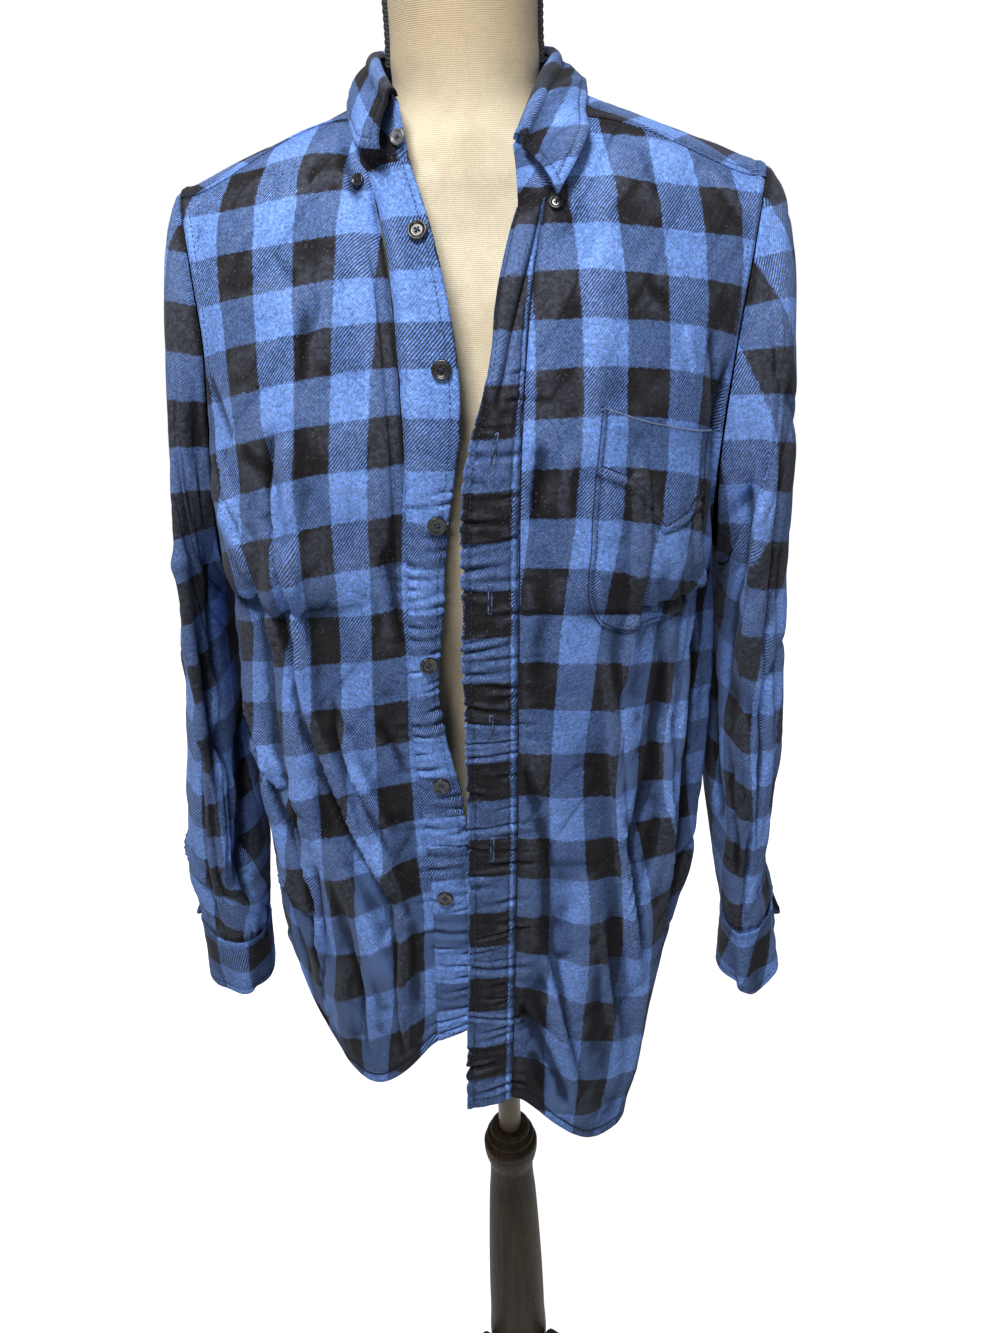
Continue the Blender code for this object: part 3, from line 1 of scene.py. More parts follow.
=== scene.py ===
# Flannel shirt on a limbless dress form with a pole stand: the looks.
#
# The shirt's surfaces are worked out from the same kind of tables as the CAD part,
# with finer creases, gathers, stitching and a woven check added.  Every table is
# charted.  Left and right are the wearer's: left is +X.
import bpy
from mathutils import Vector, Matrix
import math
import numpy as np
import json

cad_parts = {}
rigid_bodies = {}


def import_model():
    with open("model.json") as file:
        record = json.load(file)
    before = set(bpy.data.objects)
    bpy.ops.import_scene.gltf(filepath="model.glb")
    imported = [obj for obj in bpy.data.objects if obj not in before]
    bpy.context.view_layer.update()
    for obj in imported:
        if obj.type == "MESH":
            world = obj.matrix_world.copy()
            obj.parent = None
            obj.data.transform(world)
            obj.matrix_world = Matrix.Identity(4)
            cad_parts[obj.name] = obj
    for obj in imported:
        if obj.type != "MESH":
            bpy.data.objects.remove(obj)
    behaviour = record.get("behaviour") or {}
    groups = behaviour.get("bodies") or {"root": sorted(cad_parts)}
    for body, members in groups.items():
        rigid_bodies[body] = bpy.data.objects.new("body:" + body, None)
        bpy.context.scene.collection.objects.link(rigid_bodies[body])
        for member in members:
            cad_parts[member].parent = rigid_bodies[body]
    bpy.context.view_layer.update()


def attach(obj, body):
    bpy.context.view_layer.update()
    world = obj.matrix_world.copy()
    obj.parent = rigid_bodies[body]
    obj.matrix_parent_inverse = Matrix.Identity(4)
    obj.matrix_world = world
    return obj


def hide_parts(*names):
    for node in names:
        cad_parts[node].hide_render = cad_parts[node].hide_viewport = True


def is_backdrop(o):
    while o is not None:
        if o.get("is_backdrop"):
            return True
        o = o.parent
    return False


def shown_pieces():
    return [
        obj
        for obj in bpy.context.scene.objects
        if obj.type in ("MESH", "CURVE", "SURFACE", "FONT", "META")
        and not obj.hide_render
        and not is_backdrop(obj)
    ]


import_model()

# ---------------------------------------------------------------------------
# Sizes.  Lengths in the tables are centimetres, x to the viewer's right,
# y away from the front, z up, measured from the axis of the stand.
# ---------------------------------------------------------------------------
CM = 0.01
SHIFT_X = 0.0127        # whole object, so that its box is centred on the origin
SHIFT_Y = -0.0625

def table(columns, rows):
    """Short table with a label in front of each row: {column: values}."""
    names = columns.split()
    values = np.array([[float(c) for c in row[1:]] for row in rows])
    out = {n: values[:, i] for i, n in enumerate(names)}
    out["label"] = [row[0] for row in rows]
    return out

def col(tab, names):
    return np.stack([tab[n] for n in names.split()], -1)

def spline(k, p, t):
    """Smooth curve through the values p at the stations k."""
    k = np.asarray(k, float)
    p = np.asarray(p, float)
    flat = p.ndim == 1
    if flat:
        p = p[:, None]
    t = np.asarray(t, float)
    h = k[1:] - k[:-1]
    d = (p[1:] - p[:-1]) / h[:, None]
    m = np.empty_like(p)
    m[0], m[-1] = d[0], d[-1]
    if len(k) > 2:
        m[1:-1] = (d[:-1] * h[1:, None] + d[1:] * h[:-1, None]) / (h[1:] + h[:-1])[:, None]
    i = np.clip(np.searchsorted(k, t, side="right") - 1, 0, len(k) - 2)
    hh = h[i][..., None]
    u = ((t - k[i]) / h[i])[..., None]
    q = ((2*u**3 - 3*u**2 + 1) * p[i] + (u**3 - 2*u**2 + u) * hh * m[i]
         + (-2*u**3 + 3*u**2) * p[i+1] + (u**3 - u**2) * hh * m[i+1])
    return q[..., 0] if flat else q

def ring_spline(k, p, t):
    """Closed smooth curve, stations 0..1."""
    k = np.asarray(k, float)
    p = np.asarray(p, float)
    kk = np.concatenate([k[-3:] - 1, k, k[:3] + 1])
    pp = np.concatenate([p[-3:], p, p[:3]])
    return spline(kk, pp, np.mod(t, 1.0))

def bezier(a, b, c, d, u):
    u = u[..., None]
    return (1-u)**3*a + 3*u*(1-u)**2*b + 3*u*u*(1-u)*c + u**3*d

def smooth(x, lo, hi):
    u = np.clip((np.asarray(x, float) - lo) / (hi - lo), 0, 1)
    return u*u*(3-2*u)

def ridge(u, v, f, scale):
    """Height of a tapered ridge (or trough) that runs from (u0,v0) to (u1,v1).

    scale turns u and v into centimetres on the cloth."""
    a = np.array([f["u0"]*scale[0], f["v0"]*scale[1]])
    b = np.array([f["u1"]*scale[0], f["v1"]*scale[1]])
    p = np.stack([u*scale[0], v*scale[1]], -1)
    d = b - a
    L = np.hypot(*d) + 1e-9
    d = d / L
    along = (p - a) @ d
    bow = f.get("bow", 0.0)
    across = (p - a) @ np.array([-d[1], d[0]]) - bow * 4*np.clip(along/L,0,1)*(1-np.clip(along/L,0,1))
    e = f.get("fade", 0.25) * L
    w = smooth(along, -0.3*e, e) * (1 - smooth(along, L - e, L + 0.3*e))
    x = across / f["w"]
    lean = f.get("lean", 0.0)
    x = x * (1 + lean*np.tanh(2*x))
    prof = np.exp(-np.abs(x)**f.get("pow", 2.0))
    return f["h"] * w * prof

def folds_of(tab):
    keys = [k for k in tab if k != "label"]
    return [{k: tab[k][i] for k in keys} for i in range(len(tab["label"]))]

def fold_height(u, v, tab, scale):
    h = np.zeros(np.broadcast(u, v).shape)
    for f in folds_of(tab):
        h = h + ridge(u, v, f, scale)
    return h

def normals(P):
    """Unit normals of a grid of points."""
    du = np.gradient(P, axis=1)
    dv = np.gradient(P, axis=0)
    n = np.cross(du, dv)
    return n / (np.linalg.norm(n, axis=-1, keepdims=True) + 1e-12)

# --- neck seam: from the button band's edge, round the back, to the placket's edge
NECK = table("t x y z", [
    ("band edge",   0.000, -3.6, -6.9, 140.9),
    ("band seam",   0.065, -6.1, -6.1, 140.6),
    ("mid right",   0.140, -6.7, -3.8, 142.3),
    ("yoke right",  0.200, -6.9, -1.5, 143.5),
    ("side right",  0.310, -6.5,  2.7, 144.9),
    ("back right",  0.400, -4.0,  5.9, 145.5),
    ("back",        0.500,  0.0,  7.0, 145.7),
    ("back left",   0.600,  4.0,  5.9, 145.6),
    ("side left",   0.690,  6.6,  2.7, 145.0),
    ("top left",    0.780,  7.0, -1.3, 144.3),
    ("yoke left",   0.855,  6.5, -4.5, 143.0),
    ("mid left",    0.905,  5.6, -6.8, 140.9),
    ("placket seam",0.950,  4.6, -8.4, 138.7),
    ("placket edge",1.000,  2.9, -8.3, 138.1),
])
def neck(t):
    return spline(NECK["t"], col(NECK, "x y z"), t)

# --- armhole seams: closed loops, up the front from the underarm and down the back
ARM_L = table("t x y z", [
    ("underarm",     0.000, 17.1, -0.6, 113.4),
    ("front low",    0.070, 16.5, -4.3, 115.3),
    ("front",        0.150, 16.1, -6.6, 119.6),
    ("front mid",    0.250, 16.3, -7.5, 125.2),
    ("front high",   0.340, 16.9, -7.3, 130.4),
    ("front top",    0.420, 17.7, -6.3, 134.7),
    ("yoke front",   0.510, 18.8, -3.6, 139.2),
    ("shoulder",     0.570, 19.4, -0.6, 140.0),
    ("shoulder back",0.630, 19.4,  2.6, 139.2),
    ("back top",     0.700, 18.9,  5.6, 135.8),
    ("yoke back",    0.750, 18.5,  6.9, 132.6),
    ("back mid",     0.850, 17.8,  7.6, 124.8),
    ("back low",     0.930, 17.2,  5.2, 117.5),
])
ARM_R = table("t x y z", [
    ("underarm",     0.000, -19.2, -0.4, 113.2),
    ("front low",    0.070, -18.9, -4.0, 115.0),
    ("front",        0.150, -18.4, -6.2, 119.8),
    ("front mid",    0.250, -17.8, -7.2, 126.0),
    ("front high",   0.340, -17.4, -7.3, 130.8),
    ("front top",    0.420, -17.7, -6.4, 134.9),
    ("yoke front",   0.525, -18.6, -2.9, 139.2),
    ("shoulder",     0.575, -19.0, -0.2, 139.7),
    ("shoulder back",0.630, -19.1,  2.8, 138.8),
    ("back top",     0.700, -19.0,  5.7, 135.5),
    ("yoke back",    0.750, -18.8,  6.9, 132.4),
    ("back mid",     0.850, -18.8,  7.6, 124.6),
    ("back low",     0.930, -19.1,  5.2, 117.4),
])
def arm(side, t):
    tab = ARM_L if side == "left" else ARM_R
    return ring_spline(tab["t"], col(tab, "x y z"), t)
YOKE_FRONT = {"left": 0.510, "right": 0.525}    # where the yoke's seams meet the armhole
YOKE_BACK = 0.750
NECK_YOKE = {"left": 0.855, "right": 0.200}     # where the yoke's front seams meet the neck
NECK_SEAM = {"left": 0.950, "right": 0.065}     # where the front bands' seams meet the neck

# --- side seams, underarm to hem, by the panels' row station v
SIDE_L = table("v x y z", [
    ("underarm", 0.36, 17.1, -0.6, 113.4),
    ("ribs",     0.47, 17.2, -0.2, 104.5),
    ("waist",    0.60, 17.0,  0.2,  95.0),
    ("hip",      0.76, 16.4,  0.4,  84.5),
    ("low hip",  0.90, 14.4,  0.3,  76.3),
    ("hem",      1.00, 13.1,  0.2,  71.0),
])
SIDE_R = table("v x y z", [
    ("underarm", 0.36, -19.2, -0.4, 113.2),
    ("ribs",     0.47, -19.5, -0.2, 105.0),
    ("waist",    0.60, -19.6,  0.0,  96.5),
    ("hip",      0.76, -19.6,  0.1,  87.0),
    ("low hip",  0.90, -19.8,  0.1,  80.4),
    ("hem",      1.00, -19.6,  0.0,  76.6),
])
# armhole station of the panels' side edge by v
ARM_V = table("v front back", [
    ("yoke seam", 0.00, 1.0, 0.0),
    ("one",       0.07, 0.86, 0.13),
    ("two",       0.14, 0.71, 0.28),
    ("three",     0.21, 0.54, 0.46),
    ("four",      0.28, 0.35, 0.66),
    ("five",      0.33, 0.17, 0.85),
    ("underarm",  0.36, 0.0, 1.0),
])
def side_point(side, v, back=False):
    v = np.asarray(v, float)
    s = SIDE_L if side == "left" else SIDE_R
    low = spline(s["v"], col(s, "x y z"), np.maximum(v, 0.36))
    if back:
        t = YOKE_BACK + (1 - YOKE_BACK) * spline(ARM_V["v"], ARM_V["back"], np.minimum(v, 0.36))
    else:
        t = YOKE_FRONT[side] * spline(ARM_V["v"], ARM_V["front"], np.minimum(v, 0.36))
    high = arm(side, t)
    return np.where((v < 0.36)[..., None], high, low)

# --- front edge seams (where placket and button band join), neck to hem
NECK_V = 0.085          # row station where the neck seam ends
EDGE_L = table("v x y z", [
    ("neck",    0.085, 4.6,  -8.4, 138.7),
    ("collarbone",0.15,3.5, -10.8, 133.8),
    ("chest",   0.24,  2.6, -13.0, 125.5),
    ("bust",    0.36,  2.1, -13.6, 114.0),
    ("ribs",    0.47,  1.8, -13.5, 105.0),
    ("waist",   0.60,  1.5, -13.3,  95.5),
    ("hip",     0.76,  1.0, -13.3,  84.0),
    ("low hip", 0.90,  0.6, -13.5,  75.5),
    ("hem",     1.00,  0.4, -13.6,  70.6),
])
EDGE_R = table("v x y z", [
    ("neck",    0.085, -6.1, -6.1, 140.6),
    ("collarbone",0.15,-5.2, -9.0, 135.8),
    ("chest",   0.24,  -4.7,-12.3, 127.0),
    ("bust",    0.36,  -5.0,-13.0, 115.0),
    ("ribs",    0.47,  -5.4,-12.9, 107.0),
    ("waist",   0.60,  -5.2,-12.5,  98.5),
    ("hip",     0.76,  -5.0,-12.4,  88.5),
    ("low hip", 0.90,  -5.3,-12.3,  80.6),
    ("hem",     1.00,  -5.4,-12.2,  75.6),
])
def edge_point(side, v):
    v = np.asarray(v, float)
    e = EDGE_L if side == "left" else EDGE_R
    low = spline(e["v"], col(e, "x y z"), np.maximum(v, NECK_V))
    a, b = NECK_YOKE[side], NECK_SEAM[side]
    high = neck(a + (b - a) * np.minimum(v, NECK_V) / NECK_V)
    return np.where((v < NECK_V)[..., None], high, low)

# --- the fronts' rows: a and b are the plan controls of each row's curve, measured
# from the front edge and from the side; sag lowers the middle of the row
ROWS_L = table("v ax ay bx by sag", [
    ("yoke seam", 0.00, 3.8, -0.7, -3.6, -1.3,  0.3),
    ("neck low",  0.085,4.2, -1.2, -3.6, -2.3,  0.2),
    ("upper",     0.15, 4.4, -1.5, -3.4, -3.2,  0.0),
    ("chest",     0.24, 4.6, -1.0, -2.8, -4.6, -0.3),
    ("underarm",  0.36, 5.0, -0.6, -0.3, -8.0, -0.6),
    ("ribs",      0.47, 5.2, -0.4,  0.2, -8.4, -0.6),
    ("waist",     0.60, 5.4, -0.2,  0.0, -8.6, -0.8),
    ("hip",       0.76, 5.4,  0.0,  0.0, -8.8, -2.2),
    ("low hip",   0.90, 5.4,  0.2,  0.0, -8.6, -5.4),
    ("hem",       1.00, 5.2,  0.5, -0.4, -7.8, -10.0),
])
ROWS_R = table("v ax ay bx by sag", [
    ("yoke seam", 0.00, -3.8, -0.8,  3.6, -1.3,  0.3),
    ("neck low",  0.085,-4.2, -1.2,  3.6, -2.3,  0.2),
    ("upper",     0.15, -4.4, -1.4,  3.2, -3.2,  0.0),
    ("chest",     0.24, -4.6, -0.9,  2.4, -4.8, -0.3),
    ("underarm",  0.36, -5.0, -0.4,  0.1, -8.0, -0.6),
    ("ribs",      0.47, -5.2, -0.2, -0.1, -8.4, -0.6),
    ("waist",     0.60, -5.4, -0.2, -0.2, -8.6, -0.8),
    ("hip",       0.76, -5.2, -0.3,  0.5, -8.0, -2.2),
    ("low hip",   0.90, -4.6, -0.4,  2.0, -6.4, -5.2),
    ("hem",       1.00, -3.9, -0.5,  3.3, -4.8, -8.6),
])
HEM_PEAK = {"left": 0.54, "right": 0.52}        # where across the row the sag is deepest

FRONT_FOLDS_L = table("u0 v0 u1 v1 w h pow lean", [
    ("under pocket",  0.62, 0.30, 0.60, 0.98, 1.5,  0.70, 2.0, 0.0),
    ("pocket valley", 0.76, 0.30, 0.73, 0.90, 1.3, -0.80, 2.0, 0.0),
    ("side ridge",    0.86, 0.36, 0.85, 0.80, 1.2,  0.60, 2.0, 0.0),
    ("hip ridge",     0.50, 0.66, 0.60, 1.02, 1.2,  0.75, 2.0, 0.0),
    ("placket valley",0.20, 0.60, 0.10, 1.00, 1.8, -0.55, 2.0, 0.0),
    ("shoulder",      0.25, 0.02, 0.30, 0.30, 1.6,  0.30, 2.0, 0.0),
])
FRONT_FOLDS_R = table("u0 v0 u1 v1 w h pow lean", [
    ("long ridge",    0.52, 0.26, 0.48, 0.72, 1.3,  0.85, 2.0, 0.0),
    ("long valley",   0.62, 0.30, 0.56, 0.74, 1.3, -0.80, 2.0, 0.0),
    ("side ridge",    0.78, 0.36, 0.60, 0.86, 1.3,  0.60, 2.0, 0.0),
    ("side valley",   0.88, 0.42, 0.72, 0.95, 1.2, -0.60, 2.0, 0.0),
    ("low ridge",     0.42, 0.62, 0.22, 0.88, 1.2,  0.70, 2.0, 0.0),
    ("band roll",     0.08, 0.02, 0.05, 0.40, 0.9, -0.45, 2.0, 0.0),
])
FRONT_SCALE = (24.0, 80.0)

def front_rows(side, u, v):
    """The front's rows before any fold."""
    rows = ROWS_L if side == "left" else ROWS_R
    e = edge_point(side, v)
    s = side_point(side, v)
    a = e + np.concatenate([spline(rows["v"], col(rows, "ax ay"), v), 0*v[..., None]], -1)
    b = s + np.concatenate([spline(rows["v"], col(rows, "bx by"), v), 0*v[..., None]], -1)
    # even spacing along the row
    p = bezier(e, a, b, s, u)
    sag = spline(rows["v"], rows["sag"], v)
    k = HEM_PEAK[side]
    rise = np.sin(0.5*np.pi*np.clip(u/k, 0, 1))**1.5
    fall = np.sin(0.5*np.pi*np.clip((1-u)/(1-k), 0, 1))**1.3
    hump = np.where(u < k, rise, fall)
    z = e[..., 2] + (s[..., 2] - e[..., 2]) * smooth(u, 0, 1)
    p[..., 2] = z + sag * hump
    return p

def front_points(side, u, v, folds=None):
    """Points of a front: u from its edge seam (0) to its side (1), v down."""
    p = front_rows(side, u, v)
    tabs = [FRONT_FOLDS_L if side == "left" else FRONT_FOLDS_R] + list(folds or [])
    n = normals(p)
    if side == "right":
        n = -n
    n = -n if n[..., 1].mean() > 0 else n
    for t in tabs:
        h = fold_height(u, v, t, FRONT_SCALE)
        # seams stay where they are
        h = h * smooth(u, 0.0, 0.05) * (1 - smooth(u, 0.94, 1.0)) * smooth(v, 0.0, 0.03)
        p = p + n * h[..., None]
    return p

# --- the back, from its left side (u=-1) to its right side (u=+1)
ROWS_B = table("v cx cy cz ax bx by", [
    ("yoke seam", 0.00,  0.0, 12.0, 135.4, 8.0, -3.4, 4.2),
    ("blades",    0.14,  0.0, 13.0, 127.6, 8.4, -2.2, 4.6),
    ("upper",     0.24,  0.0, 13.4, 121.0, 8.6, -1.2, 5.2),
    ("underarm",  0.36, -0.1, 13.4, 113.0, 8.8,  0.2, 7.8),
    ("ribs",      0.47, -0.2, 13.0, 104.6, 9.0,  0.4, 8.2),
    ("waist",     0.60, -0.3, 12.8,  95.0, 9.0,  0.4, 8.4),
    ("hip",       0.76, -0.4, 13.2,  82.8, 9.0,  0.2, 8.8),
    ("low hip",   0.90, -0.5, 13.8,  71.6, 8.8, -0.2, 9.4),
    ("hem",       1.00, -0.6, 14.2,  63.2, 8.6, -0.6, 9.8),
])
BACK_FOLDS = table("u0 v0 u1 v1 w h pow lean", [
    ("centre left",   -0.12, 0.00, -0.16, 0.90, 1.4,  0.65, 2.0, 0.0),
    ("centre right",   0.13, 0.02,  0.10, 0.95, 1.3,  0.60, 2.0, 0.0),
    ("centre valley",  0.00, 0.05, -0.03, 0.98, 1.5, -0.55, 2.0, 0.0),
    ("left blade",    -0.45, 0.10, -0.38, 0.95, 1.6,  0.60, 2.0, 0.0),
    ("left valley",   -0.60, 0.20, -0.56, 0.92, 1.4, -0.55, 2.0, 0.0),
    ("right blade",    0.50, 0.14,  0.42, 0.92, 1.5,  0.65, 2.0, 0.0),
    ("right valley",   0.66, 0.26,  0.60, 0.96, 1.4, -0.55, 2.0, 0.0),
])
BACK_SCALE = (24.0, 76.0)
def yoke_back_seam(w):
    """Back yoke seam from the wearer's right armhole (w=-1) to the left one (w=1)."""
    return back_points(np.asarray(w, float), np.zeros_like(np.asarray(w, float)), flat=True)
def back_points(u, v, folds=None, flat=False):
    t = ROWS_B
    c = spline(t["v"], col(t, "cx cy cz"), v)
    ax = spline(t["v"], t["ax"], v)
    bb = spline(t["v"], col(t, "bx by"), v)
    left = u >= 0
    sL = side_point("left", v, True)
    sR = side_point("right", v, True)
    s = np.where(left[..., None], sL, sR)
    sign = np.where(left, 1.0, -1.0)
    zero = 0*ax
    a = c + np.stack([sign*ax, zero, zero], -1)
    b = s + np.stack([sign*bb[..., 0], bb[..., 1], zero], -1)
    w = np.abs(u)
    p = bezier(c, a, b, s, w)
    k = np.clip(v, 0, 1)**3
    lift = (1-k) * w**2.2 + k * smooth(w, 0.30, 0.98)
    p[..., 2] = c[..., 2] + (s[..., 2] - c[..., 2]) * lift
    if not flat:
        n = normals(p)
        n = -n if n[..., 1].mean() < 0 else n
        for tab in [BACK_FOLDS] + list(folds or []):
            h = fold_height(u, v, tab, BACK_SCALE)
            h = h * (1 - smooth(np.abs(u), 0.92, 1.0)) * smooth(v, 0.0, 0.05)
            p = p + n * h[..., None]
    return p

# --- the yoke, a U of columns from the neck (w=0) to its outer seam (w=1)
YOKE = table("u neck seg pos cx cy cz", [
    ("front right",   0.00, 0.200, 0, 0.00,  0.0,  0.0, 0.25),
    ("shoulder right",0.12, 0.270, 0, 0.42,  0.0,  0.1, 0.30),
    ("behind right",  0.23, 0.330, 0, 0.74,  0.0,  0.5, 0.50),
    ("corner right",  0.31, 0.380, 1,-1.00,  0.0,  0.9, 0.80),
    ("back right",    0.40, 0.440, 1,-0.50,  0.0,  1.2, 1.20),
    ("back",          0.50, 0.500, 1, 0.00,  0.0,  1.2, 1.30),
    ("back left",     0.60, 0.560, 1, 0.50,  0.0,  1.2, 1.20),
    ("corner left",   0.69, 0.620, 1, 1.00,  0.0,  0.9, 0.80),
    ("behind left",   0.77, 0.680, 2, 0.74,  0.0,  0.5, 0.50),
    ("shoulder left", 0.88, 0.770, 2, 0.42,  0.0,  0.1, 0.30),
    ("front left",    1.00, 0.855, 2, 0.00,  0.0,  0.0, 0.25),
])
def yoke_outer(u):
    """Outer edge of the yoke: armhole, back seam, armhole."""
    k = YOKE["u"]
    u = np.asarray(u, float)
    posR = np.interp(u, k[:4], [0.0, 0.42, 0.74, 1.0])
    posL = np.interp(u, k[7:], [1.0, 0.74, 0.42, 0.0])
    tR = YOKE_FRONT["right"] + (YOKE_BACK - YOKE_FRONT["right"]) * posR
    tL = YOKE_FRONT["left"] + (YOKE_BACK - YOKE_FRONT["left"]) * posL
    w = np.interp(u, [k[3], k[4], k[5], k[6], k[7]], [-1, -0.5, 0, 0.5, 1])
    out = np.where((u <= k[3])[..., None], arm("right", tR),
                   np.where((u >= k[7])[..., None], arm("left", tL), yoke_back_seam(w)))
    return out
def yoke_points(u, w):
    n = neck(spline(YOKE["u"], YOKE["neck"], u))
    o = yoke_outer(u)
    c = spline(YOKE["u"], col(YOKE, "cx cy cz"), u)
    ww = w[..., None]
    p = n*(1-ww) + o*ww + c*4*ww*(1-ww)
    # the two front edges are the fronts' own top rows
    for side, at in (("right", 0.0), ("left", 1.0)):
        row = front_rows(side, w, 0*w)
        e = np.full_like(u, at)
        n0 = neck(spline(YOKE["u"], YOKE["neck"], e))
        c0 = spline(YOKE["u"], col(YOKE, "cx cy cz"), e)
        own = n0*(1-ww) + yoke_outer(e)*ww + c0*4*ww*(1-ww)
        p = p + (row - own) * (np.clip(1 - np.abs(u - at)/0.12, 0, 1)**2)[..., None]
    return p

# --- front bands: from the seam (w=0) to the free edge (w=1)
BAND_R = table("v dx dy dz bow", [
    ("neck",    0.085, 2.6, -0.9,  0.4, 0.15),
    ("collar",  0.15,  3.2, -0.9,  0.1, 0.20),
    ("chest",   0.24,  3.7, -0.7,  0.0, 0.20),
    ("breast",  0.30,  2.75, -0.1, 0.0, 0.30),
    ("bust",    0.36,  2.25, 0.3,  0.0, 0.35),
    ("ribs",    0.47,  1.9,  0.4,  0.0, 0.35),
    ("last gap", 0.53, 2.40, 0.2,  0.0, 0.30),
    ("closed",  0.57,  2.85, 0.0,  0.0, 0.22),
    ("waist",   0.62,  3.0,  0.0,  0.0, 0.18),
    ("hip",     0.76,  3.0,  0.0,  0.0, 0.15),
    ("low hip", 0.90,  3.0,  0.0,  0.1, 0.15),
    ("hem",     1.00,  3.0,  0.0,  1.3, 0.15),
])
BAND_L = table("v dx dy dz bow", [
    ("neck",    0.085,-1.7,  0.1, -0.6, 0.25),
    ("collar",  0.15, -1.9, -0.1, -0.2, 0.40),
    ("open",    0.20, -2.0, -0.5,  0.0, 0.45),
    ("chest",   0.24, -3.05,-0.6,  0.0, 0.30),
    ("bust",    0.36, -3.6, -0.2,  0.0, 0.20),
    ("ribs",    0.47, -3.5, -0.2,  0.0, 0.20),
    ("waist",   0.60, -3.5, -0.3,  0.0, 0.20),
    ("hip",     0.76, -3.5, -0.3,  0.0, 0.20),
    ("low hip", 0.90, -3.6, -0.3, -0.2, 0.20),
    ("hem",     1.00, -3.7, -0.3, -0.9, 0.20),
])
def band_points(side, w, v):
    tab = BAND_L if side == "left" else BAND_R
    e = edge_point(side, v)
    d = spline(tab["v"], col(tab, "dx dy dz"), v)
    bow = spline(tab["v"], tab["bow"], v)
    p = e + d * w[..., None]
    p[..., 1] -= bow * 4*w*(1-w)
    return p

# --- sleeves.  A ring is given by its outer point, its inner (underarm) point and
# its front and back reach.  Station s runs 0 underarm, front, top, back, 1.
SLEEVE_L = table("r ox oz ix iz yf yb yc blend", [
    ("armhole",  0.00, 19.7, 140.0, 17.5, 113.3, -7.4, 7.6, 0.0, 1.00),
    ("cap 1",    0.05, 20.7, 138.7, 17.7, 112.9, -7.9, 8.0, 0.0, 0.55),
    ("cap 2",    0.11, 21.3, 135.8, 17.9, 112.4, -8.0, 8.3, 0.0, 0.22),
    ("cap 3",    0.19, 21.5, 131.0, 18.0, 111.4, -8.1, 8.6, 0.0, 0.06),
    ("upper",    0.28, 21.8, 124.5, 18.1, 109.6, -8.0, 8.7, 0.0, 0.00),
    ("bicep",    0.38, 21.9, 116.5, 18.1, 106.6, -7.7, 8.6, 0.0, 0.00),
    ("elbow",    0.50, 22.5, 107.0, 17.9, 101.0, -7.2, 8.2, 0.0, 0.00),
    ("forearm",  0.62, 23.2,  98.2, 17.9,  94.8, -6.7, 7.6, 0.0, 0.00),
    ("low arm",  0.74, 22.9,  91.0, 18.5,  89.0, -6.2, 6.8, 0.0, 0.00),
    ("wrist",    0.87, 23.7,  84.0, 19.3,  83.4, -5.6, 5.6, 0.0, 0.00),
    ("cuff",     1.00, 24.8,  79.2, 20.3,  79.0, -5.0, 4.4, 0.0, 0.00),
])
SLEEVE_R = table("r ox oz ix iz yf yb yc blend", [
    ("armhole",  0.00,-19.3, 139.7,-19.6, 113.1, -7.3, 7.6, 0.0, 1.00),
    ("cap 1",    0.05,-20.0, 138.2,-19.8, 112.7, -7.8, 8.0, 0.0, 0.55),
    ("cap 2",    0.11,-20.5, 135.2,-20.0, 112.2, -7.9, 8.3, 0.0, 0.22),
    ("cap 3",    0.19,-20.9, 130.4,-20.1, 111.2, -8.0, 8.6, 0.0, 0.06),
    ("upper",    0.28,-21.5, 124.0,-20.2, 109.4, -7.9, 8.7, 0.0, 0.00),
    ("bicep",    0.38,-22.3, 116.0,-20.3, 106.4, -7.7, 8.6, 0.0, 0.00),
    ("elbow",    0.50,-23.3, 106.6,-20.3, 100.8, -7.2, 8.2, 0.0, 0.00),
    ("forearm",  0.62,-24.6,  98.0,-20.3,  94.6, -6.8, 7.6, 0.0, 0.00),
    ("low arm",  0.74,-25.7,  90.8,-20.3,  89.0, -6.4, 6.8, 0.0, 0.00),
    ("wrist",    0.87,-27.0,  84.6,-20.5,  84.0, -5.8, 5.6, 0.0, 0.00),
    ("cuff",     1.00,-27.2,  80.4,-21.1,  80.2, -5.2, 4.6, 0.0, 0.00),
])
SLEEVE_FOLDS_L = table("u0 v0 u1 v1 w h pow lean", [
    ("front drag",   0.24, 0.10, 0.20, 0.60, 1.5,  0.60, 2.0, 0.0),
    ("front valley", 0.33, 0.16, 0.30, 0.96, 1.3, -0.70, 2.0, 0.0),
    ("outer ridge",  0.45, 0.20, 0.42, 0.90, 1.3,  0.45, 2.0, 0.0),
    ("back ridge",   0.74, 0.16, 0.78, 0.90, 1.6,  0.60, 2.0, 0.0),
    ("back valley",  0.86, 0.30, 0.88, 0.96, 1.3, -0.55, 2.0, 0.0),
    ("elbow",        0.10, 0.46, 0.34, 0.56, 1.4, -0.45, 2.0, 0.0),
])
SLEEVE_FOLDS_R = table("u0 v0 u1 v1 w h pow lean", [
    ("front ridge",  0.30, 0.12, 0.26, 0.80, 1.4,  0.60, 2.0, 0.0),
    ("front valley", 0.38, 0.22, 0.36, 0.97, 1.3, -0.75, 2.0, 0.0),
    ("inner valley", 0.20, 0.30, 0.17, 0.90, 1.4, -0.50, 2.0, 0.0),
    ("outer ridge",  0.52, 0.30, 0.48, 0.95, 1.3,  0.45, 2.0, 0.0),
    ("back ridge",   0.76, 0.14, 0.74, 0.88, 1.6,  0.60, 2.0, 0.0),
    ("elbow",        0.12, 0.50, 0.36, 0.58, 1.4, -0.45, 2.0, 0.0),
])
SLEEVE_SCALE = (38.0, 60.0)
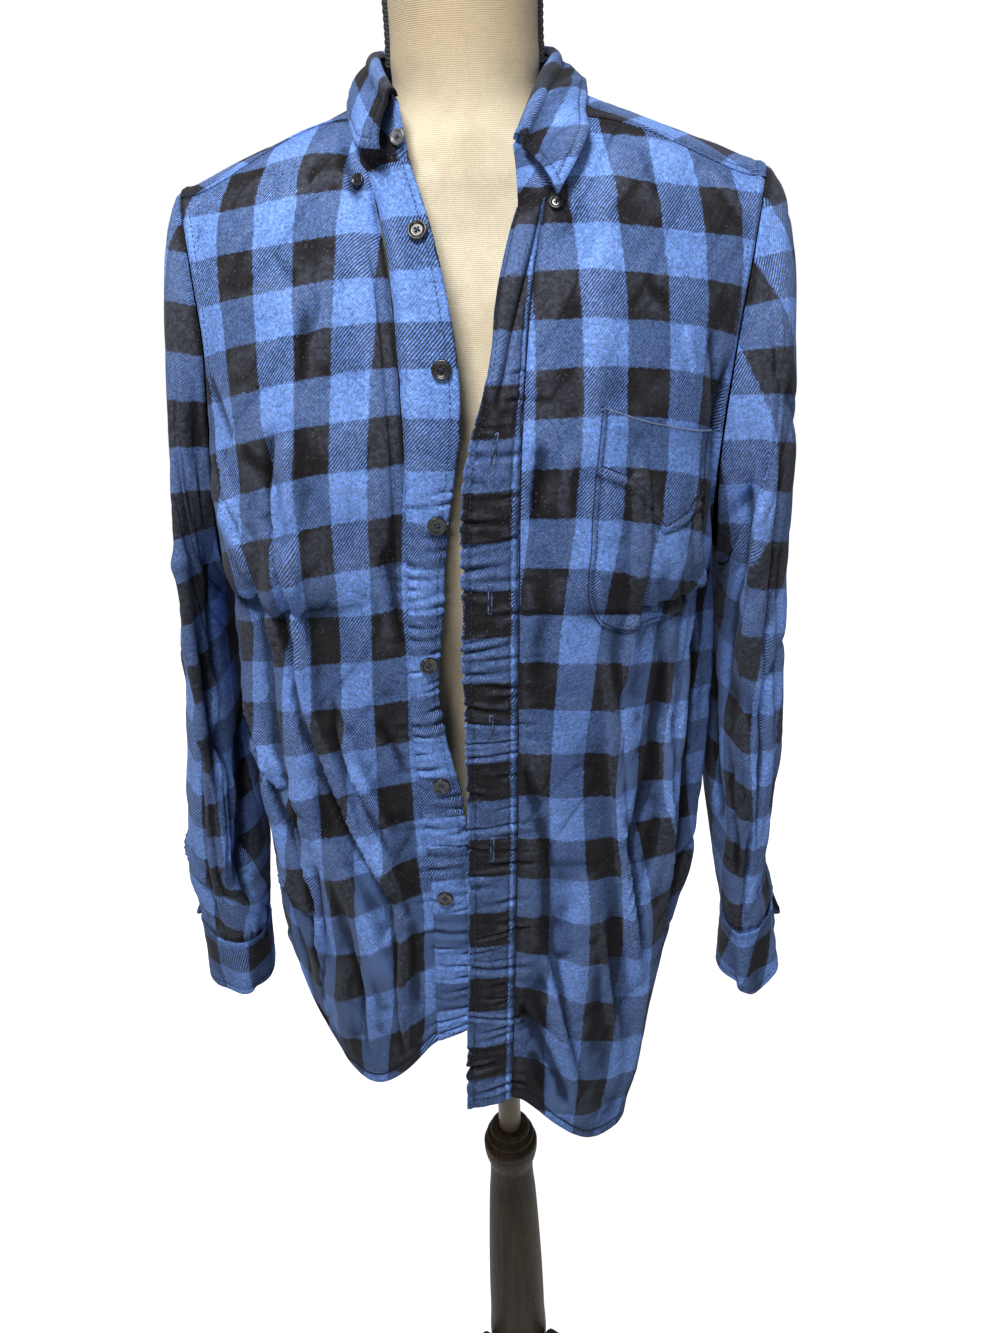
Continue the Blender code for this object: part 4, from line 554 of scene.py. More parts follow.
SLIT_S = 0.66           # where the sleeve's cuff slit lies round the ring
SLIT_R = 0.80           # station where the slit begins
ANGLE = ([0, 0.14, 0.285, 0.43, 0.57, 0.68, 0.785, 0.89, 1.0],
         [0, 0.125, 0.25, 0.375, 0.5, 0.625, 0.75, 0.875, 1.0])

def sleeve_ring(side, s, r):
    tab = SLEEVE_L if side == "left" else SLEEVE_R
    q = spline(tab["r"], col(tab, "ox oz ix iz yf yb yc"), r)
    turn = spline(ANGLE[0], ANGLE[1], np.mod(s, 1.0)) * 2*np.pi
    # c: +1 at the outer point, -1 at the inner point; f: +1 front, -1 back
    c = -np.cos(turn)
    f = np.sin(turn)
    e = 0.95
    c = np.sign(c) * np.abs(c)**e
    f = np.sign(f) * np.abs(f)**e
    x = (q[..., 0] + q[..., 2])/2 + c*(q[..., 0] - q[..., 2])/2
    z = (q[..., 1] + q[..., 3])/2 + c*(q[..., 1] - q[..., 3])/2
    y = np.where(f > 0, q[..., 6] + f*(q[..., 4] - q[..., 6]), q[..., 6] - f*(q[..., 5] - q[..., 6]))
    # towards the cuff the front swings in to the body and the back swings out
    k = (1.0 if side == "left" else -1.0)*0.28*smooth(r, 0.72, 1.0)
    x = x + k*(y - q[..., 6])
    return np.stack([x, y, z], -1)

def sleeve_points(side, s, r, folds=None):
    tab = SLEEVE_L if side == "left" else SLEEVE_R
    p = sleeve_ring(side, s, r)
    a = arm(side, s)
    out = 1.0 if side == "left" else -1.0
    lift = 0.12 + 0.36 * (1 - smooth(np.minimum(np.mod(s, 1), 1 - np.mod(s, 1)), 0.04, 0.22))
    a = a + np.stack([out*lift, 0*lift, 0*lift], -1)
    p0 = sleeve_ring(side, s, 0*r)
    b = np.clip(spline(tab["r"], tab["blend"], r), 0, 1)[..., None]
    p = p + (a - p0) * b
    n = normals(p)
    mid = p.mean(axis=1, keepdims=True)
    n = -n if ((p - mid) * n).sum(-1).mean() < 0 else n
    for t in [SLEEVE_FOLDS_L if side == "left" else SLEEVE_FOLDS_R] + list(folds or []):
        h = fold_height(np.mod(s, 1), r, t, SLEEVE_SCALE) + fold_height(np.mod(s, 1) - 1, r, t, SLEEVE_SCALE) \
            + fold_height(np.mod(s, 1) + 1, r, t, SLEEVE_SCALE)
        p = p + n * (h * smooth(r, 0.0, 0.10) * (1 - 0.5*smooth(r, 0.93, 1.0)))[..., None]
    # the slit spreads towards the cuff
    gap = 0.9 * smooth(r, SLIT_R, 1.0)**1.2
    d = s - SLIT_S
    k = np.where(d < 0.5, np.exp(-(d/0.06)**2), -np.exp(-((1-d)/0.06)**2))
    t = np.gradient(p, axis=1)
    t = t / (np.linalg.norm(t, axis=-1, keepdims=True) + 1e-12)
    return p + t * (k*gap*0.5)[..., None]

# --- cuffs: open bands that hang unfastened, from the slit round to the slit
CUFF_DROP = 6.6
CUFF_FORM_L = table("c out tilt drop swing", [
    ("back end",   0.00,  1.1,  0.9, 6.0, -0.8),
    ("outer back", 0.10,  0.5,  0.5, 6.5, -0.3),
    ("back",       0.24, -0.1,  0.0, 6.6,  0.0),
    ("inner back", 0.40,  0.2, -0.2, 6.4,  0.0),
    ("inner",      0.52, -0.4, -0.6, 6.2,  0.2),
    ("inner front",0.62,  0.0, -0.2, 6.7,  0.3),
    ("front",      0.74, -0.5,  0.6, 7.6,  0.3),
    ("outer front",0.84,  0.7,  0.4, 6.2,  0.2),
    ("fold",       0.92, -0.3,  0.0, 6.6,  0.2),
    ("front end",  1.00,  0.6,  0.6, 6.8,  0.6),
])
CUFF_FORM_R = table("c out tilt drop swing", [
    ("back end",   0.00,  1.3,  1.1, 4.9, -0.6),
    ("outer back", 0.10,  0.7,  0.8, 5.4, -0.2),
    ("back",       0.24, -0.1,  0.1, 6.2,  0.0),
    ("inner back", 0.40,  0.0, -0.4, 6.2,  0.0),
    ("inner",      0.52, -0.4, -0.7, 6.0,  0.1),
    ("inner front",0.62, -0.2, -0.4, 6.2,  0.1),
    ("front",      0.74, -0.5,  0.1, 6.3,  0.1),
    ("outer front",0.84,  0.2,  0.1, 6.2,  0.2),
    ("fold",       0.92, -0.4, -0.1, 5.8,  0.2),
    ("front end",  1.00,  0.0,  0.0, 5.6,  0.4),
])
def cuff_points(side, c, h):
    """Points of a cuff: c from the slit's back edge (0) round to its front edge, h down."""
    tab = CUFF_FORM_L if side == "left" else CUFF_FORM_R
    # the sleeve's end, walked from the slit backwards round the inside to the front
    cc = np.linspace(0, 1, 97)
    s = SLIT_S + cc
    base_line = sleeve_points(side, np.stack([s]*3), np.stack([0*s + 0.96, 0*s + 0.98, 0*s + 1.0]))[-1]
    base = spline(cc, base_line, c)
    q = spline(tab["c"], col(tab, "out tilt drop swing"), c)
    tan = np.gradient(base_line, axis=0)
    tan /= np.linalg.norm(tan, axis=-1, keepdims=True)
    nrm = np.cross(tan, np.array([0, 0, 1.0]))
    nrm /= np.linalg.norm(nrm, axis=-1, keepdims=True)
    mid = base_line.mean(axis=0)
    if ((base_line - mid) * nrm).sum() < 0:
        nrm = -nrm
    tn = spline(cc, tan, c)
    nn = spline(cc, nrm, c)
    nn = nn / np.linalg.norm(nn, axis=-1, keepdims=True)
    start = base + np.array([0, 0, -0.10])
    hh = h[..., None]
    wave = (q[..., 0] * np.sin(0.5*np.pi*np.clip(h, 0, 1)) + q[..., 1] * h**2)
    p = start + nn * wave[..., None] + tn * (q[..., 3] * h**1.4)[..., None]
    p[..., 2] -= q[..., 2] * h
    return p

# --- collar: a stand that follows the neck seam and a leaf that falls from its top
COLLAR = table("c t sx sy sz fx fy fz ux uy", [
    # label          c     t      stand's top          leaf's edge          roll of the fold
    ("tip right",    0.00, 0.000, -4.1, -5.8, 144.2, -5.1, -8.1, 141.6, -0.50, -0.75),
    ("point right",  0.06, 0.045, -4.7, -4.0, 145.1, -6.3, -6.9, 141.8, -0.62, -0.62),
    ("front right",  0.13, 0.120, -5.2, -2.0, 146.1, -7.1, -4.4, 142.8, -0.70, -0.38),
    ("side right",   0.22, 0.200, -5.5,  0.9, 146.8, -7.5, -1.2, 144.45, -0.75, -0.15),
    ("quarter right",0.36, 0.360, -4.4,  4.6, 147.3, -6.5,  6.0, 146.2, -0.68,  0.55),
    ("back",         0.50, 0.500,  0.0,  6.4, 147.6,  0.0,  8.6, 146.0,  0.00,  0.95),
    ("quarter left", 0.64, 0.640,  4.5,  4.7, 147.3,  6.5,  6.0, 146.2,  0.66,  0.55),
    ("side left",    0.76, 0.760,  5.5,  1.2, 146.6,  7.75,  1.2, 145.25,  0.72,  0.00),
    ("front left",   0.86, 0.850,  4.5, -3.5, 145.0,  7.3, -3.9, 143.5,  0.65, -0.50),
    ("point left",   0.94, 0.920,  3.7, -5.7, 143.5,  6.9, -7.8, 141.6,  0.60, -0.70),
    ("tip left",     1.00, 1.000,  2.8, -7.4, 141.6,  5.2,-10.0, 138.9,  0.50, -0.80),
])
def stand_points(c, h):
    """Collar stand: c round the neck, h from the seam (0) to the fold (1)."""
    base = neck(spline(COLLAR["c"], COLLAR["t"], c)) + np.array([0, 0, 0.15])
    top = spline(COLLAR["c"], col(COLLAR, "sx sy sz"), c)
    lean = np.stack([h**1.3, h**1.3, h], -1)
    return base + (top - base) * lean
def leaf_points(c, h):
    """Collar leaf: c round the neck, h from the fold (0) over and down to its edge (1)."""
    top = spline(COLLAR["c"], col(COLLAR, "sx sy sz"), c)
    end = spline(COLLAR["c"], col(COLLAR, "fx fy fz"), c)
    o = spline(COLLAR["c"], col(COLLAR, "ux uy"), c)
    o3 = np.concatenate([o, 0*o[..., :1]], -1)
    start = top + np.array([0, 0, 0.24]) + o3*0.05
    a = start + np.array([0, 0, 0.50]) + o3*0.15
    b = start + o3*0.85 + np.array([0, 0, 0.40])
    knee = start + o3*1.00 + np.array([0, 0, -0.40])
    # over the fold, then down to the edge
    k = 0.26
    first = bezier(start, a, b, knee, np.clip(h/k, 0, 1))
    u2 = np.clip((h-k)/(1-k), 0, 1)[..., None]
    second = knee*(1-u2) + end*u2 + o3*0.40*4*u2*(1-u2)
    return np.where((h <= k)[..., None], first, second)

# --- pocket: a patch on the wearer's left front, given in that front's own stations
POCKET = table("d u0 u1 v0 v1", [
    ("top edge",  0.00, 0.32, 0.86, 0.218, 0.238),
    ("facing",    0.20, 0.31, 0.84, 0.248, 0.266),
    ("middle",    0.55, 0.28, 0.79, 0.306, 0.318),
    ("low",       0.85, 0.27, 0.73, 0.356, 0.360),
    ("corner",    0.95, 0.31, 0.68, 0.372, 0.373),
    ("bottom",    1.00, 0.38, 0.60, 0.379, 0.378),
])
def pocket_stations(a, d):
    u0, u1 = spline(POCKET["d"], POCKET["u0"], d), spline(POCKET["d"], POCKET["u1"], d)
    v0, v1 = spline(POCKET["d"], POCKET["v0"], d), spline(POCKET["d"], POCKET["v1"], d)
    return u0 + (u1 - u0)*a, v0 + (v1 - v0)*a

# ---------------------------------------------------------------------------
# Finer creases, charted in the same stations as the coarse ones.
# h and w are centimetres; h above zero is a ridge, below zero a trough.
# ---------------------------------------------------------------------------
FINE_R = table("u0 v0 u1 v1 w h pow lean", [
    ("long ridge a", 0.475, 0.242, 0.442, 0.300, 0.75, 0.55, 1.7, 0.3),
    ("long ridge b", 0.442, 0.296, 0.433, 0.454, 0.70, 0.60, 1.7, 0.3),
    ("long ridge c", 0.433, 0.442, 0.458, 0.646, 0.75, 0.50, 1.7, 0.2),
    ("valley a", 0.583, 0.237, 0.458, 0.317, 0.85, -0.55, 1.8, 0),
    ("valley b", 0.483, 0.317, 0.467, 0.442, 0.75, -0.45, 1.8, 0),
    ("diag a", 0.708, 0.250, 0.525, 0.271, 0.45, -0.28, 1.6, 0),
    ("diag b", 0.875, 0.287, 0.608, 0.308, 0.50, -0.32, 1.6, 0),
    ("diag c", 0.600, 0.287, 0.458, 0.317, 0.45, -0.30, 1.6, 0),
    ("diag d", 0.800, 0.321, 0.525, 0.367, 0.50, -0.34, 1.6, 0),
    ("diag e", 0.533, 0.362, 0.433, 0.408, 0.42, -0.28, 1.6, 0),
    ("long diag a", 0.758, 0.467, 0.833, 0.558, 0.60, -0.55, 1.6, 0),
    ("long diag b", 0.833, 0.554, 0.458, 0.613, 0.55, -0.50, 1.6, 0),
    ("long diag ridge", 0.958, 0.504, 0.475, 0.579, 0.60, 0.35, 1.8, 0),
    ("band crease a", 0.108, 0.321, 0.058, 0.358, 0.45, -0.30, 1.6, 0),
    ("band crease b", 0.075, 0.354, 0.000, 0.408, 0.45, -0.34, 1.6, 0),
    ("mid crease", 0.300, 0.458, 0.250, 0.500, 0.35, -0.20, 1.6, 0),
    ("low crease x", 0.142, 0.479, 0.050, 0.550, 0.45, -0.25, 1.6, 0),
    ("low ridge a", 0.258, 0.533, 0.208, 0.650, 0.60, 0.50, 1.7, 0),
    ("low ridge b", 0.208, 0.637, 0.142, 0.746, 0.55, 0.60, 1.6, 0),
    ("pinch", 0.175, 0.708, 0.117, 0.754, 0.50, -0.55, 1.6, 0),
    ("pinch b", 0.125, 0.733, 0.225, 0.792, 0.70, 0.30, 1.8, 0),
    ("pinch c", 0.158, 0.771, 0.208, 0.946, 0.80, 0.35, 1.8, 0),
    ("pinch low", 0.108, 0.767, 0.108, 0.912, 0.60, -0.35, 1.8, 0),
    ("crease left", 0.475, 0.588, 0.483, 0.667, 0.45, -0.40, 1.6, 0),
    ("crease left b", 0.475, 0.662, 0.517, 0.796, 0.50, -0.45, 1.6, 0),
    ("crease left c", 0.508, 0.787, 0.683, 0.938, 0.50, -0.35, 1.6, 0),
    ("ridge left low", 0.425, 0.658, 0.467, 0.796, 0.60, 0.35, 1.8, 0),
    ("hem ridge", 0.425, 0.792, 0.583, 1.000, 1.0, 0.35, 2.0, 0),
    ("hip diag", 0.658, 0.671, 0.575, 0.871, 0.60, -0.30, 1.8, 0),
    ("shoulder a", 0.217, 0.062, 0.292, 0.087, 0.35, -0.15, 1.6, 0),
    ("shoulder b", 0.500, 0.121, 0.400, 0.150, 0.35, -0.14, 1.6, 0),
    ("collar ridge", 0.067, 0.104, 0.058, 0.154, 0.40, 0.20, 1.6, 0),
    ("chest ridge", 0.242, 0.142, 0.308, 0.204, 0.80, 0.25, 2.0, 0),
    ("chest valley", 0.375, 0.163, 0.417, 0.221, 0.80, -0.20, 2.0, 0),
    ("roll a", 0.000, 0.071, 0.000, 0.154, 0.45, -0.45, 1.6, -0.3),
    ("roll b", 0.000, 0.154, 0.000, 0.229, 0.40, -0.40, 1.6, -0.3),
    ("arm a", 1.000, 0.192, 0.767, 0.246, 0.60, -0.30, 1.8, 0),
    ("arm b", 1.000, 0.275, 0.700, 0.321, 0.60, 0.28, 1.8, 0),
    ("arm c", 0.883, 0.383, 0.958, 0.504, 0.60, 0.30, 1.8, 0),
])
FINE_L = table("u0 v0 u1 v1 w h pow lean", [
    ("pocket ridge a", 0.475, 0.250, 0.433, 0.350, 0.45, 0.30, 1.5, 0),
    ("pocket ridge b", 0.425, 0.350, 0.367, 0.446, 0.55, 0.50, 1.6, 0.2),
    ("pocket ridge c", 0.367, 0.433, 0.417, 0.633, 0.60, 0.70, 1.6, 0.3),
    ("pocket valley", 0.558, 0.400, 0.508, 0.546, 0.70, -0.60, 1.8, 0),
    ("pocket valley b", 0.508, 0.533, 0.433, 0.637, 0.60, -0.60, 1.8, 0),
    ("long low a", 0.408, 0.621, 0.475, 0.742, 0.55, 0.65, 1.6, 0),
    ("long low b", 0.467, 0.729, 0.517, 0.804, 0.50, 0.45, 1.6, 0),
    ("side v a", 0.683, 0.375, 0.567, 0.529, 0.60, -0.45, 1.8, 0),
    ("ridge b", 0.558, 0.362, 0.558, 0.479, 0.50, 0.35, 1.7, 0),
    ("ridge c", 0.725, 0.321, 0.783, 0.446, 0.45, 0.40, 1.6, 0),
    ("ridge d", 0.783, 0.438, 0.775, 0.583, 0.50, 0.40, 1.7, 0),
    ("side valley", 0.633, 0.325, 0.600, 0.462, 0.50, -0.45, 1.7, 0),
    ("side low a", 0.975, 0.675, 0.558, 0.738, 0.55, -0.35, 1.8, 0),
    ("side low b", 0.950, 0.838, 0.542, 0.779, 0.40, -0.25, 1.8, 0),
    ("side low c", 0.592, 0.567, 0.525, 0.696, 0.60, 0.35, 1.8, 0),
    ("armhole ridge", 0.667, 0.158, 0.750, 0.200, 0.40, 0.22, 1.6, 0),
    ("armhole val", 0.808, 0.158, 0.900, 0.217, 0.50, -0.35, 1.8, 0),
    ("placket dip", 0.100, 0.242, 0.042, 0.296, 0.90, -0.35, 2.0, 0),
    ("placket dip b", 0.217, 0.242, 0.167, 0.292, 0.80, 0.20, 2.0, 0),
    ("dark mark", 0.475, 0.133, 0.583, 0.146, 0.30, -0.18, 1.5, 0),
    ("shoulder a", 0.467, 0.000, 0.567, 0.029, 0.40, 0.18, 1.6, 0),
    ("shoulder b", 0.683, 0.013, 0.892, 0.050, 0.40, 0.20, 1.6, 0),
    ("shoulder c", 0.350, 0.025, 0.475, 0.062, 0.50, -0.14, 1.8, 0),
    ("low placket", 0.000, 0.500, 0.100, 0.567, 0.70, -0.35, 1.8, 0),
    ("low placket b", 0.092, 0.562, 0.142, 0.633, 0.70, -0.35, 1.8, 0),
    ("low placket c", 0.117, 0.625, 0.142, 0.754, 0.80, -0.30, 1.8, 0),
    ("hem fold a", 0.017, 0.817, 0.158, 0.887, 0.60, -0.70, 1.6, -0.3),
    ("hem fold b", 0.150, 0.879, 0.283, 0.963, 0.60, -0.70, 1.6, -0.3),
    ("hem fold ridge", 0.125, 0.792, 0.242, 0.879, 0.80, 0.45, 1.8, 0),
    ("hem pocket low", 0.092, 0.900, 0.175, 0.963, 0.80, -0.30, 1.8, 0),
    ("mid ridge", 0.283, 0.637, 0.283, 0.821, 1.2, 0.30, 2.0, 0),
    ("mid valley", 0.108, 0.321, 0.075, 0.429, 1.0, -0.20, 2.0, 0),
    ("right low", 0.467, 0.821, 0.492, 0.958, 1.0, 0.35, 2.0, 0),
    ("right low b", 0.350, 0.754, 0.367, 0.896, 0.7, -0.20, 2.0, 0),
])
FINE_SL = table("u0 v0 u1 v1 w h pow lean", [
    ("ridge main", 0.310, 0.069, 0.235, 0.175, 0.65, 0.50, 1.6, 0),
    ("ridge main b", 0.235, 0.156, 0.216, 0.338, 0.65, 0.50, 1.6, 0),
    ("ridge main c", 0.216, 0.319, 0.216, 0.475, 0.65, 0.45, 1.6, 0),
    ("valley in", 0.210, 0.056, 0.110, 0.294, 0.80, -0.60, 1.8, 0),
    ("valley in b", 0.104, 0.263, 0.110, 0.494, 0.80, -0.50, 1.8, 0),
    ("valley out", 0.316, 0.119, 0.610, 0.450, 0.55, -0.35, 1.7, 0),
    ("valley out b", 0.610, 0.450, 0.291, 0.519, 0.50, -0.35, 1.7, 0),
    ("elbow a", 0.110, 0.006, 0.204, 0.119, 0.40, -0.30, 1.6, 0),
    ("elbow b", 0.004, 0.144, 0.147, 0.106, 0.45, -0.25, 1.6, 0),
    ("low ridge", 0.210, 0.525, 0.323, 0.800, 0.60, 0.40, 1.8, 0),
    ("low valley", 0.141, 0.556, 0.210, 0.831, 0.60, -0.35, 1.8, 0),
    ("low val b", 0.585, 0.706, 0.397, 0.913, 0.45, -0.40, 1.7, 0),
    ("cap crease a", 0.616, 0.081, 0.498, 0.075, 0.30, -0.20, 1.6, 0),
    ("cap ridge", 0.423, 0.038, 0.329, 0.100, 0.50, 0.30, 1.8, 0),
    ("inner deep", 0.000, 0.420, 0.100, 0.740, 1.10, -0.80, 2.0, 0.0),
    ("front long", 0.220, 0.340, 0.330, 0.840, 0.65, 0.55, 1.5, 0.2),
    ("outer long", 0.380, 0.360, 0.440, 0.840, 0.55, -0.50, 1.7, 0.0),
])
FINE_SR = table("u0 v0 u1 v1 w h pow lean", [
    ("ridge a", 0.404, 0.031, 0.248, 0.081, 0.60, 0.35, 1.8, 0),
    ("valley a", 0.360, 0.006, 0.166, 0.056, 0.55, -0.40, 1.8, 0),
    ("ridge b", 0.216, 0.219, 0.591, 0.581, 0.60, 0.35, 1.8, 0),
    ("valley b", 0.129, 0.106, 0.129, 0.456, 0.60, -0.40, 1.8, 0),
    ("diag a", 0.323, 0.488, 0.248, 0.600, 0.40, 0.40, 1.5, 0),
    ("diag b", 0.248, 0.450, 0.147, 0.575, 0.50, -0.35, 1.6, 0),
    ("ridge c", 0.166, 0.525, 0.223, 0.788, 0.50, 0.55, 1.6, 0),
    ("ridge d", 0.579, 0.731, 0.323, 0.844, 0.45, 0.45, 1.6, 0),
    ("valley c", 0.266, 0.581, 0.285, 0.838, 0.45, -0.45, 1.7, 0),
    ("low dark", 0.091, 0.531, 0.173, 0.863, 0.60, -0.55, 1.8, 0),
    ("inner deep", 0.020, 0.480, 0.135, 0.790, 1.30, -1.00, 2.0, 0.0),
    ("front edge", 0.160, 0.440, 0.260, 0.800, 0.55, 0.45, 1.5, 0.3),
    ("outer long", 0.320, 0.450, 0.360, 0.860, 0.50, -0.40, 1.7, 0.0),
])

# long folds: slow side, steep side, height, trough beside it, then v and u along it
LONG_R = [
    ("fold a", 0.80, 0.42, 0.75, 0.60, [(0.318, 0.417), (0.341, 0.427), (0.395, 0.417), (0.452, 0.417), (0.512, 0.369), (0.575, 0.320), (0.639, 0.262), (0.702, 0.165), (0.766, 0.155)]),
    ("fold b", 0.70, 0.42, 0.70, 0.60, [(0.431, 0.913), (0.472, 0.748), (0.528, 0.680), (0.595, 0.621), (0.652, 0.563), (0.706, 0.515), (0.806, 0.544), (0.870, 0.544)]),
    ("fold c", 0.55, 0.35, 0.55, 0.45, [(0.605, 0.709), (0.709, 0.786), (0.736, 0.592), (0.826, 0.592), (0.893, 0.573)]),
    ("fold d", 0.60, 0.35, 0.50, 0.45, [(0.251, 0.951), (0.284, 0.767), (0.318, 0.631), (0.351, 0.573), (0.398, 0.495)]),
    ("fold e", 0.60, 0.35, 0.45, 0.40, [(0.264, 0.524), (0.294, 0.553), (0.321, 0.456), (0.348, 0.427)]),
    ("fold f", 0.50, 0.32, 0.40, 0.35, [(0.455, 0.282), (0.532, 0.272), (0.592, 0.194), (0.652, 0.146)]),
    ("fold g", 0.60, 0.40, 0.45, 0.35, [(0.759, 0.359), (0.843, 0.330), (0.940, 0.388)]),
    ("fold h", 0.50, 0.35, 0.40, 0.35, [(0.742, 0.155), (0.809, 0.155), (0.893, 0.184), (0.970, 0.194)]),
]

# long folds: slow side, steep side, height, trough beside it, then v and u along it
LONG_L = [
    ("fold a", 0.80, 0.42, 0.70, 0.75, [(0.385, 0.311), (0.441, 0.340), (0.515, 0.359), (0.612, 0.398), (0.716, 0.456), (0.809, 0.524)]),
    ("fold b", 0.60, 0.40, 0.55, 0.50, [(0.462, 0.563), (0.525, 0.573), (0.615, 0.592), (0.712, 0.621)]),
    ("fold c", 0.55, 0.35, 0.35, 0.35, [(0.261, 0.476), (0.294, 0.515), (0.331, 0.447), (0.388, 0.388)]),
    ("fold d", 0.60, 0.40, 0.50, 0.40, [(0.726, 0.117), (0.806, 0.184), (0.870, 0.233), (0.930, 0.301)]),
    ("fold e", 0.50, 0.35, 0.40, 0.40, [(0.268, 0.757), (0.318, 0.738), (0.381, 0.728), (0.428, 0.641)]),
    ("fold f", 0.60, 0.40, 0.40, 0.35, [(0.702, 0.340), (0.783, 0.388), (0.873, 0.466)]),
]

FINE_B = table("u0 v0 u1 v1 w h pow lean", [
    ("blade left a",   0.62, 0.03,  0.40, 0.24, 0.60, -0.35, 1.7, 0),
    ("blade left b",   0.50, 0.10,  0.36, 0.38, 0.55,  0.40, 1.7, 0),
    ("blade right a", -0.60, 0.02, -0.36, 0.26, 0.60, -0.38, 1.7, 0),
    ("blade right b", -0.46, 0.12, -0.30, 0.36, 0.55,  0.36, 1.7, 0),
    ("arm drag left",  0.96, 0.16,  0.58, 0.30, 0.50, -0.32, 1.6, 0),
    ("arm drag left b",0.94, 0.26,  0.60, 0.36, 0.50,  0.28, 1.6, 0),
    ("arm drag right",-0.96, 0.18, -0.62, 0.28, 0.50, -0.30, 1.6, 0),
    ("arm drag right b",-0.95,0.28,-0.56, 0.37, 0.50,  0.30, 1.6, 0),
    ("centre a",      -0.04, 0.06, -0.02, 0.42, 0.50,  0.45, 1.6, 0.2),
    ("centre b",       0.06, 0.38,  0.03, 0.82, 0.60,  0.40, 1.6, 0),
    ("centre c",      -0.08, 0.50, -0.12, 0.96, 0.60, -0.40, 1.7, 0),
    ("waist a",        0.30, 0.46,  0.12, 0.58, 0.45, -0.30, 1.6, 0),
    ("waist b",       -0.22, 0.44, -0.40, 0.56, 0.45, -0.32, 1.6, 0),
    ("waist c",        0.70, 0.50,  0.42, 0.60, 0.50, -0.34, 1.6, 0),
    ("waist d",       -0.78, 0.52, -0.50, 0.64, 0.50, -0.30, 1.6, 0),
    ("hip a",          0.34, 0.60,  0.30, 0.96, 0.60,  0.45, 1.7, 0),
    ("hip b",         -0.30, 0.58, -0.26, 0.97, 0.60,  0.40, 1.7, 0),
    ("hip c",          0.52, 0.64,  0.48, 0.95, 0.55, -0.45, 1.7, 0),
    ("hip d",         -0.54, 0.62, -0.50, 0.94, 0.55, -0.42, 1.7, 0),
    ("side a",         0.78, 0.40,  0.74, 0.74, 0.60,  0.35, 1.7, 0),
    ("side b",        -0.80, 0.40, -0.72, 0.80, 0.60,  0.40, 1.7, 0),
    ("hem pinch a",    0.10, 0.86,  0.18, 1.00, 0.80,  0.30, 1.8, 0),
    ("hem pinch b",   -0.18, 0.84, -0.10, 1.00, 0.80, -0.30, 1.8, 0),
    ("shoulder flat",  0.20, 0.03,  0.00, 0.08, 0.35, -0.15, 1.6, 0),
])
# creases of the sleeves' backs and outer sides, where the photo does not look
FINE_SB = table("u0 v0 u1 v1 w h pow lean", [
    ("back elbow a",  0.62, 0.40, 0.80, 0.50, 0.50, -0.35, 1.6, 0),
    ("back elbow b",  0.66, 0.52, 0.86, 0.58, 0.50, -0.32, 1.6, 0),
    ("back long a",   0.70, 0.10, 0.66, 0.44, 0.60,  0.40, 1.7, 0),
    ("back long b",   0.80, 0.20, 0.74, 0.62, 0.60, -0.40, 1.7, 0),
    ("back low a",    0.74, 0.60, 0.70, 0.96, 0.55,  0.40, 1.7, 0),
    ("back low b",    0.84, 0.62, 0.88, 0.96, 0.55, -0.40, 1.7, 0),
    ("under a",       0.94, 0.08, 0.80, 0.16, 0.45, -0.35, 1.6, 0),
    ("under b",       0.04, 0.20, 0.96, 0.30, 0.45, -0.10, 1.6, 0),
    ("cap back",      0.60, 0.04, 0.70, 0.12, 0.45, -0.22, 1.6, 0),
])

def noise(x, y, seed, cell):
    """Smooth uneven values between -1 and 1, one cell centimetres across."""
    g = np.random.RandomState(seed).uniform(-1, 1, (61, 61))
    a, b = np.asarray(x)/cell, np.asarray(y)/cell
    i, j = np.floor(a).astype(int), np.floor(b).astype(int)
    f, k = a - i, b - j
    f, k = f*f*(3 - 2*f), k*k*(3 - 2*k)
    q = lambda m, n: g[m % 61, n % 61]
    return (q(i, j)*(1-f) + q(i+1, j)*f)*(1-k) + (q(i, j+1)*(1-f) + q(i+1, j+1)*f)*k

def crumple(x, y, seed, strength=1.0):
    """Small worn-in unevenness of soft flannel, centimetres."""
    turn = math.radians(34)
    a = x*math.cos(turn) + y*math.sin(turn)
    b = -x*math.sin(turn) + y*math.cos(turn)
    h = 0.110*noise(x, y, seed, 4.1) + 0.060*noise(a, b*0.55, seed + 1, 1.9)
    h = h + 0.016*noise(a, b, seed + 2, 0.8)
    for n, cell in ((3, 3.3), (4, 2.2)):
        r = 1 - np.abs(noise(a*1.2, b*0.5, seed + n, cell))
        h = h - (0.095 if n == 3 else 0.050) * r**7
    return h * strength

def long_folds(u, v, rows, scale):
    """Height of long folds: a gentle slope on one side, a steep one with a trough on the other."""
    h = np.zeros(u.shape)
    for label, slow, fast, rise, trough, line in rows:
        k = np.array([p[0] for p in line])
        c = np.array([p[1] for p in line])
        mid = spline(k, c, np.clip(v[:, 0], k[0], k[-1]))
        mid = np.convolve(np.pad(mid, 9, mode="edge"), np.ones(19)/19.0, mode="valid")
        slope = np.gradient(mid, v[:, 0])*scale[0]/scale[1]
        x = (u - mid[:, None])*scale[0]/np.sqrt(1 + slope[:, None]**2)
        span = k[-1] - k[0]
        w = smooth(v, k[0] - 0.02, k[0] + 0.30*span)*(1 - smooth(v, k[-1] - 0.30*span, k[-1] + 0.02))
        f = np.where(x < 0, np.exp(-np.abs(x/slow)**1.15), np.exp(-np.abs(x/fast)**1.7))
        g = np.exp(-np.abs((x - 1.9*fast)/(0.95*fast))**2)
        h = h + w*(rise*f - trough*g)
    return h

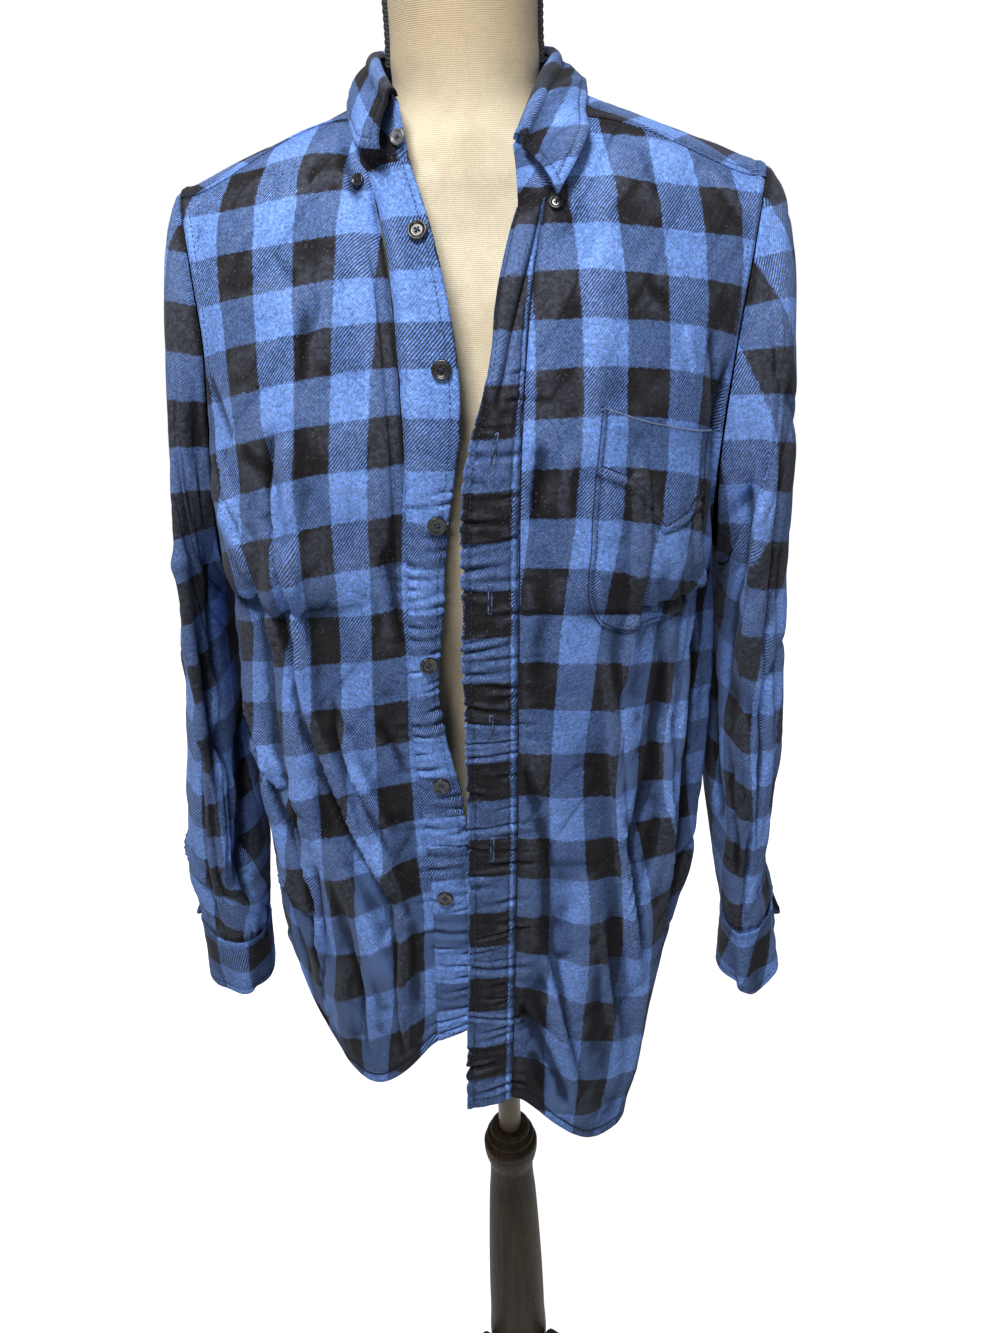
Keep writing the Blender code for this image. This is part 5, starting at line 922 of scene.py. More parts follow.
def pucker_list(seed, start, end, low, high, gap=(0.55, 1.25), amp=(0.05, 0.15)):
    """Short gathers across a stitched band: place along it, width, depth, tilt and reach."""
    r = np.random.RandomState(seed)
    rows = []
    s = start
    while s < end:
        rows.append((s, r.uniform(0.11, 0.26), r.uniform(*amp)*(low + (high-low)*(s-start)/(end-start)),
                     r.uniform(-0.22, 0.22), r.choice([0, 0, 1, 2, 2]), r.uniform(0.35, 0.8)))
        s += r.uniform(*gap)
    return rows

def pucker_height(s, x, width, rows):
    """Depth of the gathers at s along the band and x across it (0 seam .. width edge)."""
    h = np.zeros(np.broadcast(s, x).shape)
    for s0, sig, amp, tilt, kind, reach in rows:
        near = s[..., 0] if s.ndim > 1 else s
        a, b = np.searchsorted(near, [s0 - 1.6, s0 + 1.6]) if s.ndim > 1 else (0, len(s))
        if a >= b:
            continue
        ss, xx = s[a:b], x[a:b]
        c = s0 + tilt*(xx - width/2)
        if kind == 0:
            e = np.exp(-(np.abs(xx/width)/reach)**2)
        elif kind == 1:
            e = 0.75 + 0.25*np.cos(2*np.pi*xx/width)
        else:
            e = np.exp(-(np.abs(1 - xx/width)/reach)**2)
        d = (ss - c)/sig
        h[a:b] += amp * e * (-np.exp(-d*d) + 0.45*np.exp(-((d - 1.9)/1.1)**2) + 0.45*np.exp(-((d + 1.9)/1.1)**2))
    return h

def arc(P, axis):
    d = np.linalg.norm(np.diff(P, axis=axis), axis=-1)
    pad = [(0, 0), (0, 0)]
    pad[axis] = (1, 0)
    return np.pad(np.cumsum(d, axis=axis), pad)

def flatten(P, nc, nr, start=None):
    """Lay a grid of cloth flat: coordinates in centimetres for each grid point.

    The flat cloth keeps the lengths of the grid's rows and columns and the
    angles between them as well as it can (Gauss-Newton on a coarse net)."""
    rows, cols = P.shape[:2]
    ci = np.unique(np.round(np.linspace(0, cols-1, nc)).astype(int))
    ri = np.unique(np.round(np.linspace(0, rows-1, nr)).astype(int))
    au, av = arc(P, 1), arc(P, 0)
    ru = au[ri][:, ci]
    rv = av[ri][:, ci]
    lu, lv = np.diff(ru, axis=1), np.diff(rv, axis=0)
    C = P[ri][:, ci]
    su, sv = np.diff(C, axis=1), np.diff(C, axis=0)
    R, K = len(ri), len(ci)
    idx = np.arange(R*K).reshape(R, K)
    E, L, W = [], [], []
    def edge(a, b, l, w):
        E.append(np.stack([a.ravel(), b.ravel()], 1)); L.append(l.ravel()); W.append(np.full(a.size, w))
    edge(idx[:, :-1], idx[:, 1:], lu, 1.0)
    edge(idx[:-1], idx[1:], lv, 1.0)
    # diagonals from the mean angle of the cell
    a = (su[:-1] + su[1:])/2
    b = (sv[:, :-1] + sv[:, 1:])/2
    cosang = (a*b).sum(-1)/(np.linalg.norm(a, axis=-1)*np.linalg.norm(b, axis=-1) + 1e-9)
    la, lb = (lu[:-1] + lu[1:])/2, (lv[:, :-1] + lv[:, 1:])/2
    edge(idx[:-1, :-1], idx[1:, 1:], np.sqrt(la**2 + lb**2 + 2*la*lb*cosang), 0.6)
    edge(idx[:-1, 1:], idx[1:, :-1], np.sqrt(la**2 + lb**2 - 2*la*lb*cosang), 0.6)
    E, L, W = np.concatenate(E), np.concatenate(L), np.concatenate(W)
    if start is None:
        x = np.stack([ru - ru[:, K//2:K//2+1], rv], -1).reshape(-1, 2).astype(float)
    else:
        x = start[ri][:, ci].reshape(-1, 2).astype(float)
    N = len(x)
    i0, i1 = E[:, 0], E[:, 1]
    def back(y):
        return np.stack([np.bincount(i1, y[:, q], N) - np.bincount(i0, y[:, q], N) for q in (0, 1)], -1)
    for it in range(30):
        d = x[i1] - x[i0]
        n = np.linalg.norm(d, axis=1) + 1e-9
        res = (n - L)*W
        g = d/n[:, None]*W[:, None]
        damp = 0.02 if it < 6 else 0.002
        # conjugate gradients on the normal equations
        r = -back(g*res[:, None])
        step = np.zeros_like(r)
        p_ = r.copy()
        rs = (r*r).sum()
        first = rs
        for k in range(160):
            Jp = (g*(p_[i1] - p_[i0])).sum(1)
            Ap = back(g*Jp[:, None]) + damp*p_
            al = rs/((p_*Ap).sum() + 1e-30)
            step += al*p_
            r -= al*Ap
            new = (r*r).sum()
            if new < 1e-8*first + 1e-14:
                break
            p_ = r + p_*(new/rs)
            rs = new
        m = np.abs(step).max()
        x = x + step*min(1.0, 3.0/(m + 1e-9))
        if m < 2e-3:
            break
    X = x.reshape(R, K, 2)
    # back to the fine grid: walk each row and column by its own length
    fu = np.empty((rows, K))
    cu = np.empty((rows, cols))
    for i in range(rows):
        cu[i] = np.interp(au[i], au[i][ci], np.arange(K))
    cv = np.empty((rows, cols))
    for j in range(cols):
        cv[:, j] = np.interp(av[:, j], av[:, j][ri], np.arange(R))
    # bicubic by rows then columns
    def cubic(F, t):
        n = len(F)
        t = np.clip(t, 0, n-1-1e-9)
        i = t.astype(int)
        f = (t - i)
        return i, f
    i0, f0 = cubic(np.arange(R), cv)
    j0, g0 = cubic(np.arange(K), cu)
    Xp = np.pad(X, ((1, 1), (1, 1), (0, 0)), mode="edge")
    Xp[0, :] = 2*Xp[1, :] - Xp[2, :]
    Xp[-1, :] = 2*Xp[-2, :] - Xp[-3, :]
    Xp[:, 0] = 2*Xp[:, 1] - Xp[:, 2]
    Xp[:, -1] = 2*Xp[:, -2] - Xp[:, -3]
    def w4(t):
        return [(-t + 2*t*t - t**3)/2, (2 - 5*t*t + 3*t**3)/2, (t + 4*t*t - 3*t**3)/2, (-t*t + t**3)/2]
    wr, wc = w4(f0), w4(g0)
    out = np.zeros((rows, cols, 2))
    for m in range(4):
        for n in range(4):
            out += (wr[m]*wc[n])[..., None] * Xp[np.clip(i0+m, 0, R+1), np.clip(j0+n, 0, K+1)]
    err = np.abs(np.linalg.norm(x[E[:, 1]] - x[E[:, 0]], axis=1)/L - 1)
    return out, float(np.mean(err))

def laid(UV, line, flip=False):
    """Turn a flat piece so that the grain line (indices of a row or column) runs straight down."""
    g = UV[line]
    d = g[-1] - g[0]
    t = math.atan2(d[0], d[1])
    c, s = math.cos(t), math.sin(t)
    q = UV - g[0]
    q = np.stack([q[..., 0]*c - q[..., 1]*s, q[..., 0]*s + q[..., 1]*c], -1)
    if flip:
        q[..., 0] = -q[..., 0]
    return q

def flat_area(UV):
    a, b, c, d = UV[:-1, :-1], UV[:-1, 1:], UV[1:, 1:], UV[1:, :-1]
    cr = lambda p, q: p[..., 0]*q[..., 1] - p[..., 1]*q[..., 0]
    return float(np.abs(cr(b-a, c-a) + cr(c-a, d-a)).sum()/2)

# ---------------------------------------------------------------------------
# Meshes
# ---------------------------------------------------------------------------
CLOTH_T, DOUBLE_T = 0.12, 0.20

def place(p):
    """Table centimetres to world metres."""
    return np.asarray(p, float)*CM + np.array([SHIFT_X, SHIFT_Y, 0.0])

def grid(nu, nv, u0=0.0, u1=1.0, v0=0.0, v1=1.0):
    return np.meshgrid(np.linspace(u0, u1, nu), np.linspace(v0, v1, nv))

def sample(G, u, v):
    """Value of a grid that spans u and v from 0 to 1."""
    rows, cols = G.shape[:2]
    x = np.clip(np.asarray(u, float)*(cols-1), 0, cols-1-1e-6)
    y = np.clip(np.asarray(v, float)*(rows-1), 0, rows-1-1e-6)
    i, j = x.astype(int), y.astype(int)
    fx, fy = (x-i)[..., None], (y-j)[..., None]
    return (G[j, i]*(1-fx) + G[j, i+1]*fx)*(1-fy) + (G[j+1, i]*(1-fx) + G[j+1, i+1]*fx)*fy

def away(P, centre=None, up=False):
    """Sign that turns the grid's own normals outwards."""
    n = normals(P)
    if up:
        return 1.0 if n[..., 2].mean() > 0 else -1.0
    c = np.array([0.0, 0.0]) if centre is None else np.asarray(centre, float)
    d = P[..., :2] - c
    return 1.0 if (d*n[..., :2]).sum(-1).mean() > 0 else -1.0

def blur(P, k):
    """Moving average along both ways of a grid."""
    for axis in (0, 1):
        pad = [(0, 0)]*P.ndim
        pad[axis] = (k, k)
        q = np.pad(P, pad, mode="reflect", reflect_type="odd")
        c = np.cumsum(np.concatenate([np.zeros_like(np.take(q, [0], axis)), q], axis), axis)
        n = P.shape[axis]
        P = (np.take(c, range(2*k+1, 2*k+1+n), axis) - np.take(c, range(0, n), axis))/(2*k+1)
    return P

def new_mesh(name, verts, faces, mat, uvs=None, attrs=None, smooth_angle=60.0):
    """Object from vertices (m) and an array of quads or a list of polygons."""
    me = bpy.data.meshes.new(name)
    if isinstance(faces, np.ndarray):
        n = len(faces)
        used = np.unique(faces)
        remap = np.full(len(verts), -1)
        remap[used] = np.arange(len(used))
        verts = verts[used]
        faces = remap[faces]
        me.vertices.add(len(verts))
        me.vertices.foreach_set("co", np.ascontiguousarray(verts, dtype=np.float32).ravel())
        me.loops.add(4*n)
        me.loops.foreach_set("vertex_index", np.ascontiguousarray(faces, dtype=np.int32).ravel())
        me.polygons.add(n)
        me.polygons.foreach_set("loop_start", np.arange(0, 4*n, 4, dtype=np.int32))
        me.update(calc_edges=True)
        for key, val in (attrs or {}).items():
            a = me.attributes.new(key, "FLOAT", "POINT")
            a.data.foreach_set("value", np.ascontiguousarray(val[used], dtype=np.float32))
        for key, val in (uvs or {}).items():
            layer = me.uv_layers.new(name=key)
            layer.data.foreach_set("uv", np.ascontiguousarray(val, dtype=np.float32).ravel())
    else:
        me.from_pydata([tuple(v) for v in verts], [], faces)
    me.shade_smooth()
    if smooth_angle:
        me.set_sharp_from_angle(angle=math.radians(smooth_angle))
    ob = bpy.data.objects.new(name, me)
    bpy.context.scene.collection.objects.link(ob)
    me.materials.append(mat)
    return ob

def shell(name, P, T, mat, sign, uvs, close_rows=0, uv_pair=None, fold=None):
    """Thin closed sheet on a grid of points (cm): outer and inner face and a rim."""
    rows, cols = P.shape[:2]
    n = normals(P)*sign
    if close_rows:
        # the first and last columns are one line: share the normal
        m = n[:close_rows, 0] + n[:close_rows, -1]
        m /= np.linalg.norm(m, axis=-1, keepdims=True)
        n[:close_rows, 0] = n[:close_rows, -1] = m
    T = np.broadcast_to(np.asarray(T, float), (rows, cols))
    A = P + n*(T/2)[..., None]
    B = P - n*(T/2)[..., None]
    N = rows*cols
    index = np.arange(N).reshape(rows, cols)
    if close_rows:
        index[:close_rows, -1] = index[:close_rows, 0]
    ij = np.arange(N).reshape(rows, cols)
    def quads(q):
        return np.stack([q[:-1, :-1], q[:-1, 1:], q[1:, 1:], q[1:, :-1]], -1).reshape(-1, 4)
    f, g = quads(index), quads(ij)
    if sign < 0:
        f, g = f[:, ::-1], g[:, ::-1]
    inner, gin = f[:, ::-1] + N, g[:, ::-1]
    rim_f, rim_g = [], []
    def rim(line, raw):
        a, b = line[:-1], line[1:]
        ra, rb = raw[:-1], raw[1:]
        q = np.stack([a, a + N, b + N, b], -1)
        if sign < 0:
            q = q[:, ::-1]
            rim_g.append(np.stack([ra, ra, rb, rb], -1)[:, ::-1])
        else:
            rim_g.append(np.stack([ra, ra, rb, rb], -1))
        rim_f.append(q)
    rim(index[0], ij[0])
    rim(index[-1][::-1], ij[-1][::-1])
    k = max(close_rows - 1, 0)
    rim(index[k:, 0][::-1], ij[k:, 0][::-1])
    rim(index[k:, -1], ij[k:, -1])
    faces = np.concatenate([f, inner] + rim_f)
    raw = np.concatenate([g, gin] + rim_g)
    layers = {}
    for key, val in uvs.items():
        flat = val.reshape(-1, 2)
        corner = flat[raw]
        if uv_pair is not None:
            # a cut in the cloth's own coordinates at this column
            col_at, other = uv_pair[0], uv_pair[1][key].reshape(-1, 2)
            cj = raw % cols
            right = cj.max(axis=1) > col_at
            right &= cj.min(axis=1) >= col_at
            corner = np.where(right[:, None, None], other[raw], corner)
        layers[key] = corner
    # fold: the cloth's relief against its smoothed self, which the flannel turns into painted shade in troughs and a
    # painted highlight on ridges
    if fold is None:
        near, far = min(4, rows//3, cols//3), min(13, rows//3, cols//3)
        fold = 0.55*np.clip(((P - blur(P, near))*n).sum(-1)/0.045, -1.5, 1.5)
        fold = fold + 0.75*np.clip(((P - blur(P, far))*n).sum(-1)/0.26, -1.5, 1.5)
        # near a cut edge the painted ridge highlight fades out
        i, j = np.arange(P.shape[0]), np.arange(P.shape[1])
        rim = np.minimum.outer(np.minimum(i, i[::-1]), np.minimum(j, j[::-1]))
        fold = np.where(fold > 0, fold*np.clip(rim/4.0, 0.0, 1.0), fold)
        # painted shadow: the placket's columns beside its seam are drawn dark
        if name == "placket_cloth" or name.startswith("placket"):
            fold[:, :2] = -1.0
            fold[:, 2] = np.minimum(fold[:, 2], -0.4)
    fo = np.concatenate([fold.ravel(), -fold.ravel()])
    side = np.concatenate([np.zeros(N), np.ones(N)])
    verts = place(np.concatenate([A.reshape(-1, 3), B.reshape(-1, 3)]))
    return new_mesh(name, verts, faces, mat, layers, {"fold": fo, "inside": side}, 70.0)

# --- threads: short rounded stitches along a line on the cloth
def line_on(P, sign, u, v, lift):
    """Points and normals on a grid at stations u, v."""
    n = normals(P)*sign
    q = sample(P, u, v)
    m = sample(n, u, v)
    m = m/np.linalg.norm(m, axis=-1, keepdims=True)
    return q + m*lift, m

def stitches(lines, pitch=0.36, length=0.26, radius=0.032, seed=1):
    """Vertices and faces of broken thread lines. lines: list of (points, normals)."""
    rs = np.random.RandomState(seed)
    V, F = [], []
    for P, Nn in lines:
        d = np.linalg.norm(np.diff(P, axis=0), axis=-1)
        s = np.concatenate([[0], np.cumsum(d)])
        if s[-1] < pitch:
            continue
        m = int(s[-1]/pitch)
        at = (np.arange(m) + 0.5)*s[-1]/m + rs.uniform(-0.02, 0.02, m)
        def get(A, t):
            return np.stack([np.interp(t, s, A[:, k]) for k in range(3)], -1)
        a, b = get(P, at - length/2), get(P, at + length/2)
        n = get(Nn, at)
        n /= np.linalg.norm(n, axis=-1, keepdims=True)
        t = b - a
        L = np.linalg.norm(t, axis=-1, keepdims=True)
        t = t/(L + 1e-9)
        w = np.cross(n, t)
        base = sum(len(x) for x in V)
        rings = []
        for pos, r in ((-0.5, 0.0), (-0.32, 1.0), (0.32, 1.0), (0.5, 0.0)):
            c = (a + b)/2 + t*L*pos
            if r == 0.0:
                rings.append([c - n*radius*0.8])
            else:
                rings.append([c + n*radius, c + w*radius, c - n*radius, c - w*radius])
        pts = np.stack([rings[0][0], *rings[1], *rings[2], rings[3][0]], 1)   # m,10,3
        k = len(at)
        V.append(pts.reshape(-1, 3))
        one = []
        for q in range(4):
            r = (q+1) % 4
            one += [(0, 1+r, 1+q), (1+q, 1+r, 5+r, 5+q), (5+q, 5+r, 9)]
        for i in range(k):
            o = base + 10*i
            F += [tuple(o + z for z in f) for f in one]
    return np.concatenate(V), F

def thread_piece(name, lines, mat, **kw):
    V, F = stitches(lines, **kw)
    return new_mesh(name, place(V), F, mat, smooth_angle=None)

def ring_verts(prof, steps):
    """Lathe: vertices and quads from (r, z) down the outer side; ends on the axis."""
    a = np.linspace(0, 2*np.pi, steps, endpoint=False)
    V, F = [], []
    rows = []
    for r, z in prof:
        if r < 1e-6:
            rows.append([len(V)])
            V.append((0, 0, z))
        else:
            rows.append(list(range(len(V), len(V) + steps)))
            V += [(r*math.cos(t), r*math.sin(t), z) for t in a]
    for p, q in zip(rows, rows[1:]):
        for k in range(steps):
            m = (k+1) % steps
            if len(p) == 1:
                F.append((p[0], q[k], q[m]))
            elif len(q) == 1:
                F.append((p[k], q[0], p[m]))
            else:
                F.append((p[k], q[k], q[m], p[m]))
    return np.array(V, float), F

def lathe(name, prof, steps, mat, x=0.0, y=0.0, angle=35.0):
    V, F = ring_verts(prof, steps)
    V = V + np.array([x, y, 0.0])
    return new_mesh(name, place(V), F, mat, smooth_angle=angle)

# ---------------------------------------------------------------------------
# Materials (colours are linear)
# ---------------------------------------------------------------------------
class Tree:
    """Short way to write a node tree."""
    def __init__(self, name):
        self.mat = bpy.data.materials.new(name)
        self.mat.use_nodes = True
        self.t = self.mat.node_tree
        self.t.nodes.clear()
        self.out = self.t.nodes.new("ShaderNodeOutputMaterial")
        self.bsdf = self.t.nodes.new("ShaderNodeBsdfPrincipled")
        self.t.links.new(self.bsdf.outputs[0], self.out.inputs["Surface"])
    def put(self, socket, value):
        if isinstance(value, bpy.types.NodeSocket):
            self.t.links.new(value, socket)
        elif value is not None:
            socket.default_value = value
    def math(self, op, a, b=None, c=None, clamp=False):
        n = self.t.nodes.new("ShaderNodeMath")
        n.operation = op
        n.use_clamp = clamp
        for k, v in enumerate((a, b, c)):
            if v is not None:
                self.put(n.inputs[k], v)
        return n.outputs[0]
    def uv(self, name):
        n = self.t.nodes.new("ShaderNodeUVMap")
        n.uv_map = name
        return n.outputs[0]
    def attr(self, name):
        n = self.t.nodes.new("ShaderNodeAttribute")
        n.attribute_name = name
        return n.outputs["Fac"]
    def obj(self):
        return self.t.nodes.new("ShaderNodeTexCoord").outputs["Object"]
    def xyz(self, v):
        n = self.t.nodes.new("ShaderNodeSeparateXYZ")
        self.put(n.inputs[0], v)
        return n.outputs
    def join(self, x, y, z=0.0):
        n = self.t.nodes.new("ShaderNodeCombineXYZ")
        for k, v in enumerate((x, y, z)):
            self.put(n.inputs[k], v)
        return n.outputs[0]
    def scaled(self, v, sx, sy, sz=1.0, turn=0.0):
        n = self.t.nodes.new("ShaderNodeMapping")
        self.put(n.inputs["Vector"], v)
        n.inputs["Scale"].default_value = (sx, sy, sz)
        n.inputs["Rotation"].default_value = (0, 0, turn)
        return n.outputs[0]
    def noise(self, v, scale, detail=2.0, rough=0.5, dist=0.0):
        n = self.t.nodes.new("ShaderNodeTexNoise")
        self.put(n.inputs["Vector"], v)
        n.inputs["Scale"].default_value = scale
        n.inputs["Detail"].default_value = detail
        n.inputs["Roughness"].default_value = rough
        n.inputs["Distortion"].default_value = dist
        return n.outputs["Fac"]
    def voronoi(self, v, scale, feature="F1", out="Distance"):
        n = self.t.nodes.new("ShaderNodeTexVoronoi")
        n.feature = feature
        self.put(n.inputs["Vector"], v)
        n.inputs["Scale"].default_value = scale
        return n.outputs[out]
    def range(self, v, a, b, c=0.0, d=1.0, smooth=True):
        n = self.t.nodes.new("ShaderNodeMapRange")
        n.interpolation_type = "SMOOTHSTEP" if smooth else "LINEAR"
        self.put(n.inputs["Value"], v)
        for k, x in (("From Min", a), ("From Max", b), ("To Min", c), ("To Max", d)):
            self.put(n.inputs[k], x)
        return n.outputs["Result"]
    def mix(self, f, a, b, how="MIX"):
        n = self.t.nodes.new("ShaderNodeMix")
        n.data_type = "RGBA"
        n.blend_type = how
        n.clamp_factor = True
        self.put(n.inputs[0], f)
        for sock, v in ((n.inputs[6], a), (n.inputs[7], b)):
            self.put(sock, (*v, 1.0) if isinstance(v, tuple) else v)
        return n.outputs[2]
    def grey(self, v):
        """Scalar as a grey colour."""
        n = self.t.nodes.new("ShaderNodeCombineColor")
        for k in range(3):
            self.put(n.inputs[k], v)
        return n.outputs[0]
    def bump(self, h, strength, distance, normal=None):
        n = self.t.nodes.new("ShaderNodeBump")
        n.inputs["Strength"].default_value = strength
        n.inputs["Distance"].default_value = distance
        self.put(n.inputs["Height"], h)
        if normal is not None:
            self.put(n.inputs["Normal"], normal)
        return n.outputs[0]
    def shade(self, **kw):
        for k, v in kw.items():
            self.put(self.bsdf.inputs[k.replace("_", " ")], v)

BLUE = (0.138, 0.258, 0.625)
DARK = (0.0160, 0.0145, 0.0165)
TWILL = 0.00160         # spacing of the twill lines, metres

def flannel():
    t = Tree("flannel_buffalo_check")
    c = t.uv("check")
    m = t.uv("cloth")
    cx, cy, _ = t.xyz(c)
    mx, my, _ = t.xyz(m)
    # uneven yarn: frays the edges of the squares
    fray_u = t.noise(t.scaled(m, 1.0, 0.30), 900.0, 1.5)
    fray_v = t.noise(t.scaled(m, 0.30, 1.0), 900.0, 1.5)
    wander = t.noise(m, 55.0, 1.0)
    du = t.math("ADD", t.math("MULTIPLY", t.math("SUBTRACT", fray_u, 0.5), 0.060), t.math("MULTIPLY", t.math("SUBTRACT", wander, 0.5), 0.020))
    dv = t.math("ADD", t.math("MULTIPLY", t.math("SUBTRACT", fray_v, 0.5), 0.055), t.math("MULTIPLY", t.math("SUBTRACT", wander, 0.5), 0.020))
    def stripe(x, d):
        a = t.math("ABSOLUTE", t.math("SUBTRACT", t.math("FRACT", t.math("ADD", t.math("ADD", x, d), 0.5)), 0.5))
        return t.range(a, 0.240, 0.262, 1.0, 0.0)
    warp = stripe(cx, du)           # 1 where the lengthwise yarn is dark
    weft = stripe(cy, dv)
    # twill lines
    ang = math.radians(52)
    jog = t.noise(m, 1300.0, 1.0)
    line = t.math("ADD", t.math("MULTIPLY", mx, math.sin(ang)/TWILL), t.math("MULTIPLY", my, math.cos(ang)/TWILL))
    line = t.math("ADD", line, t.math("MULTIPLY", t.math("SUBTRACT", jog, 0.5), 0.55))
    tri = t.math("ABSOLUTE", t.math("MULTIPLY_ADD", t.math("FRACT", line), 2.0, -1.0))
    up = t.range(tri, 0.25, 0.75)
    # the lines read clearly where a blue warp crosses a dark weft, fuzzily the other way round
    clear = t.math("MULTIPLY", weft, t.math("SUBTRACT", 1.0, warp))
    nap_local = t.noise(m, 260.0, 2.0)
    keep = t.math("MULTIPLY", t.math("MULTIPLY_ADD", clear, 0.50, 0.42), t.range(nap_local, 0.30, 0.62, 0.55, 1.0))
    face = t.math("MULTIPLY_ADD", t.math("SUBTRACT", up, 0.5), keep, 0.52)
    hair = t.noise(t.scaled(m, 1.0, 0.45, 1.0, 0.6), 1500.0, 2.0, 0.65)
    face = t.math("ADD", face, t.math("MULTIPLY", t.math("SUBTRACT", hair, 0.5), 0.95), clamp=True)
    warp_c = t.mix(warp, BLUE, DARK)
    weft_c = t.mix(weft, BLUE, DARK)
    col = t.mix(face, weft_c, warp_c)
    # brushed nap: fine grain and soft clouds; the fold attribute paints shade into the folds' troughs and a highlight
    # onto their ridges
    grain = t.math("ADD", t.math("MULTIPLY", t.noise(m, 520.0, 2.0, 0.6), 0.55), t.math("MULTIPLY", t.noise(m, 1150.0, 2.0, 0.6), 0.45))
    clouds = t.noise(m, 26.0, 3.0, 0.55)
    patch = t.noise(m, 120.0, 2.0, 0.5)
    fold = t.attr("fold")
    pile = t.noise(m, 330.0, 2.0, 0.6)
    k = t.range(grain, 0.32, 0.68, 0.44, 1.62, smooth=False)
    mixed = t.math("ABSOLUTE", t.math("SUBTRACT", warp, weft))
    k = t.math("MULTIPLY", k, t.range(mixed, 0.0, 1.0, 1.0, 0.87, smooth=False))
    k = t.math("MULTIPLY", k, t.range(up, 0.0, 1.0, 0.88, 1.10, smooth=False))
    k = t.math("MULTIPLY", k, t.range(pile, 0.32, 0.68, 0.80, 1.20, smooth=False))
    k = t.math("MULTIPLY", k, t.range(clouds, 0.3, 0.7, 0.90, 1.10, smooth=False))
    k = t.math("MULTIPLY", k, t.range(patch, 0.3, 0.7, 0.90, 1.10, smooth=False))
    # painted shade in the troughs of the folds, painted highlight on their ridges
    k = t.math("MULTIPLY", k, t.range(fold, -1.3, 0.0, 0.30, 1.0, smooth=False))
    k = t.math("MULTIPLY", k, t.range(fold, 0.0, 1.3, 1.0, 1.24, smooth=False))
    inside = t.attr("inside")
    k = t.math("MULTIPLY", k, t.range(inside, 0.0, 1.0, 1.0, 0.86, smooth=False))
    col = t.mix(1.0, col, t.grey(k), "MULTIPLY")
    # pale fuzz on raised places, worn nap and a painted highlight on the ridges together, and specks of lint
    fuzz_and_highlight = t.math("MULTIPLY", t.range(fold, 0.25, 1.3, 0.0, 0.13), t.range(nap_local, 0.35, 0.7, 0.4, 1.0))
    col = t.mix(fuzz_and_highlight, col, (0.30, 0.36, 0.52))
    cell = t.voronoi(m, 520.0, out="Color")
    cr = t.t.nodes.new("ShaderNodeSeparateColor")
    t.put(cr.inputs[0], cell)
    dist = t.voronoi(m, 520.0)
    speck = t.math("MULTIPLY", t.range(dist, 0.16, 0.34, 1.0, 0.0), t.math("GREATER_THAN", cr.outputs[0], 0.90))
    col = t.mix(t.math("MULTIPLY", speck, 0.30), col, (0.22, 0.24, 0.30))
    h = t.math("ADD", t.math("MULTIPLY", up, 0.55), t.math("ADD", t.math("MULTIPLY", grain, 0.9), t.math("MULTIPLY", patch, 0.9)))
    t.shade(Base_Color=col, Roughness=0.96, Normal=t.bump(h, 0.65, 0.0005))
    t.bsdf.inputs["Specular IOR Level"].default_value = 0.04
    t.bsdf.inputs["Sheen Weight"].default_value = 0.09
    t.bsdf.inputs["Sheen Roughness"].default_value = 0.55
    t.bsdf.inputs["Sheen Tint"].default_value = (0.75, 0.82, 1.0, 1.0)
    return t.mat

def thread(name, colour, light):
    t = Tree(name)
    o = t.obj()
    n = t.noise(o, 900.0, 2.0)
    col = t.mix(t.range(n, 0.3, 0.7), colour, light)
    t.shade(Base_Color=col, Roughness=t.range(n, 0.2, 0.8, 0.6, 0.85), Normal=t.bump(n, 0.5, 0.0002))
    t.bsdf.inputs["Specular IOR Level"].default_value = 0.25
    return t.mat

def horn(name, colour, light, shine):
    """Moulded resin with a faint swirl and fine wear."""
    t = Tree(name)
    o = t.obj()
    n = t.noise(o, 220.0, 3.0, 0.6, 1.2)
    w = t.noise(o, 1800.0, 2.0)
    col = t.mix(t.range(n, 0.40, 0.72), colour, light)
    t.shade(Base_Color=col, Roughness=t.math("ADD", t.range(w, 0.2, 0.8, shine, shine + 0.14), 0.0),
            Normal=t.bump(w, 0.12, 0.0001))
    t.bsdf.inputs["Coat Weight"].default_value = 0.25
    t.bsdf.inputs["Coat Roughness"].default_value = 0.2
    return t.mat

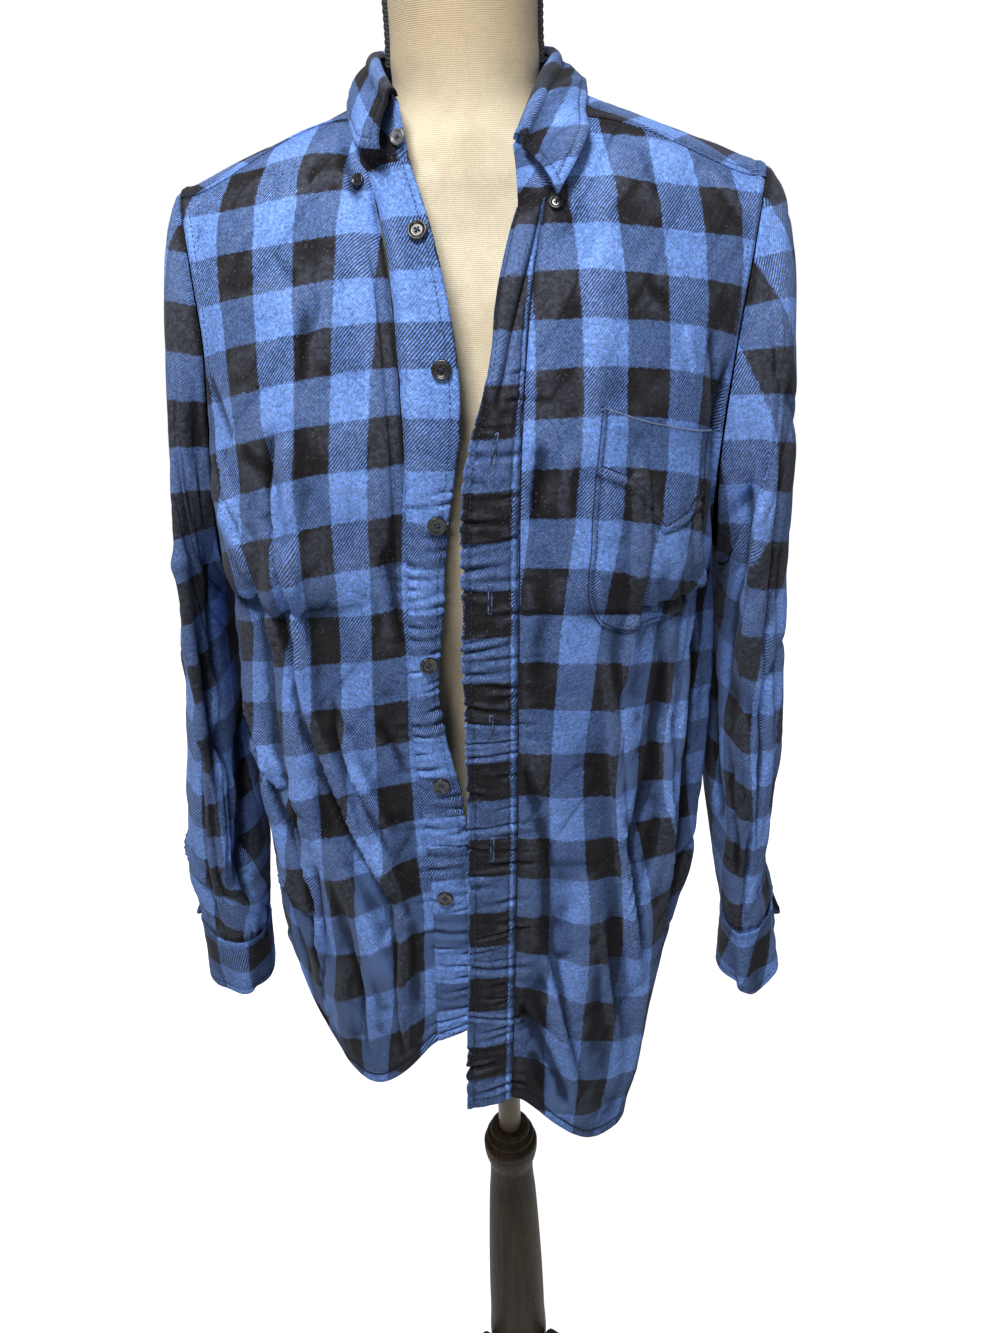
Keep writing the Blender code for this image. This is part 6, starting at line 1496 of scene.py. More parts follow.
def jersey():
    """Ribbed cream knit of the form, with painted shade: greyer and darker towards the top of the neck."""
    t = Tree("form_jersey")
    o = t.obj()
    x, y, z = t.xyz(o)
    wob = t.noise(t.scaled(o, 1.0, 1.0, 0.35), 60.0, 2.0)
    row = t.math("FRACT", t.math("ADD", t.math("MULTIPLY", z, 1/0.00115), t.math("MULTIPLY", wob, 1.6)))
    rib = t.range(t.math("ABSOLUTE", t.math("MULTIPLY_ADD", row, 2.0, -1.0)), 0.15, 0.85)
    fine = t.noise(t.scaled(o, 1.0, 1.0, 0.25), 1500.0, 2.0)
    cloud = t.noise(o, 22.0, 3.0, 0.6)
    mott = t.noise(o, 75.0, 3.0, 0.6)
    # painted shade: the colour darkens and clouds over towards the top of the neck
    high = t.range(z, 1.402, 1.49)
    col = t.mix(high, (0.800, 0.718, 0.548), (0.575, 0.462, 0.303))
    col = t.mix(t.math("MULTIPLY", t.range(cloud, 0.42, 0.70), t.range(high, 0.0, 1.0, 0.35, 0.75, smooth=False)), col, (0.520, 0.420, 0.285))
    col = t.mix(t.math("MULTIPLY", t.range(mott, 0.45, 0.65), 0.22), col, (0.620, 0.530, 0.380))
    k = t.math("MULTIPLY", t.range(rib, 0.0, 1.0, 0.84, 1.06, smooth=False), t.range(fine, 0.25, 0.75, 0.90, 1.08, smooth=False))
    col = t.mix(1.0, col, t.grey(k), "MULTIPLY")
    t.shade(Base_Color=col, Roughness=0.92, Normal=t.bump(t.math("ADD", rib, t.math("MULTIPLY", fine, 0.6)), 0.5, 0.0003))
    t.bsdf.inputs["Specular IOR Level"].default_value = 0.15
    t.bsdf.inputs["Sheen Weight"].default_value = 0.12
    return t.mat

def braid():
    t = Tree("black_braid")
    o = t.obj()
    x, y, z = t.xyz(o)
    a = t.math("FRACT", t.math("ADD", t.math("MULTIPLY", z, 420.0), t.math("MULTIPLY", t.math("ABSOLUTE", t.math("ADD", y, -SHIFT_Y)), 420.0)))
    rib = t.range(t.math("ABSOLUTE", t.math("MULTIPLY_ADD", a, 2.0, -1.0)), 0.1, 0.9)
    n = t.noise(o, 1200.0, 2.0)
    col = t.mix(t.math("MULTIPLY", rib, t.range(n, 0.3, 0.7)), (0.006, 0.006, 0.007), (0.045, 0.043, 0.042))
    t.shade(Base_Color=col, Roughness=0.8, Normal=t.bump(t.math("ADD", rib, n), 0.7, 0.0006))
    return t.mat

def wood():
    """Dark brown stained and lacquered wood."""
    t = Tree("dark_wood")
    o = t.obj()
    g = t.noise(t.scaled(o, 1.0, 1.0, 0.06), 160.0, 4.0, 0.6, 0.6)
    b = t.noise(o, 14.0, 2.0)
    w = t.noise(o, 420.0, 3.0, 0.65)
    col = t.mix(t.range(g, 0.35, 0.70), (0.013, 0.0078, 0.0030), (0.036, 0.022, 0.009))
    col = t.mix(t.math("MULTIPLY", t.range(b, 0.4, 0.7), 0.45), col, (0.034, 0.026, 0.018))
    col = t.mix(t.math("MULTIPLY", t.range(w, 0.66, 0.74), 0.30), col, (0.10, 0.075, 0.05))
    t.shade(Base_Color=col, Roughness=t.range(w, 0.3, 0.7, 0.48, 0.68), Normal=t.bump(t.math("ADD", g, t.math("MULTIPLY", w, 0.3)), 0.22, 0.0004))
    t.bsdf.inputs["Specular IOR Level"].default_value = 0.12
    t.bsdf.inputs["Coat Weight"].default_value = 0.0
    t.bsdf.inputs["Coat Roughness"].default_value = 0.35
    return t.mat

def pole_paint():
    """Beige painted tube, its colour darkened to paint in the shade it stands in under the shirt; rubbed and a little
    scratched along its length.
    """
    t = Tree("beige_pole")
    o = t.obj()
    s = t.noise(t.scaled(o, 1.0, 1.0, 0.05), 700.0, 3.0, 0.6)
    c = t.noise(o, 40.0, 3.0, 0.6)
    # painted shade: the beige is drawn about half as bright as it is
    col = t.mix(t.range(c, 0.35, 0.65), (0.112, 0.082, 0.047), (0.085, 0.060, 0.034))
    col = t.mix(t.math("MULTIPLY", t.range(s, 0.62, 0.70), 0.5), col, (0.085, 0.065, 0.042))
    t.shade(Base_Color=col, Roughness=t.range(s, 0.3, 0.7, 0.34, 0.52), Normal=t.bump(s, 0.15, 0.0002))
    t.bsdf.inputs["Specular IOR Level"].default_value = 0.30
    return t.mat

FLANNEL_M = flannel()
SEW_M = thread("navy_sewing_thread", (0.016, 0.024, 0.062), (0.045, 0.070, 0.165))
# near-black thread that paints the shadow in seams, hem folds and along the pocket
SEAM_SHADOW_M = thread("seam_shadow_thread", (0.0035, 0.0045, 0.010), (0.010, 0.014, 0.032))
# pale thread: the pocket's worn top edge together with a painted highlight along it
WORN_EDGE_HIGHLIGHT_M = thread("worn_blue_edge_highlight", (0.12, 0.17, 0.30), (0.24, 0.30, 0.44))
HOLE_M = thread("pale_buttonhole_thread", (0.10, 0.15, 0.29), (0.28, 0.36, 0.52))
HOLE_DARK_M = thread("blue_buttonhole_thread", (0.020, 0.032, 0.085), (0.05, 0.08, 0.19))
BUTTON_M = horn("black_button", (0.006, 0.006, 0.007), (0.022, 0.021, 0.022), 0.24)
STAND_BUTTON_M = horn("grey_stand_button", (0.10, 0.10, 0.105), (0.22, 0.22, 0.23), 0.26)
JERSEY_M = jersey()
BRAID_M = braid()
WOOD_M = wood()
POLE_M = pole_paint()

# ---------------------------------------------------------------------------
# Checks: where the squares fall, in squares (dark at whole numbers, blue between)
# ---------------------------------------------------------------------------
CHECK_L = table("u v across down", [
    ("row 0.25 col 1", 0.242, 0.022, 1, 0.25),
    ("row 1 col 1", 0.369, 0.078, 1, 1),
    ("row 1 col 2", 0.792, 0.050, 2, 1),
    ("row 1 col 0.25", 0.128, 0.088, 0.25, 1),
    ("row 0.5 col 0.5", 0.134, 0.041, 0.5, 0.5),
    ("row 0.5 col 1.5", 0.517, 0.025, 1.5, 0.5),
    ("row 1.5 col 0.5", 0.248, 0.116, 0.5, 1.5),
    ("row 1.5 col 1.5", 0.631, 0.100, 1.5, 1.5),
    ("row 2 col 0", 0.121, 0.154, 0, 2),
    ("row 2 col 1", 0.470, 0.141, 1, 2),
    ("row 2 col 2", 0.886, 0.141, 2, 2),
    ("row 2.5 col 0.5", 0.315, 0.176, 0.5, 2.5),
    ("row 2.5 col 1.5", 0.678, 0.172, 1.5, 2.5),
    ("row 2.5 col -0.25", 0.054, 0.188, -0.25, 2.5),
    ("row 3 col 0", 0.141, 0.213, 0, 3),
    ("row 3 col 1", 0.530, 0.204, 1, 3),
    ("row 3 col 2", 0.866, 0.219, 2, 3),
    ("row 3.5 col 0.5", 0.369, 0.238, 0.5, 3.5),
    ("row 3.5 col -0.25", 0.054, 0.251, -0.25, 3.5),
    ("row 4 col 0", 0.134, 0.276, 0, 4),
    ("row 4 col 1", 0.517, 0.276, 1, 4),
    ("row 4.5 col 0.5", 0.302, 0.304, 0.5, 4.5),
    ("row 4.5 col 1.5", 0.570, 0.313, 1.5, 4.5),
    ("row 5 col 0", 0.107, 0.345, 0, 5),
    ("row 5 col 1", 0.389, 0.342, 1, 5),
    ("row 5 col 2", 0.604, 0.364, 2, 5),
    ("row 5.5 col 0.5", 0.228, 0.382, 0.5, 5.5),
    ("row 5.5 col 1.5", 0.470, 0.392, 1.5, 5.5),
    ("row 5.5 col 2.5", 0.631, 0.404, 2.5, 5.5),
    ("row 6 col 0", 0.067, 0.423, 0, 6),
    ("row 6 col 1", 0.342, 0.426, 1, 6),
    ("row 6 col 2", 0.537, 0.445, 2, 6),
    ("row 6.5 col 0.5", 0.208, 0.473, 0.5, 6.5),
    ("row 6.5 col 1.5", 0.416, 0.470, 1.5, 6.5),
    ("row 6.5 col 2.5", 0.611, 0.486, 2.5, 6.5),
    ("row 7 col 0", 0.060, 0.514, 0, 7),
    ("row 7 col 1", 0.322, 0.530, 1, 7),
    ("row 7 col 2", 0.517, 0.530, 2, 7),
    ("row 7.5 col 0.5", 0.208, 0.577, 0.5, 7.5),
    ("row 7.5 col 1.5", 0.389, 0.564, 1.5, 7.5),
    ("row 7.5 col 2.5", 0.570, 0.574, 2.5, 7.5),
    ("row 8 col 0", 0.074, 0.611, 0, 8),
    ("row 8 col 1", 0.356, 0.643, 1, 8),
    ("row 8.5 col 0.5", 0.221, 0.683, 0.5, 8.5),
    ("row 8.5 col 1.5", 0.523, 0.655, 1.5, 8.5),
    ("row 9 col 0", 0.067, 0.702, 0, 9),
    ("row 9 col 1", 0.376, 0.752, 1, 9),
    ("row 9 col 2", 0.577, 0.705, 2, 9),
    ("row 9.5 col 0.5", 0.221, 0.787, 0.5, 9.5),
    ("row 10 col 0", 0.060, 0.809, 0, 10),
    ("row 10 col 1", 0.396, 0.859, 1, 10),
    ("row 10.5 col 0.5", 0.215, 0.893, 0.5, 10.5),
    ("row 10.5 col 1.5", 0.523, 0.890, 1.5, 10.5),
    ("row 11 col 0", 0.094, 0.925, 0, 11),
    ("row 11 col 1", 0.376, 0.966, 1, 11),
])
CHECK_R = table("u v across down", [
    ("row 1 col -1", 0.215, 0.082, -1, 1),
    ("row 1 col -2", 0.664, 0.025, -2, 1),
    ("row 1.5 col -0.5", 0.094, 0.116, -0.5, 1.5),
    ("row 1.5 col -1.5", 0.450, 0.100, -1.5, 1.5),
    ("row 1.5 col -2.25", 0.819, 0.060, -2.25, 1.5),
    ("row 0.5 col -1.5", 0.362, 0.019, -1.5, 0.5),
    ("row 2 col -0.25", 0.047, 0.147, -0.25, 2),
    ("row 2 col -1", 0.295, 0.144, -1, 2),
    ("row 2 col -2", 0.718, 0.116, -2, 2),
    ("row 2.5 col -0.5", 0.161, 0.172, -0.5, 2.5),
    ("row 2.5 col -1.5", 0.503, 0.163, -1.5, 2.5),
    ("row 2.5 col -2.5", 0.899, 0.154, -2.5, 2.5),
    ("row 3 col 0", 0.000, 0.204, 0, 3),
    ("row 3 col -1", 0.362, 0.197, -1, 3),
    ("row 3 col -2", 0.705, 0.194, -2, 3),
    ("row 3.5 col -0.5", 0.221, 0.223, -0.5, 3.5),
    ("row 3.5 col -1.5", 0.530, 0.226, -1.5, 3.5),
    ("row 3.5 col -2.5", 0.866, 0.235, -2.5, 3.5),
    ("row 4 col 0", 0.054, 0.257, 0, 4),
    ("row 4 col -1", 0.403, 0.254, -1, 4),
    ("row 4 col -2", 0.624, 0.263, -2, 4),
    ("row 4.5 col -0.5", 0.255, 0.282, -0.5, 4.5),
    ("row 4.5 col -1.5", 0.463, 0.285, -1.5, 4.5),
    ("row 4.5 col -2.5", 0.765, 0.298, -2.5, 4.5),
    ("row 5 col 0", 0.074, 0.320, 0, 5),
    ("row 5 col -1", 0.376, 0.317, -1, 5),
    ("row 5 col -2", 0.510, 0.317, -2, 5),
    ("row 5.5 col -0.5", 0.242, 0.348, -0.5, 5.5),
    ("row 5.5 col -2.5", 0.691, 0.364, -2.5, 5.5),
    ("row 6 col 0", 0.074, 0.389, 0, 6),
    ("row 6 col -1", 0.376, 0.395, -1, 6),
    ("row 6 col -2", 0.483, 0.389, -2, 6),
    ("row 6.5 col -0.5", 0.235, 0.445, -0.5, 6.5),
    ("row 6.5 col -2.5", 0.658, 0.451, -2.5, 6.5),
    ("row 7 col 0", 0.074, 0.480, 0, 7),
    ("row 7 col -1", 0.376, 0.495, -1, 7),
    ("row 7 col -2", 0.450, 0.480, -2, 7),
    ("row 7 col -3", 0.752, 0.498, -3, 7),
    ("row 7.5 col -0.5", 0.242, 0.549, -0.5, 7.5),
    ("row 7.5 col -2.5", 0.638, 0.545, -2.5, 7.5),
    ("row 8 col 0", 0.101, 0.589, 0, 8),
    ("row 8 col -1", 0.383, 0.608, -1, 8),
    ("row 8.5 col -0.5", 0.262, 0.668, -0.5, 8.5),
    ("row 9 col 0", 0.101, 0.687, 0, 9),
    ("row 9 col -1", 0.369, 0.708, -1, 9),
    ("row 9.5 col -0.5", 0.255, 0.771, -0.5, 9.5),
    ("row 10 col 0", 0.128, 0.799, 0, 10),
    ("row 10 col -1", 0.436, 0.837, -1, 10),
    ("row 10.5 col -0.5", 0.302, 0.893, -0.5, 10.5),
    ("row 11 col -1", 0.564, 0.991, -1, 11),
])
CHECK_BAND = table("u v across down", [
    ("row 1.5 col 0.5", 1.000, 0.107, 0.5, 1.5),
    ("row 2.5 col 0.5", 0.769, 0.177, 0.5, 2.5),
    ("row 3.5 col 0.5", 0.744, 0.228, 0.5, 3.5),
    ("row 4.5 col 0.5", 0.615, 0.289, 0.5, 4.5),
    ("row 5.5 col 0.5", 0.538, 0.353, 0.5, 5.5),
    ("row 6.5 col 0.5", 0.615, 0.432, 0.5, 6.5),
    ("row 7.5 col 0.5", 0.615, 0.532, 0.5, 7.5),
    ("row 8.5 col 0.5", 0.333, 0.633, 0.5, 8.5),
    ("row 9.5 col 0.5", 0.205, 0.725, 0.5, 9.5),
    ("row 10.5 col 0.5", 0.282, 0.844, 0.5, 10.5),
    ("row 11.5 col 0.5", 0.282, 0.967, 0.5, 11.5),
])
CHECK_PLACKET = table("u v across down", [
    ("row 3 col 0", 0.744, 0.224, 0, 3),
    ("row 4 col 0", 0.538, 0.290, 0, 4),
    ("row 5 col 0", 0.538, 0.358, 0, 5),
    ("row 6 col 0", 0.564, 0.437, 0, 6),
    ("row 7 col 0", 0.590, 0.518, 0, 7),
    ("row 8 col 0", 0.590, 0.611, 0, 8),
    ("row 9 col 0", 0.590, 0.701, 0, 9),
    ("row 10 col 0", 0.564, 0.791, 0, 10),
    ("row 11 col 0", 0.538, 0.910, 0, 11),
])
CHECK_SL = table("u v across down", [
    ("row 2.5 col 0.5", 0.286, 0.037, 0.5, 2.5),
    ("row 3.5 col 0.5", 0.195, 0.087, 0.5, 3.5),
    ("row 4 col 0", 0.123, 0.104, 0, 4),
    ("row 1.5 col 1.5", 0.368, 0.087, 1.5, 1.5),
    ("row 2.5 col 1.5", 0.591, 0.321, 1.5, 2.5),
    ("row 3.5 col 1.5", 0.609, 0.412, 1.5, 3.5),
    ("row 4.5 col 1.5", 0.245, 0.371, 1.5, 4.5),
    ("row 5.5 col 1.5", 0.241, 0.492, 1.5, 5.5),
    ("row 7 col 1", 0.223, 0.667, 1, 7),
    ("row 8 col 1", 0.209, 0.808, 1, 8),
    ("row 8.5 col 1.5", 0.345, 0.862, 1.5, 8.5),
])
CHECK_SR = table("u v across down", [
    ("row 1.5 col -0.25", 0.318, 0.025, -0.25, 1.5),
    ("row 0.5 col -0.45", 0.595, 0.129, -0.45, 0.5),
    ("row 2.5 col -0.25", 0.591, 0.317, -0.25, 2.5),
    ("row 3 col 0", 0.182, 0.050, 0, 3),
    ("row 3 col 0.25", 0.150, 0.000, 0.25, 3),
    ("row 4 col 0", 0.118, 0.192, 0, 4),
    ("row 5 col 0", 0.191, 0.400, 0, 5),
    ("row 5 col 0.25", 0.123, 0.392, 0.25, 5),
    ("row 5.5 col 0.5", 0.136, 0.462, 0.5, 5.5),
    ("row 6.5 col 0.5", 0.186, 0.583, 0.5, 6.5),
])

SQ_U, SQ_V = 6.0, 6.3           # one dark and one blue stripe, centimetres, across and down

def checks_from(tab, UV, reach=13.0, stiff=0.25, free=True):
    """Check coordinates of a flat piece that pass near the charted squares."""
    p = sample(UV, tab["u"], tab["v"])
    want = np.stack([tab["across"], tab["down"]], -1)
    base = UV/np.array([SQ_U, SQ_V])
    bp = p/np.array([SQ_U, SQ_V])
    if free:
        A = np.concatenate([p, np.ones((len(p), 1))], 1)
        prior = np.array([[1/SQ_U, 0], [0, 1/SQ_V], [0, 0]])
        W = np.diag([60.0, 60.0, 0.0])
        M = np.linalg.solve(A.T @ A + W, A.T @ want + W @ prior)
        base = UV @ M[:2] + M[2]
        bp = p @ M[:2] + M[2]
    else:
        off = (want - bp).mean(0)
        base, bp = base + off, bp + off
    r = want - bp
    d = np.linalg.norm(p[:, None] - p[None], axis=-1)
    K = np.exp(-(d/reach)**2)
    w = np.linalg.solve(K + stiff*np.eye(len(p)), r)
    out = base.copy()
    for q, ww in zip(p, w):
        out += np.exp(-(((UV - q)**2).sum(-1))/reach**2)[..., None]*ww
    return out

def down_from(tab, v, s):
    """Check rows of a band, charted by station, metric beyond the last charted row."""
    o = np.argsort(tab["v"])
    tv, td = tab["v"][o], tab["down"][o]
    rows = np.interp(v, tv, td)
    ts = np.interp(tv, v, s)
    rows = np.where(v < tv[0], td[0] - (ts[0] - s)/SQ_V, rows)
    return np.where(v > tv[-1], td[-1] + (s - ts[-1])/SQ_V, rows)

PIECES = {}         # name -> dict(P, sign, UV (cm), check)

def uvs(UV, check):
    return {"cloth": UV*CM, "check": check}

# stations and lengths along the front edges
VV = np.linspace(NECK_V, 1.0, 900)
EDGE_S = {side: np.concatenate([[0], np.cumsum(np.linalg.norm(np.diff(edge_point(side, VV), axis=0), axis=-1))])
          for side in ("left", "right")}
def edge_s(side, v):
    return np.where(v < NECK_V, -30*(NECK_V - v), np.interp(v, VV, EDGE_S[side]))

PUCKER = {
    "left": pucker_list(21, 10.5, 77.0, 0.95, 1.35, (0.65, 1.75), (0.07, 0.25)),
    "right": pucker_list(22, 20.0, 70.0, 0.80, 1.15, (0.55, 1.5), (0.05, 0.20)),
}

# --- fronts
NUF, NVF = 92, 268
for side in ("left", "right"):
    u, v = grid(NUF, NVF)
    P = front_points(side, u, v, [FINE_L if side == "left" else FINE_R])
    sign = away(P, (0, 2))
    UV, err = flatten(P, 13, 27)
    k = int(NECK_V*NVF) + 2
    UV = laid(UV, (slice(k, None), 0), flip=side == "right")
    # origin at the neck end of the edge seam
    UV = UV - UV[k, 0]
    across = arc(P, 1)
    wide = across[:, -1:]
    downs = arc(P, 0)
    hemd = downs[-1:] - downs
    s = edge_s(side, v)
    h = crumple(UV[..., 0], UV[..., 1], 31 if side == "left" else 47, 1.0)
    h = h * smooth(across, 0.0, 1.6) * smooth(wide - across, 0.0, 1.4) * smooth(downs, 0.1, 1.2) * (0.45 + 0.55*smooth(hemd, 0.0, 2.5))
    h = h + long_folds(u, v, LONG_L if side == "left" else LONG_R, (25.0, 80.0))*smooth(across, 0.0, 1.6)*smooth(wide - across, 0.0, 1.2)*(0.35 + 0.65*smooth(hemd, 0.0, 3.0))
    # gathers run out of the band into the panel
    g = pucker_height(s, 0*s, 3.4, PUCKER[side])
    h = h + g * np.exp(-(across/1.25)**2) * (0.8 if side == "left" else 0.6)
    # seams: a groove with raised lips at the band, the side and the armhole
    crisp = 1.0 if side == "left" else 0.4
    h = h - crisp*(0.12*np.exp(-(across/0.15)**2) - 0.05*np.exp(-((across - 0.34)/0.2)**2))
    far = wide - across
    h = h - 0.09*np.exp(-(far/0.16)**2) + 0.045*np.exp(-((far - 0.42)/0.26)**2)
    # armhole and side: small pulls along the seam
    h = h + 0.07*noise(downs, 0*downs + 3.0, 61, 1.3)*np.exp(-(far/0.9)**2)*smooth(far, 0.0, 0.25)
    # hem: turned up twice and stitched, gently waved
    h = h + 0.10*noise(UV[..., 0], 0*v, 71, 2.3)*(1 - smooth(hemd, 0.2, 2.4)) - 0.15*np.exp(-((hemd - 0.78)/0.19)**2) + 0.08*np.exp(-((hemd - 0.30)/0.30)**2)
    if side == "right":
        # the front rolls back from the button band's seam down to the chest
        h = h - 0.42*np.exp(-((across - 0.10)/0.42)**2)*(1 - smooth(s, 17, 25))*smooth(s, 0.5, 3.0)
        h = h + 0.30*np.exp(-((across - 1.25)/0.60)**2)*(1 - smooth(s, 17, 25))*smooth(s, 0.5, 3.0)
    else:
        # the body falls away behind the sleeve
        h = h - 1.20*np.exp(-((far - 0.80)/0.72)**2)*smooth(v, 0.17, 0.24)*(1 - smooth(v, 0.36, 0.44))*smooth(far, 0.0, 0.4)
    n = normals(P)*sign
    P = P + n*h[..., None]
    T = CLOTH_T + 0.13*(1 - smooth(hemd, 0.50, 0.72))
    # yoke seam: the front's top edge slips under the yoke
    check = checks_from(CHECK_L if side == "left" else CHECK_R, UV)
    PIECES["front_" + side] = dict(P=P, T=T, sign=sign, UV=UV, check=check, wide=wide, hemd=hemd, across=across, downs=downs)

# --- back
u, v = grid(132, 190, -1.0, 1.0, 0.0, 1.0)
P = back_points(u, v, [FINE_B])
sign = away(P, (0, 0))
UV, err = flatten(P, 23, 25)
mid = 66
UV = laid(UV, (slice(None), mid), flip=True)
across = arc(P, 1)
ends = np.minimum(across, across[:, -1:] - across)
downs = arc(P, 0)
hemd = downs[-1:] - downs
h = crumple(UV[..., 0], UV[..., 1], 83, 1.15)
h = h * smooth(ends, 0.0, 1.4) * smooth(downs, 0.1, 1.4) * (0.45 + 0.55*smooth(hemd, 0.0, 2.5))
h = h - 0.09*np.exp(-(ends/0.16)**2) + 0.045*np.exp(-((ends - 0.42)/0.26)**2)
h = h + 0.12*noise(UV[..., 0], 0*v, 91, 2.3)*(1 - smooth(hemd, 0.2, 2.4)) - 0.07*np.exp(-((hemd - 0.70)/0.13)**2)
P = P + (normals(P)*sign)*h[..., None]
T = CLOTH_T + 0.13*(1 - smooth(hemd, 0.50, 0.72))
PIECES["back"] = dict(P=P, T=T, sign=sign, UV=UV, check=UV/np.array([SQ_U, SQ_V]) + np.array([0.10, 0.35]),
                      wide=across[:, -1:], hemd=hemd, across=across, downs=downs)

# --- yoke
uy = np.concatenate([np.linspace(0, 0.31, 52), np.linspace(0.31, 0.69, 76)[1:], np.linspace(0.69, 1, 52)[1:]])
u, w = np.meshgrid(uy, np.linspace(0.0, 1.0, 44))
P = yoke_points(u, w)
sign = away(P, up=True)
start = np.stack([-P[..., 0], P[..., 1]], -1)*1.06
UV, err = flatten(P, 27, 8, start)
m = len(uy)//2
d = UV[-1, m] - UV[0, m]
t = math.atan2(d[0], d[1])
UV = UV - UV[0, m]
UV = np.stack([UV[..., 0]*math.cos(t) - UV[..., 1]*math.sin(t), UV[..., 0]*math.sin(t) + UV[..., 1]*math.cos(t)], -1)
wid = arc(P, 0)
rim = np.minimum(wid, wid[-1:] - wid)
lon = arc(P, 1)
rim2 = np.minimum(lon, lon[:, -1:] - lon)
h = crumple(UV[..., 0], UV[..., 1], 101, 0.9)*smooth(rim, 0, 1.2)*smooth(rim2, 0, 1.2)
out_d = wid[-1:] - wid
h = h + 0.07*np.exp(-((out_d - 0.30)/0.22)**2) - 0.06*np.exp(-((out_d - 0.62)/0.12)**2) + 0.05
h = h + 0.05*np.exp(-((rim2 - 0.28)/0.2)**2) - 0.05*np.exp(-((rim2 - 0.60)/0.12)**2)
P = P + (normals(P)*sign)*h[..., None]
PIECES["yoke"] = dict(P=P, T=np.full(P.shape[:2], CLOTH_T + 0.03), sign=sign, UV=UV,
                      check=UV/np.array([SQ_U, SQ_V]) + np.array([0.20, 0.30]), us=uy)

# --- front bands
BAND_W = {"left": 3.5, "right": 3.0}
for side, name in (("left", "placket"), ("right", "button_band")):
    rows = 560 if side == "left" else 460
    w, v = grid(26 if side == "left" else 20, rows, 0.0, 1.0, NECK_V, 1.0)
    P = band_points(side, w, v)
    sign = away(P, (0, 2))
    width = BAND_W[side]
    s = edge_s(side, v)
    x = w*width
    h = pucker_height(s, x, width, PUCKER[side])
    soft = smooth(s, 1.5, 12)
    h = h + 0.05*noise(x, s, 121, 1.1)*soft + 0.035*noise(x, s*1.6, 122, 0.55)*soft
    # stitched lines near the seam and the free edge, cloth proud between them
    in_l, out_l = 0.55, width - 0.50
    crisp = 1.0 if side == "left" else 0.35
    h = h - crisp*(0.085*np.exp(-((x - in_l)/0.12)**2) + 0.075*np.exp(-((x - out_l)/0.12)**2))
    h = h - 0.10*crisp*np.exp(-(x/0.13)**2)
    h = h + crisp*(0.05*np.exp(-((x - 0.26)/0.16)**2) + 0.05*np.exp(-((x - width + 0.18)/0.2)**2))
    if side == "left":
        # above the chest the free half rolls back over the band and leaves a deep hollow
        k = np.interp(s, [0, 2.9, 6.0, 8.4, 10.2, 11.7], [0.45, 0.60, 1.20, 1.95, 2.20, 2.35])
        top = smooth(s, -0.2, 1.5)*(1 - smooth(s, 10.6, 12.6))
        h = h - 0.60*top*np.exp(-((x - k)/0.30)**2)
        h = h + 0.42*top*np.exp(-((x - (k + width)/2 - 0.1)/(0.42*(width - k)))**2)
    else:
        h = h - 0.30*np.exp(-(x/0.40)**2)*(1 - smooth(s, 16, 24))*smooth(s, 0.5, 3.0)
    # the free edge waves with the gathers
    wave = pucker_height(s, x, width, PUCKER[side])*0.9*smooth(x/width, 0.5, 1.0)
    n = normals(P)*sign
    P = P + n*h[..., None]
    P[..., 0] += (-1 if side == "left" else 1)*(wave + 0.05*noise(0*s, s, 125, 1.4)*smooth(x/width, 0.6, 1.0)*soft)
    hemd = (arc(P, 0)[-1:] - arc(P, 0))
    P = P - (normals(P)*sign)*(0.06*np.exp(-((hemd - 0.75)/0.12)**2))[..., None]
    T = np.full(P.shape[:2], DOUBLE_T) + 0.06*(1 - smooth(hemd, 0.55, 0.75))
    T = T*(1 - 0.35*np.exp(-(x/0.15)**2))
    U = -x if side == "left" else x
    UV = np.stack([U, s], -1)
    if side == "left":
        cu = (U + 0.55*width)/SQ_U
        cv = down_from(CHECK_PLACKET, v[:, 0], s[:, 0])[:, None] + 0*w
    else:
        cu = 0.25 + U/SQ_U + 0.01
        cv = down_from(CHECK_BAND, v[:, 0], s[:, 0])[:, None] + 0*w
    PIECES[name] = dict(P=P, T=T, sign=sign, UV=UV, check=np.stack([cu, cv], -1), x=x, s=s)

# --- pocket, cut to match the front's squares
F = PIECES["front_left"]
a, d = grid(84, 92)
pu, pv = pocket_stations(a, d)
base = sample(F["P"], pu, pv)
nn = sample(normals(F["P"])*F["sign"], pu, pv)
nn /= np.linalg.norm(nn, axis=-1, keepdims=True)
# rounded foot: the lower corners are already in the table; lift follows the edge
da = arc(base, 1)
dd = arc(base, 0)
e = np.minimum(np.minimum(da, da[:, -1:] - da), dd[-1:] - dd)
lift = 0.165 + 0.10*smooth(e, 0.3, 0.9) + 0.05*(1 - smooth(dd, 0.0, 1.2)) - 0.075*np.exp(-((e - 0.34)/0.12)**2)
# stitched facing and the two soft upright folds
vee = np.interp(a, [0, 0.28, 0.55, 0.76, 1.0], [0.245, 0.275, 0.46, 0.40, 0.245])*dd[-1:]
lift = lift - 0.10*np.exp(-((dd - vee - 0.10)/0.20)**2) + 0.10*np.exp(-((dd - vee + 0.32)/0.25)**2)
lift = lift + 0.16*np.exp(-((a - 0.40 - 0.10*d)/0.035)**2)*smooth(d, 0.40, 0.55)*(1 - smooth(d, 0.86, 0.97))
lift = lift + 0.14*np.exp(-((a - 0.86 - 0.03*d)/0.030)**2)*smooth(d, 0.36, 0.5)*(1 - smooth(d, 0.86, 0.97))
lift = lift - 0.09*np.exp(-((a - 0.62 + 0.05*d)/0.06)**2)*smooth(d, 0.55, 0.7)*(1 - smooth(d, 0.9, 0.98))
UVp = sample(F["UV"], pu, pv)
lift = lift + 0.045*noise(UVp[..., 0], UVp[..., 1], 141, 1.4)*smooth(e, 0.2, 1.0)
